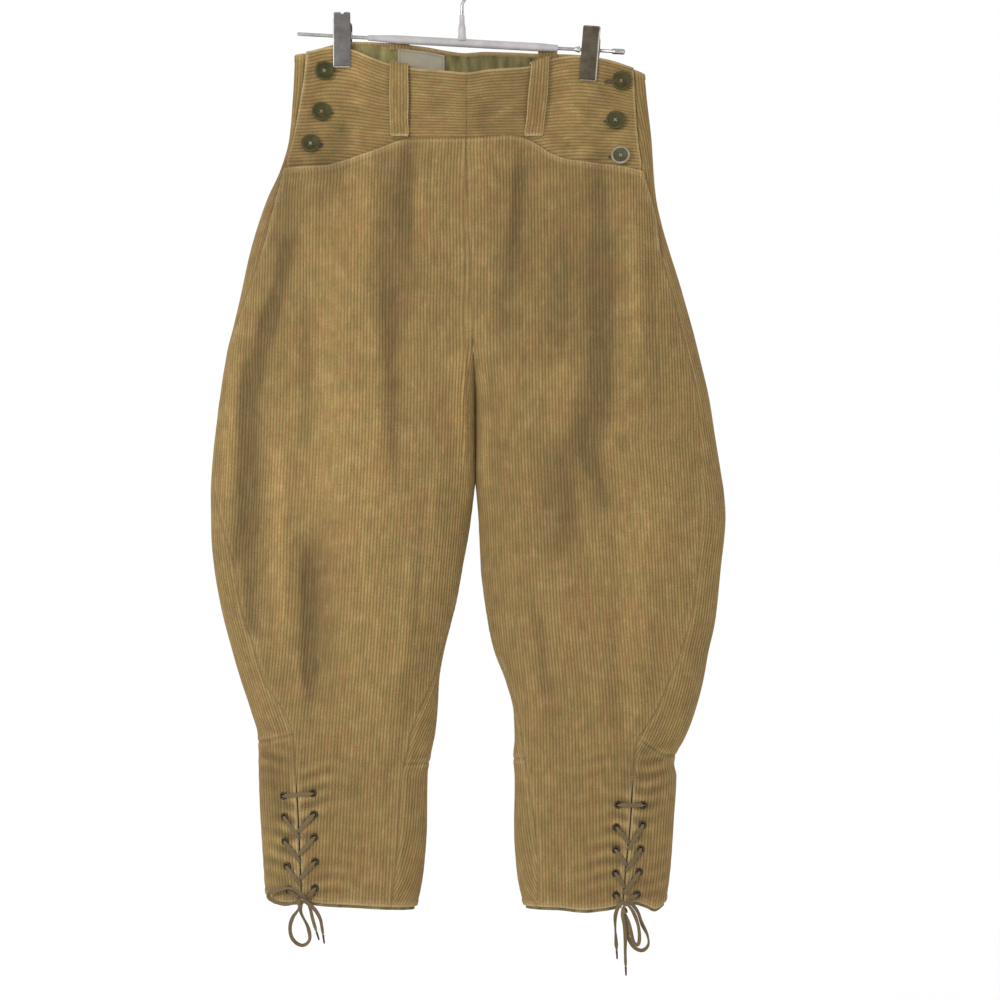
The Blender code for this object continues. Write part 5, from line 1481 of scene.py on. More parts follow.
def thread(name: str, colour: Colour, cloud: Colour, sheen: float = 0.2) -> bpy.types.Material:
    """Sewing thread."""
    return Grained(name, colour, cloud, (0.8, 0.95), grain_scale=2500.0, sheen=sheen).material()


def button_finish(name: str, colour: Colour, cloud: Colour, worn: Colour) -> bpy.types.Material:
    """A button's moulded plastic, with the colour of its worn rim."""
    return Grained(name, colour, cloud, (0.45, 0.65), cloud_scale=150.0, specular=0.15, worn=worn).material()


def clip_finish(
    name: str, colour: Colour, cloud: Colour, worn: Colour, rough: tuple[float, float], metallic: float
) -> bpy.types.Material:
    """A clip's plated sheet, with the colour of the highlight painted along its edges."""
    return Grained(name, colour, cloud, rough, metallic, (6.0, 6.0, 1.0), cloud_scale=90.0, worn=worn).material()


@dataclass(frozen=True)
class Finishes:
    """Every material of the object, made once."""

    corduroy: bpy.types.Material
    facing: bpy.types.Material
    tape: bpy.types.Material
    label: bpy.types.Material
    lace: bpy.types.Material
    thread: bpy.types.Material
    dark_thread: bpy.types.Material
    pale_thread: bpy.types.Material
    button: bpy.types.Material
    grey_button: bpy.types.Material
    eyelet: bpy.types.Material
    tip: bpy.types.Material
    steel: bpy.types.Material
    bright_clip: bpy.types.Material
    dull_clip: bpy.types.Material
    coating: bpy.types.Material


def all_finishes() -> Finishes:
    """Makes every material."""
    return Finishes(
        corduroy=Corduroy().material(),
        facing=Twill("olive_twill", linear(121, 112, 72), linear(86, 79, 45)).material(),
        tape=Twill("hem_tape_twill", linear(112, 102, 68), linear(80, 72, 45)).material(),
        label=WovenLabel().material(),
        lace=Braid().material(),
        thread=thread("tan_thread", linear(132, 110, 70), linear(108, 88, 52)),
        dark_thread=thread("brown_thread", linear(84, 70, 46), linear(62, 52, 34), 0.1),
        pale_thread=thread("grey_thread", linear(138, 132, 106), linear(106, 100, 74)),
        button=button_finish("olive_button", linear(62, 59, 30), linear(44, 41, 19), linear(70, 66, 38)),
        grey_button=button_finish("grey_button", linear(74, 70, 50), linear(56, 53, 36), linear(158, 151, 128)),
        eyelet=Grained(
            "oxidised_metal", linear(74, 60, 44), linear(44, 34, 26), (0.35, 0.6), 0.75, cloud_scale=420.0,
            worn=linear(130, 112, 86),
        ).material(),
        tip=Grained("dark_tip", linear(52, 42, 34), linear(34, 27, 22), (0.4, 0.6), 0.3).material(),
        steel=Grained(
            "drawn_steel", linear(176, 174, 172), linear(140, 137, 134), (0.2, 0.38), 1.0, (1.0, 6.0, 6.0)
        ).material(),
        # Each clip's third colour is a pale highlight painted along its edges.
        bright_clip=clip_finish(
            "plated_clip", linear(101, 98, 96), linear(82, 79, 76), linear(214, 212, 208), (0.34, 0.52), 0.9
        ),
        dull_clip=clip_finish(
            "dulled_clip", linear(83, 76, 63), linear(61, 54, 43), linear(176, 168, 156), (0.34, 0.56), 0.85
        ),
        coating=Grained(
            "white_vinyl", linear(164, 161, 161), linear(148, 144, 144), (0.3, 0.45), grain_scale=900.0,
            cloud_scale=60.0, coat=0.1,
        ).material(),
    )


def beside(path: Array) -> Array:
    """The direction square to a path in a plane, at each of its points."""
    ahead = unit(np.gradient(path, axis=0))
    return np.column_stack([ahead[:, 1], -ahead[:, 0]])


@dataclass
class BeltLoop:
    """A strip of five wales hooked over the waist edge and sewn down at its foot."""

    x: float
    face: Face
    foot: float
    lean: float = 0.0
    width: float = 19.0
    thickness: float = 1.6
    turned_in: float = 14.0
    row_count: int = 64
    waist: list[Spot] = field(init=False)
    top: float = field(init=False)

    def __post_init__(self) -> None:
        """Finds the edge that the strip hangs over."""
        self.waist = FRONT_WAIST if self.face is Face.FRONT else BACK_WAIST
        self.top = float(along(self.waist, self.x))

    def line(self) -> Array:
        """The strip's middle line: how far out and how high each row lies, from the foot up and over."""
        sewn = 0.9 if self.face is Face.FRONT else 1.6
        line = [(sewn, self.foot), (sewn, self.foot - 8), (3.2, self.foot - 15), (3.5, self.foot - 40)]
        over = [(3.4, 12), (3.0, 1), (1.4, -1.8), (-1.9, -1.9), (-2.8, 1), (-2.8, 7)]
        line += [(out, self.top + down) for out, down in over]
        return smooth_route([(out, -drop) for out, drop in line], self.row_count)

    def point(self, body: Body, shift: float, run: float, out: float, height: float) -> Array:
        """A point of the strip, shift to one side of its middle line."""
        narrow = 1 - 0.12 * float(bump(run, 2.0)) - 0.03 * math.sin(run / 9.0)
        lean = self.lean * float(np.clip((self.foot + height) / (self.foot - self.top), 0, 1))
        at = self.x + shift * narrow + lean
        own_top = float(along(self.waist, at))
        drop = -height + (own_top - self.top) * float(1 - ease(-height, self.top + 8, self.top + 30))
        above = max(own_top - drop, 0.0)
        return body.at(at, max(drop, own_top), out, self.face) + np.array([0, 0, above])

    def mesh(self, name: str, body: Body) -> Mesh:
        """The strip's wall, with its attributes."""
        path = self.line()
        away, run = beside(path), run_along(path)
        columns = np.arange(5 * STEPS_PER_WALE + 5)
        across = np.linspace(-self.width / 2, self.width / 2, len(columns))
        edge = self.width / 2 - np.abs(across)
        wale = WALE_HEIGHTS[(columns - 2) % STEPS_PER_WALE]
        lift = wale * ease(edge, 0.2, 1.4) - 0.7 * np.clip(1 - edge / 1.0, 0, 1) ** 2 + 0.25 * bump(edge - 1.6, 0.8)
        fold = 0.5 * bump(run[:, None] - 1.2, 1.4) - 0.35 * bump(run[:, None] - 7.0, 0.7)
        shape = (self.row_count, len(columns))
        sides = []
        for thick in (self.thickness + lift[None, :] + fold, np.zeros(shape)):
            grid = np.empty(shape + (3,))
            for row in range(self.row_count):
                for col, shift in enumerate(across):
                    out, height = path[row] + away[row] * thick[row, col]
                    grid[row, col] = self.point(body, shift, run[row], out, height)
            sides.append(grid)
        worn = np.maximum(1 - ease(edge, 0.4, 1.6)[None, :], bump(run[:, None] - 1.0, 1.5))
        marks = marks_of(shape, ((columns - 2) / STEPS_PER_WALE, run[:, None], self.x), (0, worn, 0))
        return wall_mesh(name, sides[0], sides[1], marks)

    def length(self) -> float:
        """Length of the strip that shows and turns over the edge, in metres."""
        return (self.foot - self.top + self.turned_in) * MM


def inside_waist(
    body: Body, xs: Array, downs: Array, below: float, lie: Callable[[float, float, float], tuple[float, float]]
) -> list[Array]:
    """Both sides of a strip that lies inside the back of the waist.

    Args:
        body: the legs' surfaces.
        xs: its columns.
        downs: its rows, from its own upper edge.
        below: how far that edge lies below the waist's.
        lie: how far each side lies out of the surface, by x, the row and the drop.

    Returns:
        Grids of points of the outer and the inner side.
    """
    grids = [np.empty((len(downs), len(xs), 3)) for _ in range(2)]
    for row, down in enumerate(downs):
        for col, x in enumerate(xs):
            drop = float(along(BACK_WAIST, x)) + below + down
            for grid, offset in zip(grids, lie(x, down, drop)):
                grid[row, col] = body.at(x, drop, offset, Face.BACK)
    return grids


@dataclass
class Facing:
    """Twill facing inside the back of the waist."""

    left_end: float = 144.0
    right_end: float = -134.0
    below_edge: float = 4.0
    height: float = 44.0
    lies_in: float = 2.75
    thickness: float = 0.8

    def lie(self, x: float, down: float, drop: float) -> tuple[float, float]:
        """How far its outer and inner side lie out of the surface."""
        wave = 0.25 * math.sin(x / 9.0 + down / 7.0) + 0.15 * math.sin(x / 4.1)
        wave += 0.5 * math.sin(x / 3.3 + 2.0 * math.sin(x / 17.0) + down / 14.0)
        seam = 0.3 * float(bump(down - 2.4, 0.6)) - 0.25 * float(bump(down - 1.0, 0.8))
        outside = -self.lies_in + 0.5 * wave
        return outside, outside - self.thickness + seam

    def mesh(self, name: str, body: Body) -> Mesh:
        """The facing's wall: its inner side is the one that shows."""
        xs = np.linspace(self.right_end, self.left_end, 94)
        downs = np.array([0, 0.5, 1.2, 2.0, 2.8, 4, 6, 9, 13, 18, 24, 31, 38, self.height])
        outer, inner = inside_waist(body, xs, downs, self.below_edge, self.lie)
        return wall_mesh(name, outer, inner, marks_of(outer.shape[:2], (xs[None, :], downs[:, None], 0)))


@dataclass
class Label:
    """Blank woven label, sewn to the facing by its ends, along the waist's edge."""

    left_end: float = -18.3
    right_end: float = -65.3
    below_edge: float = 5.3
    height: float = 26.0
    lies_in: float = 4.05
    thickness: float = 0.45

    def lie(self, x: float, down: float, drop: float) -> tuple[float, float]:
        """How far its outer and inner side lie out of the surface: it swells between its ends."""
        share = (x - self.right_end) / (self.left_end - self.right_end)
        offset = -self.lies_in - (0.5 * math.sin(math.pi * share) + 0.12 * math.sin(x / 3.3 + drop / 5))
        return offset, offset - self.thickness

    def mesh(self, name: str, body: Body) -> Mesh:
        """The label's wall, with the distance from its edge for the border."""
        xs, downs = np.linspace(self.right_end, self.left_end, 34), np.linspace(0, self.height, 16)
        outer, inner = inside_waist(body, xs, downs, self.below_edge, self.lie)
        from_sides, from_ends = np.minimum(downs, self.height - downs), np.minimum(xs - xs[0], xs[-1] - xs)
        edge = np.minimum(from_ends[None, :], from_sides[:, None])
        return wall_mesh(name, outer, inner, marks_of(edge.shape, (xs[None, :], downs[:, None], edge)))


@dataclass
class HemTape:
    """Twill tape inside the hem, from one edge of the slit round to the other, showing below."""

    form: LegForm
    above: float = 11.0
    below: float = 3.0
    end_gap: float = 0.4
    lies_in: float = 2.1
    thickness: float = 0.8

    def mesh(self, name: str) -> Mesh:
        """The tape's wall."""
        share = np.linspace(0, 1, 150)[None, :]
        downs = np.array([-self.above, -6.0, -2.0, 0.0, 1.0, 2.0, self.below - 0.5, self.below])[:, None]
        drop = np.full((len(downs), share.shape[1]), HEM_DROP)
        for _ in range(4):
            turn = self.form.front_length(drop) + self.form.back_length(drop)
            gap = slit_gap(drop)
            girth = self.form.side_at(drop) + gap + self.end_gap + (turn - 2 * gap - 2 * self.end_gap) * share
            q = self.form.q_of(girth, drop)
            drop = along(HEM[self.form.side], self.form.grid(self.form.points, q, drop)[..., 0]) + downs
        lie = 0.18 * np.sin(girth / 6.1 + 0.4) + 0.12 * np.sin(girth / 2.7)
        rolled = 0.5 * ease(downs, 0.0, self.below) + 0.25 * bump(downs - self.below + 0.4, 0.7)
        out = -self.lies_in + lie + rolled
        sides = [self.form.place(q, drop, offset) for offset in (out, out - self.thickness)]
        return wall_mesh(name, sides[0], sides[1], marks_of(drop.shape, (girth, drop, 0)))

    def length(self) -> float:
        """Length of the tape in metres."""
        return float(self.form.front_length(HEM_DROP) + self.form.back_length(HEM_DROP) - SLIT_GAP) * MM


def framed(place: Array, axes: Sequence[Array]) -> Matrix:
    """A frame in metres at a place in millimetres, from its X, Y and Z directions."""
    return Matrix.Translation(Vector(place) * MM) @ Matrix(np.column_stack(axes).tolist()).to_4x4()


def stand(place: Array, axis: Array) -> Matrix:
    """A frame in metres at a place in millimetres, with its Z along axis."""
    turn = Vector(axis).to_track_quat("Z", "Y").to_matrix().to_4x4()
    return Matrix.Translation(Vector(place) * MM) @ turn


def sized(*half: float) -> Matrix:
    """Stretches a unit shape to three half sizes in millimetres."""
    return Matrix.Diagonal([size * MM for size in half] + [1.0])


def shifted(x: float, y: float, z: float) -> Matrix:
    """A move in millimetres."""
    return Matrix.Translation(Vector((x, y, z)) * MM)


def turned(profile: Pairs, steps: int, frame: Matrix) -> Solid:
    """A solid turned from a closed profile.

    Args:
        profile: pairs of radius and height in millimetres. One that starts off the axis is a ring.
        steps: how many faces it has round it.
        frame: where it stands, with Z along its axis.

    Returns:
        The bmesh, in metres.
    """
    bm = bmesh.new()
    ring = [bm.verts.new((radius * MM, 0, height * MM)) for radius, height in profile]
    edges = [bm.edges.new(pair) for pair in zip(ring, ring[1:])]
    if profile[0][0] > 0:
        edges.append(bm.edges.new((ring[-1], ring[0])))
    bmesh.ops.spin(
        bm, geom=ring + edges, cent=(0, 0, 0), axis=(0, 0, 1), angle=2 * math.pi, steps=steps, use_merge=True
    )
    bmesh.ops.remove_doubles(bm, verts=bm.verts, dist=MERGE / 2)
    bmesh.ops.recalc_face_normals(bm, faces=bm.faces)
    bmesh.ops.transform(bm, matrix=frame, verts=bm.verts)
    return bm


def rod(radius: float, length: float, frame: Matrix, steps: int = 16) -> Solid:
    """A bar through a frame's origin along its Z."""
    bm = bmesh.new()
    bmesh.ops.create_cone(
        bm, cap_ends=True, segments=steps, radius1=radius * MM, radius2=radius * MM, depth=length * MM, matrix=frame
    )
    return bm


def bead(frame: Matrix, half: Sequence[float], smooth: int = 1, bm: Solid | None = None) -> Solid:
    """An ellipsoid of three half sizes in millimetres, in a bmesh of its own or added to bm."""
    bm = bmesh.new() if bm is None else bm
    bmesh.ops.create_icosphere(bm, subdivisions=smooth, radius=1.0, matrix=frame @ sized(*half))
    return bm


def joined(parts: Sequence[Solid]) -> Solid:
    """One bmesh of several, which are freed."""
    whole = bmesh.new()
    for part in parts:
        mesh = to_mesh("part", part)
        whole.from_mesh(mesh)
        bpy.data.meshes.remove(mesh)
    return whole


def combined(mesh: Mesh, other: Mesh, operation: str = "DIFFERENCE", solver: str = "EXACT") -> Mesh:
    """A mesh with another taken out of it or united with it, as a new mesh without materials."""
    pair = [bpy.data.objects.new(name, data) for name, data in (("work", mesh), ("tool", other))]
    for obj in pair:
        bpy.context.scene.collection.objects.link(obj)
    modifier = pair[0].modifiers.new("combine", "BOOLEAN")
    modifier.object, modifier.operation, modifier.solver = pair[1], operation, solver
    graph = bpy.context.evaluated_depsgraph_get()
    made = bpy.data.meshes.new_from_object(pair[0].evaluated_get(graph))
    for obj in pair:
        bpy.data.objects.remove(obj)
    bpy.data.meshes.remove(other)
    made.materials.clear()
    return made


def cut(mesh: Mesh, cutters: Sequence[Solid], solver: str = "EXACT") -> Mesh:
    """A mesh with cutters taken out of it, as a new mesh."""
    return combined(mesh, to_mesh("cutters", joined(cutters)), solver=solver)


@dataclass
class Button:
    """A four-hole button on its thread shank."""

    name: str
    radius: float = 9.5
    shank: float = 1.9
    thick: float = 3.0
    hole: float = 0.85
    hole_apart: float = 1.75
    dish: float = 1.15

    @property
    def half(self) -> float:
        """Half of its height, with the shank."""
        return (self.shank + self.thick) / 2

    def frame(self, node: Piece) -> Matrix:
        """Where the CAD button stands.

        Args:
            node: the CAD button.

        Returns:
            A frame half way between its foot and its top, with Z out along its axis.
        """
        points = np.array([vert.co for vert in node.data.vertices]) / MM
        away = points - points.mean(axis=0)
        axis = np.linalg.svd(away)[2][2]
        axis = axis if axis[1] < 0 else -axis
        from_axis = np.linalg.norm(away - np.outer(away @ axis, axis), axis=1)
        centre = points[from_axis > 0.8 * self.radius].mean(axis=0)
        middle = centre + axis * (((points - centre) @ axis).min() + self.half)
        moved = seen(Spot(middle[0], -middle[2]))
        across = unit(np.array([1.0, 0.0, 0.0]) - axis * axis[0])
        return framed((moved.x, middle[1], -moved.drop), (across, np.cross(axis, across), axis))

    def body(self, frame: Matrix) -> Mesh:
        """The moulded disc, with a rim, a hollow and four holes, and wear on its rim."""
        low, top, edge = self.shank - self.half, self.half, self.radius
        bowl = top - self.dish
        profile = [(0, low), (edge - 2.2, low), (edge - 0.9, low + 0.4), (edge - 0.15, low + 1.1), (edge, low + 1.7)]
        profile += [(edge - 0.2, top - 0.6), (edge - 0.8, top - 0.12), (edge - 1.5, top), (edge - 2.3, top - 0.2)]
        profile += [(edge - 3.0, top - 0.75), (edge - 3.8, bowl + 0.1), (2.0, bowl), (0, bowl)]
        places = [(x * self.hole_apart, y * self.hole_apart, 0) for x in (-1, 1) for y in (-1, 1)]
        holes = [rod(self.hole, 12, frame @ shifted(*place)) for place in places]
        made = cut(to_mesh(self.name, turned(profile, 48, frame)), holes)
        inverse = np.array(frame.inverted())
        local = (vertices_of(made) @ inverse[:3, :3].T + inverse[:3, 3]) / MM
        radius = np.linalg.norm(local[:, :2], axis=1)
        state = np.zeros((len(local), 3))
        state[:, 1] = 0.75 * ease(radius, edge - 2.4, edge - 1.2) * ease(local[:, 2], top - 1.2, top - 0.3)
        mark(made, "state", state)
        return made

    def thread(self, frame: Matrix) -> Solid:
        """A cross of thread over the four holes, and the shank between the button and the cloth."""
        parts = []
        for way in (-1, 1):
            turn = Matrix.Rotation(way * math.pi / 4, 4, "Z")
            for shift in (-0.3, 0.3):
                at = frame @ shifted(0, 0, self.half - 1.0) @ turn @ shifted(shift, 0, 0)
                parts.append(bead(at, (0.3, self.hole_apart * math.sqrt(2) + 0.4, 0.45), 2))
        parts.append(rod(1.7, self.shank + 1.6, frame @ shifted(0, 0, 0.6 - self.half), 12))
        return joined(parts)


@dataclass
class Eyelet:
    """A rolled metal eyelet, set through the cloth."""

    place: Array
    axis: Array

    def out(self, by: float) -> Array:
        """A point on its axis, so far out of the cloth."""
        return self.place + self.axis * by

    def ring(self) -> Solid:
        """Its barrel and its rolled flange."""
        profile = [(2.45, -2.1), (2.0, -2.2), (1.95, 0.6), (2.1, 1.05), (2.5, 1.32), (3.05, 1.36), (3.6, 1.12)]
        profile += [(3.95, 0.72), (4.0, 0.42), (3.6, 0.4), (2.5, 0.45)]
        return turned(profile, 24, stand(self.place, self.axis))

    def hole(self) -> Solid:
        """The cutter of its hole."""
        return rod(2.75, 9.0, stand(self.place, self.axis), 16)


@dataclass
class Ribbon:
    """A flat braid, or a wire, swept along a path."""

    path: Array
    facing: Array
    widths: Array
    thickness: Number = 1.1
    around: int = 16
    square: tuple[float, float] = (0.6, 0.75)

    def mesh(self, name: str) -> Mesh:
        """The ribbon, closed at both ends, with its own attributes across and along."""
        count = len(self.path)
        ahead = unit(np.gradient(self.path, axis=0))
        out = unit(self.facing - ahead * np.sum(self.facing * ahead, axis=1, keepdims=True))
        across = np.cross(ahead, out)
        angle = np.linspace(0, 2 * math.pi, self.around + 1)
        wide = np.sign(np.cos(angle)) * np.abs(np.cos(angle)) ** self.square[0]
        high = np.sign(np.sin(angle)) * np.abs(np.sin(angle)) ** self.square[1]
        ends = np.ones(count)
        ends[[0, -1]] = 0.0
        half = (self.widths / 2 * ends)[:, None, None]
        thick = (np.broadcast_to(self.thickness, count) / 2 * ends)[:, None, None]
        grid = self.path[:, None, :] + across[:, None, :] * wide[None, :, None] * half
        grid = grid + out[:, None, :] * high[None, :, None] * thick
        mesh, row, col, _ = flat_grid(name, (count, self.around + 1), False)
        weave = np.column_stack([wide[col] * self.widths[row] / 2, run_along(self.path)[row], np.zeros(len(row))])
        mark(mesh, "weave", weave)
        return closed_up(mesh, grid[row, col], True)

    def length(self) -> float:
        """Its length in metres."""
        return float(run_along(self.path)[-1]) * MM


@dataclass
class Lacing:
    """The lace where the eyelets hold it: a bar over the top pair, then crossing down to the bow."""

    form: LegForm
    pairs: list[tuple[Eyelet, Eyelet]]
    width: float = 4.2
    in_hole: float = 3.0

    def leaving(self, here: Eyelet, way: Array) -> list[Array]:
        """Out of an eyelet and over its rim."""
        return [here.out(0.6), here.out(2.5) + way * 1.2]

    def arriving(self, there: Eyelet, way: Array) -> list[Array]:
        """Up behind the cloth and into an eyelet."""
        return [there.out(-4.4) - way * 3.4, there.out(-3.6) - way * 0.9, there.out(-1.6)]

    def strand(self, here: Eyelet, dive: float, there: Eyelet) -> list[Array]:
        """From one eyelet over its panel, through the slit at a drop and up behind to the next eyelet."""
        drop = np.array(dive)
        side = self.form.q_of(self.form.side_at(drop), drop)
        middle, across = self.form.place(side, drop), self.form.normal(side, drop)
        over, under = unit(middle - here.place), unit(there.place - middle)
        return [
            *self.leaving(here, over),
            here.out(2.7) + over * 4.5,
            middle + across * 2.2 - over * 2.4,
            middle + across * 0.7 - over * 0.3,
            middle - across * 2.7 + under * 0.3,
            middle - across * 4.2 + under * 2.6,
            *self.arriving(there, under),
        ]

    def half(self, which: int) -> list[Array]:
        """One end's route, from the top pair to the bow: 0 starts at the outer eyelet."""
        this, other = ([pair[k] for pair in self.pairs] for k in (which, 1 - which))
        dip = (4.2, 6.9)[which]
        start, end = this[0], other[1]
        way = unit(end.place - start.place)
        path = [start.out(0.6), start.out(-1.6), start.out(-3.6) + way * 0.9, start.out(-4.4) + way * 3.4]
        path.append((start.place + end.place) / 2 - (start.axis + end.axis) / 2 * dip)
        path += self.arriving(end, way)
        here, there = other, this
        for k, dive in enumerate(DIVES[self.form.side]):
            path += self.strand(here[k + 1], dive[1 - which if k % 2 else which], there[k + 2])
            here, there = there, here
        last = here[4]
        x, y, drop = KNOTS[self.form.side][which]
        knot, lifted = np.array((x, y, -drop)), last.out(2.7)
        reach = unit(knot - lifted)
        return path + self.leaving(last, reach) + [lifted + reach * 3.2, knot]

    def ribbon(self) -> Ribbon:
        """The whole lacing, end to end."""
        first, second = self.pairs[0]
        way = unit(second.place - first.place)
        bar = [first.out(2.5) + way * 1.2, first.out(2.7) + way * 4.0]
        bar += [second.out(2.7) - way * 4.0, second.out(2.5) - way * 1.2]
        path = smooth_route(self.half(0)[::-1] + bar + self.half(1), 620)
        near = np.full(len(path), 100.0)
        facing = np.zeros((len(path), 3))
        for eyelet in (eyelet for pair in self.pairs for eyelet in pair):
            distance = np.linalg.norm(path - eyelet.place, axis=1)
            near = np.minimum(near, distance)
            facing += eyelet.axis[None, :] / (distance[:, None] + 2.0) ** 2
        # Where the braid goes straight down a hole, its flat side turns to face up the leg
        ahead, facing = unit(np.gradient(path, axis=0)), unit(facing)
        steep = ease(np.abs(np.sum(ahead * facing, axis=1)), 0.55, 0.9)[:, None]
        facing = facing * (1 - steep) + np.array([0.0, 0.0, 1.0]) * steep
        for _ in range(6):
            facing[1:-1] = (facing[:-2] + facing[1:-1] + facing[2:]) / 3
        widths = self.in_hole + (self.width - self.in_hole) * ease(near, 2.2, 6.0)
        return Ribbon(path, facing, widths)


@dataclass
class Bow:
    """A bow of two loops and two tails, made as two runs of lace that leave the knot."""

    side: Side
    width: float = 3.9
    tip_length: float = 9.0

    def halves(self) -> list[Ribbon]:
        """The two runs, each from the knot round its loop, back through the knot and down its tail."""
        points = np.array([(x, y, -drop) for x, y, drop in BOWS[self.side]])
        middle = BOW_MIDDLE[self.side]
        runs = []
        for number, part in enumerate((points[: middle + 1][::-1], points[middle:])):
            length = run_along(smooth_route(part, 400))[-1]
            runs.append(self.braid(smooth_route(part, max(60, int(length / 1.3))), number))
        return runs

    def braid(self, path: Array, number: int) -> Ribbon:
        """One run, turned edge-on here and there as a slack braid turns."""
        run = run_along(path)
        turn = 0.75 * np.sin(run / 13.0 + 1.1 * number) + 0.35 * np.sin(run / 6.3 + 0.8)
        ahead = unit(np.gradient(path, axis=0))
        front = unit(np.array([0.0, -1.0, 0.0]) + ahead * ahead[:, 1:2])
        facing = front * np.cos(turn)[:, None] + np.cross(ahead, front) * np.sin(turn)[:, None]
        slack = (0.55 + 0.45 * ease(run[-1] - run, 0.0, 7.0)) * (0.75 + 0.25 * ease(run, 0.0, 8.0))
        return Ribbon(path, facing, self.width * slack, 1.0, 12)

    def knot(self, name: str) -> Mesh:
        """The turn of lace round the middle of the bow."""
        x, y, drop = BOWS[self.side][BOW_MIDDLE[self.side]]
        lean = math.radians(14 if self.side is Side.RIGHT else -10)
        turn = np.linspace(0, 2 * math.pi, 40)[:-1]
        ring = np.column_stack([2.6 * np.cos(turn), 3.4 * np.sin(turn), 1.1 * np.sin(turn + 0.6)])
        facing = ring @ np.array(Matrix.Rotation(lean + math.pi / 2, 3, "Y")).T
        path = np.array((x + 1.0, y - 1.2, -drop - 1.0)) + facing
        return Ribbon(path, facing, np.full(len(path), 4.4), 1.3, 12).mesh(name)

    def tip(self, run: Ribbon) -> Solid:
        """The dark sleeve on a tail's end."""
        end, long = run.path[-1], self.tip_length
        out = unit(end - run.path[-4])
        profile = [(0, 0), (1.0, 0), (1.12, 0.5), (1.05, 3.0), (0.9, long - 1.2), (0.72, long - 0.3), (0, long)]
        return turned(profile, 16, stand(end - out * 0.4, out))


def bar_drop(x: float) -> float:
    """Drop of the bar's axis at x."""
    (x0, drop0), (x1, drop1) = BAR_ENDS
    return drop0 + (drop1 - drop0) * (x - x0) / (x1 - x0)


BAR_AXIS = unit(np.array([BAR_ENDS[1][0] - BAR_ENDS[0][0], 0.0, BAR_ENDS[0][1] - BAR_ENDS[1][1]]))


def on_bar(x: float) -> Matrix:
    """A frame on the bar's axis at x, with Z along the bar."""
    return stand(np.array([x, 0.0, -bar_drop(x)]), BAR_AXIS)


def tapering(start: tuple[float, float], end: tuple[float, float], steps: int) -> list[tuple[float, float]]:
    """Points of a profile that eases from one radius and height to another, without the first."""
    (radius, low), (to_radius, high) = start, end
    shares = np.linspace(0, 1, steps)[1:]
    return [(radius + (to_radius - radius) * float(ease(s, 0, 1)), low + (high - low) * s) for s in shares]


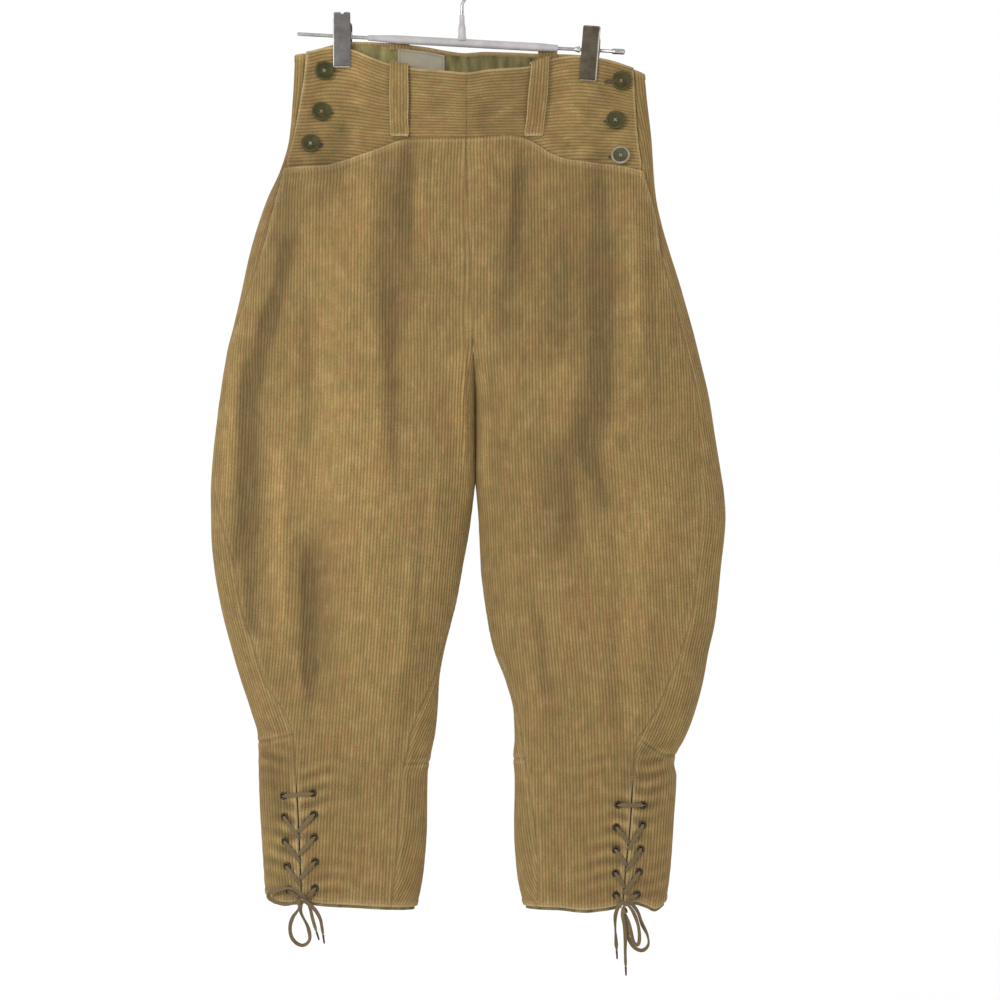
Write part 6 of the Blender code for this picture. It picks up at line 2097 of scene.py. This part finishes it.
@dataclass
class Hanger:
    """The bar with its tip and ferrule, the white sleeve with its stem, and the hook."""

    tailor: Tailor
    finishes: Finishes
    bar_radius: float = 1.8
    tip_radius: float = 2.9
    tip_length: float = 13.0
    ferrule_at: float = 113.2
    ferrule_length: float = 5.2
    ferrule_radius: float = 3.3
    sleeve_from: float = -94.0
    sleeve_to: float = 96.0
    sleeve_radius: float = 4.2
    sleeve_end_radius: float = 2.9
    bore: float = 2.05
    stem_radius: float = 3.7
    stem_top_radius: float = 2.6

    def bar(self) -> None:
        """The drawn bar, with a pressed tip and a ferrule that stops the left clip."""
        (x0, drop0), (x1, drop1) = BAR_ENDS
        length = math.hypot(x1 - x0, drop1 - drop0)
        tip, radius, fat, ring = length - self.tip_length, self.bar_radius, self.tip_radius, self.ferrule_radius
        at, end = self.ferrule_at - x0, self.ferrule_at - x0 + self.ferrule_length
        profile = [(0, 0), (radius - 0.5, 0), (radius, 0.5)]
        profile += [(radius, at), (2.15, at + 0.1), (ring, end - 0.7), (ring, end - 0.1), (radius, end)]
        profile += [(radius, tip - 0.6), (fat - 0.5, tip + 0.3), (fat, tip + 1.1), (fat, length - 1.6)]
        profile += [(fat - 0.5, length - 0.6), (fat - 1.4, length), (0, length)]
        self.tailor.finish("bar", turned(profile, 32, on_bar(x0)), self.finishes.steel, "steel", ("hanger_bar",))

    def sleeve(self) -> None:
        """White vinyl over the middle of the bar, with the moulded stem."""
        start = on_bar(self.sleeve_from)
        length = (on_bar(self.sleeve_to).translation - start.translation).length / MM
        end, full = self.sleeve_end_radius, self.sleeve_radius
        profile = [(self.bore, 0.3), (end - 0.5, 0), (end, 0.6)]
        profile += tapering((end, 0.6), (full, 30.0), 9)
        profile += [(full, length - 20)] + tapering((full, length - 20), (end + 0.5, length - 1), 7)
        profile += [(end, length), (self.bore, length - 0.3)]
        tube = to_mesh("sleeve", turned(profile, 32, start))
        foot = bar_drop(0)
        rise = foot - STEM_TOP
        wide, narrow = self.stem_radius, self.stem_top_radius
        profile = [(0, 2.4), (wide + 1.9, 2.4), (wide + 0.9, 4.2), (wide + 0.3, 6.4), (wide, 9.5), (wide, rise * 0.5)]
        profile += tapering((wide, rise * 0.5), (narrow, rise * 0.74), 6)
        profile += [(narrow - 0.1, rise - 0.8), (narrow - 0.7, rise), (0, rise)]
        stem = to_mesh("stem", turned(profile, 32, stand(np.array([0, 0, -foot]), np.array([0, 0, 1.0]))))
        whole = combined(tube, stem, "UNION")
        self.tailor.dress("sleeve", whole, self.finishes.coating, "coating", ("hanger_sleeve",), 35.0)

    def hook(self) -> None:
        """The wire: up out of the stem, out to the right, and over the rail to its tip."""
        centre = WIRE_RADIUS - HOOK_RADIUS
        apart = HOOK_RADIUS + HOOK_NECK_RADIUS
        meet = math.acos(HOOK_NECK_RADIUS / apart)
        neck = centre - apart * math.sin(meet)
        path = [(0.0, 0.0, -STEM_TOP - 6.0), (0.0, 0.0, -STEM_TOP), (0.0, 0.0, neck)]
        for turn in np.linspace(0, meet, 14)[1:]:
            path.append((HOOK_NECK_RADIUS * (1 - math.cos(turn)), 0.0, neck + HOOK_NECK_RADIUS * math.sin(turn)))
        first = math.degrees(math.atan2(path[-1][2] - centre, path[-1][0]))
        for angle in np.radians(np.linspace(first, HOOK_TIP_ANGLE, 60))[1:]:
            path.append((HOOK_RADIUS * math.cos(angle), 0.0, centre + HOOK_RADIUS * math.sin(angle)))
        points = smooth_route(path, 150)
        run = run_along(points)
        to_tip = np.clip((run[-1] - run) / WIRE_RADIUS, 0, 1)
        across = 2 * WIRE_RADIUS * np.sqrt(np.clip(1 - (1 - to_tip) ** 2, 0.02, 1))
        facing = np.tile([0.0, -1.0, 0.0], (len(points), 1))
        wire = Ribbon(points, facing, across, across, around=20, square=(1.0, 1.0))
        self.tailor.dress("hook", wire.mesh("hook"), self.finishes.steel, "steel", ("hanger_hook",))

    def build(self) -> None:
        """Makes all three."""
        self.bar()
        self.sleeve()
        self.hook()


def quarter_round(distance: Array, radius: float) -> Array:
    """How far an edge is cut in, this far from a corner of a radius."""
    reach = np.clip(radius - distance, 0, radius)
    return radius - np.sqrt(np.clip(radius**2 - reach**2, 0, None))


@dataclass
class Jaw:
    """One bent plate of a clip, in millimetres in the clip's own frame."""

    face: Face
    side: Side
    sheet: float = 0.9
    reach: float = 32.0
    clear: float = 0.8
    width: float = 17.5
    back_narrower: float = 1.3
    back_shift: float = 2.5
    lever: float = field(init=False)
    corner: float = field(init=False)
    half: float = field(init=False)
    shift: float = field(init=False)
    way: float = field(init=False)
    press: float = field(init=False)

    def __post_init__(self) -> None:
        """The front plate is longer and wider, and its lever has sharper corners."""
        front = self.face is Face.FRONT
        self.way = -1.0 if front else 1.0
        self.press = PINCH[self.face.value] + self.clear
        self.lever, self.corner = (23.2, 1.6) if front else (17.0, 6.5)
        self.half = self.width / 2 if front else self.width / 2 - self.back_narrower
        self.shift = 0.0 if front else self.back_shift

    def plate(self) -> tuple[Array, Array, Array]:
        """Grids of points of its outer and its inner side, and the painted highlight along its edges."""
        press, foot, start = self.press, -self.reach, self.press + 1.6
        flare = start + (9.0 - start) * (self.lever - 2) / 24
        line = [(press + 2.1, foot - 0.2), (press + 1.3, foot + 0.9), (press + 0.2, foot + 2.8)]
        line += [(press, -20.0), (press, -9.0), (press + 0.5, -3.0), (start, 2.0), (flare, self.lever)]
        path = smooth_route(line, 70)
        away, run = beside(path), run_along(path)
        left = run[-1] - run
        share = np.sin(np.linspace(-1, 1, 33) * math.pi / 2)
        across = share[None, :] * (self.half - quarter_round(left, self.corner) - quarter_round(run, 1.2))[:, None]
        rim = self.half * (1 + share if self.side is Side.RIGHT else 1 - share)
        raised = 0.45 * bump(rim - 0.6, 0.5)[None, :] * (ease(run, 1, 4) * ease(left, 3, 8))[:, None]
        bowed = 0.25 * (1 - share**2)[None, :] * ease(left, 0, 8)[:, None]
        sides = []
        for thick in (self.sheet + raised + bowed, bowed):
            out, high = (path[:, None, k] + away[:, None, k] * thick for k in (0, 1))
            sides.append(np.stack([across + self.shift, self.way * out, high], axis=-1))
        # A painted highlight: a pale line along one side's rim, the foot's lip and the lever's end, where light
        # catches the edges.
        worn = np.maximum(bump(rim - 0.5, 0.6)[None, :], np.maximum(bump(run, 1.2), 0.5 * bump(left, 0.8))[:, None])
        return sides[0], sides[1], worn

    def ear(self, x: float, frame: Matrix) -> Mesh:
        """One side plate through which the bar passes."""
        outline = [(-2.6, -3.2), (-3.4, -2.2), (-3.4, 2.4), (-2.4, 3.3)]
        outline += [(0.81 * self.press + 3.45, 6.6), (self.press + 1.0, -4.6)]
        bm = bmesh.new()
        rim = [bm.verts.new((x * MM, self.way * y * MM, z * MM)) for y, z in outline]
        pushed = bmesh.ops.extrude_face_region(bm, geom=[bm.faces.new(rim)])["geom"]
        moved = [item for item in pushed if isinstance(item, bmesh.types.BMVert)]
        bmesh.ops.translate(bm, verts=moved, vec=(self.sheet * MM, 0, 0))
        bmesh.ops.recalc_face_normals(bm, faces=bm.faces)
        bmesh.ops.bevel(bm, geom=bm.edges[:], offset=0.2 * MM, segments=1, profile=0.5, affect="EDGES", material=-1)
        bmesh.ops.transform(bm, matrix=frame, verts=bm.verts)
        return to_mesh("ear", bm)

    def ears(self, frame: Matrix) -> list[Mesh]:
        """Both side plates."""
        return [self.ear(x + self.shift, frame) for x in (-self.half, self.half - self.sheet)]

    def cutters(self, frame: Matrix) -> list[Solid]:
        """The bore for the bar and, in the right clip's front lever, the notch."""
        made = [rod(2.15, 40, stand(np.array(frame.translation) / MM, BAR_AXIS), 24)]
        if self.face is Face.FRONT and self.side is Side.RIGHT:
            turn = Matrix.Rotation(math.pi / 2, 4, "X") @ Matrix.Diagonal((2.0, 1.0, 1.0, 1.0))
            turn = turn @ Matrix.Rotation(math.pi, 4, "Z")
            made.append(rod(3.8, 12, frame @ shifted(0.8, -9.0, 24.6) @ turn, 3))
        return made


@dataclass
class Clip:
    """A sprung clip of two bent plates that turn on the bar."""

    side: Side
    finish: bpy.types.Material
    tailor: Tailor
    spring_half: float = 0.3
    frame: Matrix = field(init=False)

    def __post_init__(self) -> None:
        """Finds its own frame: x along the bar, z up, on the bar's axis."""
        x, lean = CLIPS_AT[self.side.value]
        self.frame = shifted(x, 0, -bar_drop(x)) @ Matrix.Rotation(math.radians(lean), 4, "Y")

    def wall(self, name: str, sides: Sequence[Array], worn: Number = 0) -> Mesh:
        """A wall of sheet metal between two grids of points in the clip's frame, with the painted highlight of its
        edges in the state attribute.
        """
        frame = np.array(self.frame)
        outer, inner = (grid @ frame[:3, :3].T + frame[:3, 3] / MM for grid in sides)
        return wall_mesh(name, outer, inner, marks_of(outer.shape[:2], state=(0, worn, 0)))

    def jaw(self, face: Face) -> None:
        """Makes one jaw, with its ears, its bore and its notch."""
        plan = Jaw(face, self.side)
        outer, inner, worn = plan.plate()
        mesh = self.wall("jaw", (outer, inner), worn)
        for ear in plan.ears(self.frame):
            mesh = combined(mesh, ear, "UNION")
        mesh = cut(mesh, plan.cutters(self.frame))
        node = f"clip_{self.side.value}_{face.value}_jaw"
        self.tailor.dress(f"jaw_{self.side.value}_{face.value}", mesh, self.finish, "steel", (node,), 35.0)

    def spring(self) -> None:
        """Makes the bent strip that wraps the bar and pushes the two levers apart."""
        line = [(-5.9, 16), (-4.4, 9), (-2.8, 2), (-2.6, -0.6), (-1.8, -2.6), (0, -3.2)]
        path = smooth_route(line + [(1.8, -2.6), (2.6, -0.6), (2.8, 2), (4.6, 9), (6.5, 16)], 60)
        columns = np.array([-4.0, -3.8, 0.0, 3.8, 4.0])
        sides = []
        for shift in (self.spring_half, -self.spring_half):
            line = path + beside(path) * shift
            across, out, high = np.broadcast_arrays(columns[None, :], line[:, 0:1], line[:, 1:2])
            sides.append(np.stack([across, out, high], axis=-1))
        node = f"clip_{self.side.value}_spring"
        mesh = self.wall("spring", sides)
        self.tailor.dress(f"spring_{self.side.value}", mesh, self.finish, "steel", (node,), 35.0)

    def build(self) -> None:
        """Makes both jaws and the spring."""
        for face in Face:
            self.jaw(face)
        self.spring()


class Line(NamedTuple):
    """A line on the cloth: its points in millimetres, and the outward direction at each."""

    points: Array
    normals: Array


def lying(point: Array, ahead: Array, out: Array) -> Matrix:
    """A frame in metres at a point, with X along ahead and Z out of the cloth."""
    x = unit(ahead)
    z = unit(out - x * float(out @ x))
    return framed(point, (x, np.cross(z, x), z))


def stitches(line: Line, pitch: float = 3.1, half: Sequence[float] = (1.15, 0.3, 0.28), across: bool = False) -> Solid:
    """A row of stitches, each one a bead of thread.

    Args:
        line: where they lie.
        pitch: from one stitch to the next.
        half: a stitch's half length, half width and half thickness.
        across: whether each stitch lies across the line instead of along it.

    Returns:
        Their bmesh.
    """
    run = run_along(line.points)
    count = max(int(run[-1] / pitch), 1)
    at = (np.arange(count) + 0.5) * run[-1] / count
    tables = (line.points, np.gradient(line.points, axis=0), line.normals)
    bm = bmesh.new()
    for point, way, out in zip(*(resampled(table, run, at) for table in tables)):
        bead(lying(point, np.cross(out, way) if across else way, out), half, 1, bm)
    return bm


@dataclass
class Stitching:
    """Thread on the cloth: topstitching, bars across the openings' ends, and buttonholes."""

    body: Body
    tailor: Tailor
    finishes: Finishes
    lift: float = -0.05
    ends_in: float = 3.0
    pocket_clear: float = 60.0

    def line(self, form: LegForm, girth: Array, drop: Array) -> Line:
        """A line on one leg, given by girth and drop."""
        q = form.q_of(girth, drop)
        return Line(form.place(q, drop, self.lift), form.normal(q, drop))

    def beside(
        self,
        form: LegForm,
        edge: Sequence[Spot],
        inset: float,
        start: Callable[[Array], Number],
        end: Callable[[Array], Array],
        clear: float = 0.0,
    ) -> Line:
        """A line beside an edge that runs across a leg.

        Args:
            form: the leg.
            edge: the edge's points.
            inset: how far below the edge it lies, or above it where negative.
            start: the girth where it starts, by drop.
            end: the girth where it ends, by drop.
            clear: how far from the centre front it keeps.

        Returns:
            The line.
        """
        share = np.linspace(0, 1, 220)
        drop = np.full(len(share), float(np.mean(column(edge, "drop"))) + inset)
        for _ in range(5):
            girth = start(drop) * (1 - share) + end(drop) * share
            drop = along(edge, form.x_at(girth, drop)) + inset
        keep = np.abs(form.x_at(girth, drop) - BODY_CENTRE) >= clear
        return self.line(form, girth[keep], drop[keep])

    def down(self, form: LegForm, girth: Callable[[Array], Array], top: float, bottom: float) -> Line:
        """A line down a leg, at a girth given by drop."""
        drop = np.linspace(top, bottom, 120)
        return self.line(form, girth(drop), drop)

    def leg_lines(self, form: LegForm) -> list[Line]:
        """Topstitching of one leg."""
        hem = HEM[form.side]
        yoke_end = float(along(FRONT_WAIST, form.way * 165)) + STITCH_IN
        pocket = float(along(PANEL_TOP, form.way * 170)) + STITCH_IN
        hem_end = float(along(hem, form.way * 165)) - STITCH_IN

        def by_seam(drop: Array) -> Array:
            """Beside the side seam or the yoke's side edge."""
            return form.side_at(drop) - STITCH_IN

        def before_slit(drop: Array) -> Array:
            """Beside the front panel's side edge."""
            return form.side_at(drop) - (slit_gap(drop) + STITCH_IN)

        def behind_slit(drop: Array) -> Array:
            """Beside the calf panel's edge."""
            return form.side_at(drop) + (slit_gap(drop) + STITCH_IN)

        def short_of_round(drop: Array) -> Array:
            """Just short of the centre back and the inside-leg seam."""
            return form.round_at(drop) - self.ends_in

        return [
            self.beside(form, FRONT_WAIST, STITCH_IN, lambda drop: 4.0, by_seam),
            self.down(form, by_seam, yoke_end, pocket - STITCH_IN - 3),
            self.beside(form, PANEL_TOP, STITCH_IN, lambda drop: 20.0, by_seam, self.pocket_clear),
            self.down(form, before_slit, pocket, PLACKET_SHUT - 7),
            self.beside(
                form, BACK_WAIST, STITCH_IN, lambda drop: form.front_length(drop) + self.ends_in, short_of_round
            ),
            self.beside(form, hem, -STITCH_IN, lambda drop: form.inside_at(drop) + self.ends_in, before_slit),
            self.beside(form, hem, -STITCH_IN, behind_slit, short_of_round),
            self.down(form, before_slit, SLIT_OPEN - 6, hem_end),
            self.down(form, behind_slit, SLIT_OPEN - 6, hem_end),
        ]

    def bars(self, form: LegForm) -> list[Solid]:
        """Bars of dense stitches: across the placket's foot and over the slit's head."""
        rows_at = [(PLACKET_SHUT - up, np.linspace(-22.0, -0.5, 30), 2.4, (1.0, 0.34, 0.34)) for up in (6.0, 3.5)]
        rows_at += [(SLIT_TOP + down, np.linspace(-3.4, 3.4, 8), 2.0, (1.1, 0.4, 0.4)) for down in (-1.0, 0.6, 2.2)]
        return [
            stitches(self.line(form, form.side_at(drop) + across, np.full(len(across), drop)), pitch, half)
            for drop, across, pitch, half in rows_at
        ]

    def buttonhole(self, spot: Spot, far: float, near: float = 3.0, half: float = 1.25) -> tuple[Solid, Solid]:
        """A buttonhole, which runs from under its button toward the centre.

        Args:
            spot: the button's place.
            far: how far from it the slot ends.
            near: how far from it the slot starts.
            half: half of its width.

        Returns:
            A dark bead that paints the shade inside the slot's opening, and the stitches round it.
        """
        way = -math.copysign(1.0, spot.x)
        turn = np.linspace(-math.pi / 2, math.pi / 2, 7)
        rim = [(near, -half), (far - 4, -half)] + [(far + half * math.cos(t), half * math.sin(t)) for t in turn]
        rim += [(far - 4, half), (near, half)]
        places = [(spot.x + way * x, spot.drop + down) for x, down in rim]
        points = np.array([self.body.at(x, drop, 0.3) for x, drop in places])
        normals = np.array([self.body.normal(x, drop) for x, drop in places])
        run = run_along(points)
        even = np.linspace(0, run[-1], 60)
        line = Line(resampled(points, run, even), resampled(normals, run, even))
        middle = spot.x + way * (near + far) / 2
        ahead = self.body.at(middle + 2, spot.drop) - self.body.at(middle - 2, spot.drop)
        frame = lying(self.body.at(middle, spot.drop, 0.2), ahead, self.body.normal(middle, spot.drop))
        # The dark bead stands for the painted shade inside the buttonhole's opening.
        return bead(frame, ((far - near) / 2, 0.75, 0.35), 2), stitches(line, 0.8, (1.0, 0.36, 0.4), True)

    def loop_foot(self, loop: BeltLoop) -> Solid:
        """The row of stitches across a loop's foot."""
        xs, drop = loop.x + np.linspace(-7.6, 7.6, 12), loop.foot - 7.2
        out = 2.1 if loop.face is Face.FRONT else 2.8
        points = np.array([self.body.at(x, drop, out, loop.face) for x in xs])
        normals = np.array([self.body.normal(x, drop, loop.face) for x in xs])
        return stitches(Line(points, normals), 2.5, (1.05, 0.36, 0.36))

    def build(self, loops: Sequence[BeltLoop]) -> None:
        """Makes every row of thread."""
        thread_of, dark = self.finishes.thread, self.finishes.dark_thread
        rows_of = {}
        for side, form in self.body.forms.items():
            rows_of[f"topstitching_{side.value}"] = ([stitches(line) for line in self.leg_lines(form)], thread_of)
            rows_of[f"bars_{side.value}"] = (self.bars(form), thread_of)
        rows_of["loop_stitches"] = ([self.loop_foot(loop) for loop in loops], thread_of)
        reach = {key: 14.6 if key.endswith("1") else 11.0 for key in BUTTONS}
        # The slots are dark beads of painted shade.
        slot_shades, rims = zip(*(self.buttonhole(seen(spot), reach[key]) for key, spot in BUTTONS.items()))
        rows_of |= {"buttonhole_slot_shades": (slot_shades, dark), "buttonhole_stitches": (rims, dark)}
        for name, (parts, finish) in rows_of.items():
            self.tailor.finish(name, joined(parts), finish, "corduroy")


@dataclass
class Studio:
    """Camera, soft light and a pale floor."""

    eye: tuple[float, float, float] = (0.038, -3.0, -0.547)
    aim: tuple[float, float, float] = (0.0, 0.0, -0.55)
    lens: float = 108.0
    sensor: float = 36.0
    floor_drop: float = 1.25
    floor_radius: float = 4.0
    world: float = 1.0
    key: float = 35.0
    fill: float = 8.0

    def add(self, name: str, data: bpy.types.ID, place: Sequence[float] = (0, 0, 0)) -> Piece:
        """Links an object at a place."""
        obj = bpy.data.objects.new(name, data)
        obj.location = place
        bpy.context.scene.collection.objects.link(obj)
        return obj

    def camera(self) -> None:
        """The photograph's view: level, from the front."""
        data = bpy.data.cameras.new("camera")
        data.lens, data.sensor_width = self.lens, self.sensor
        camera = self.add("camera", data, self.eye)
        camera.rotation_euler = (math.pi / 2, 0, 0)
        bpy.context.scene.camera = camera

    def floor(self) -> None:
        """A plain pale disc well below the hem."""
        bm = bmesh.new()
        bmesh.ops.create_circle(bm, cap_ends=True, segments=96, radius=self.floor_radius)
        bmesh.ops.translate(bm, verts=bm.verts, vec=(0, 0, -self.floor_drop))
        floor = self.add("floor", to_mesh("floor", bm))
        nodes = Nodes("pale_floor")
        shade = nodes.noise(nodes.place(), 3.0)
        colour = nodes.mix(shade, linear(252, 252, 252), linear(254, 254, 254))
        floor.data.materials.append(nodes.paint(colour, 0.9))

    def lamp(self, name: str, place: tuple[float, float, float], size: float, power: float) -> None:
        """One soft lamp aimed at the middle of the object."""
        data = bpy.data.lights.new(name, "AREA")
        data.size, data.energy = size, power
        ahead = Vector(self.aim) - Vector(place)
        self.add(name, data, place).rotation_euler = ahead.to_track_quat("-Z", "Y").to_euler()

    def light(self) -> None:
        """Even light all round, a key lamp from the upper left and a weak fill."""
        world = bpy.data.worlds.new("studio_air")
        world.use_nodes = True
        inputs = world.node_tree.nodes["Background"].inputs
        inputs["Color"].default_value = (1.0, 1.0, 1.0, 1.0)
        inputs["Strength"].default_value = self.world
        bpy.context.scene.world = world
        self.lamp("key", (-1.4, -2.1, 0.1), 0.6, self.key)
        self.lamp("fill", (1.6, -2.2, -0.2), 1.2, self.fill)
        bpy.context.scene.view_settings.view_transform = "Standard"

    def build(self) -> None:
        """Sets it all up."""
        self.camera()
        self.floor()
        self.light()


@dataclass
class Breeches:
    """The garment: its panels, and all that is sewn, laced or buttoned on them."""

    tailor: Tailor
    finishes: Finishes
    nodes: dict[str, Piece]
    yoke_size: tuple[float, float, float] = (0.19, 0.115, 0.0175)
    forms: dict[Side, LegForm] = field(default_factory=dict)
    pairs: dict[Side, list[tuple[Eyelet, Eyelet]]] = field(default_factory=dict)
    loops: dict[str, BeltLoop] = field(default_factory=dict)

    def __post_init__(self) -> None:
        """Works out both legs, the eyelets' places and the loops."""
        for side, table in ((Side.RIGHT, RIGHT_LEG), (Side.LEFT, LEFT_LEG)):
            self.forms[side] = LegForm(side, table)
            self.pairs[side] = [tuple(self.eyelet(side, seen(Spot(*spot))) for spot in pair) for pair in EYELETS[side]]
        for name, (x, foot, lean) in LOOPS.items():
            self.loops[name] = BeltLoop(x, Face(name.split("_")[0]), foot, lean)

    def eyelet(self, side: Side, spot: Spot) -> Eyelet:
        """An eyelet at a spot of a leg's front."""
        form = self.forms[side]
        q = form.q_at(spot.x, spot.drop)
        return Eyelet(form.place(q, spot.drop), form.normal(q, spot.drop))

    def cloth(self, name: str, mesh: Mesh, node: str) -> Piece:
        """A corduroy piece that stands for a CAD node."""
        return self.tailor.dress(name, mesh, self.finishes.corduroy, "corduroy", (node,), None)

    def panels(self) -> None:
        """Yokes, front, back and calf panels of both legs, with the eyelets' holes."""
        for number, side in enumerate(Side):
            form = self.forms[side]
            yoke = Yoke(form, f"yoke_{side.value}", 31.0 + number)
            self.cloth(yoke.name, yoke.mesh(), f"front_yoke_{side.value}")
            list(self.yoke_size)
            for kind, first in ((FrontPanel, "front"), (BackPanel, "back"), (CalfPanel, "calf")):
                panel = kind(form, f"{first}_{side.value}", 7.0 * number + len(first))
                mesh = panel.mesh()
                if kind is not BackPanel:
                    which = 0 if kind is CalfPanel else 1
                    mesh = cut(mesh, [pair[which].hole() for pair in self.pairs[side]], "MANIFOLD")
                piece = self.cloth(panel.name, mesh, f"{first}_panel_{side.value}")
                width, length, area = panel.flat_area()
                round(min(area, width * length), 4)

    def waist(self, body: Body) -> None:
        """The belt loops, the facing inside the back and its label."""
        for name, loop in self.loops.items():
            piece = self.cloth(f"loop_{name}", loop.mesh(f"loop_{name}", body), f"belt_loop_{name}")
            loop.length()
        facing, label = Facing(), Label()
        lined = ((facing, "facing", "twill", "waist_facing"), (label, "label", "label", "label_blank"))
        for plan, name, slot, node in lined:
            finish = getattr(self.finishes, name)
            piece = self.tailor.dress(name, plan.mesh(name, body), finish, slot, (node,))

    def tapes(self) -> None:
        """The tape inside each hem."""
        for side, form in self.forms.items():
            tape, name = HemTape(form), f"tape_{side.value}"
            piece = self.tailor.dress(name, tape.mesh(name), self.finishes.tape, "twill", (f"hem_tape_{side.value}",))
            tape.length()

    def buttons(self) -> None:
        """Six buttons, one of them an odd one, each sewn on with thread."""
        for key in BUTTONS:
            button = Button(f"button_{key}")
            frame = button.frame(self.nodes[button.name])
            slot = "grey_button" if key == ODD_BUTTON else "button"
            finish = getattr(self.finishes, slot)
            self.tailor.dress(f"disc_{key}", button.body(frame), finish, slot, (button.name,), 35.0)
            sewn = self.finishes.thread if key in DARK_THREADS else self.finishes.pale_thread
            self.tailor.finish(f"button_thread_{key}", button.thread(frame), sewn, slot)

    def lace_piece(self, name: str, ribbon: Ribbon, node: str) -> tuple[Piece, list[list[float]]]:
        """A run of lace that stands for a CAD node, and its path in metres."""
        piece = self.tailor.dress(name, ribbon.mesh(name), self.finishes.lace, "lace", (node,))
        return piece, (ribbon.path * MM).tolist()

    def laces(self) -> None:
        """Eyelets, the lacing through them, and the bow below."""
        for side, form in self.forms.items():
            for number, pair in enumerate(self.pairs[side], 1):
                for word, eyelet in zip(("outer", "inner"), pair):
                    end = f"{side.value}_{word}_{number}"
                    self.tailor.finish(
                        f"ring_{end}", eyelet.ring(), self.finishes.eyelet, "eyelet", (f"eyelet_{end}",)
                    )
            lacing = Lacing(form, self.pairs[side])
            ribbon = lacing.ribbon()
            piece, path = self.lace_piece(f"lace_{side.value}", ribbon, f"lacing_{side.value}")
            round(ribbon.length(), 3)
            self.bow(side)

    def bow(self, side: Side) -> None:
        """The bow's two runs with their tips, and its knot."""
        bow = Bow(side)
        for letter, run in zip("ab", bow.halves()):
            node = f"bow_{side.value}_tip_{letter}"
            tip = self.tailor.finish(
                f"tip_{side.value}_{letter}", bow.tip(run), self.finishes.tip, "eyelet", (node,)
            )
            piece, path = self.lace_piece(f"bow_run_{side.value}_{letter}", run, f"bow_{side.value}")
            length, width = round(run.length(), 3), bow.width * MM
        name = f"knot_{side.value}"
        self.tailor.dress(name, bow.knot(name), self.finishes.lace, "lace")

    def build(self) -> None:
        """Makes the whole garment."""
        body = Body(self.forms)
        self.panels()
        self.waist(body)
        self.tapes()
        self.buttons()
        self.laces()
        Stitching(body, self.tailor, self.finishes).build(list(self.loops.values()))


def main() -> None:
    """Builds the looks, piece by piece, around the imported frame."""
    logging.basicConfig(level=logging.INFO, format="%(message)s")
    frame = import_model()
    finishes = all_finishes()
    tailor = Tailor()
    Studio().build()
    Breeches(tailor, finishes, frame["nodes"]).build()
    Hanger(tailor, finishes).build()
    Clip(Side.RIGHT, finishes.bright_clip, tailor).build()
    Clip(Side.LEFT, finishes.dull_clip, tailor).build()
    LOG.info("%d pieces", len(tailor.made))


if __name__ == "__main__":
    main()
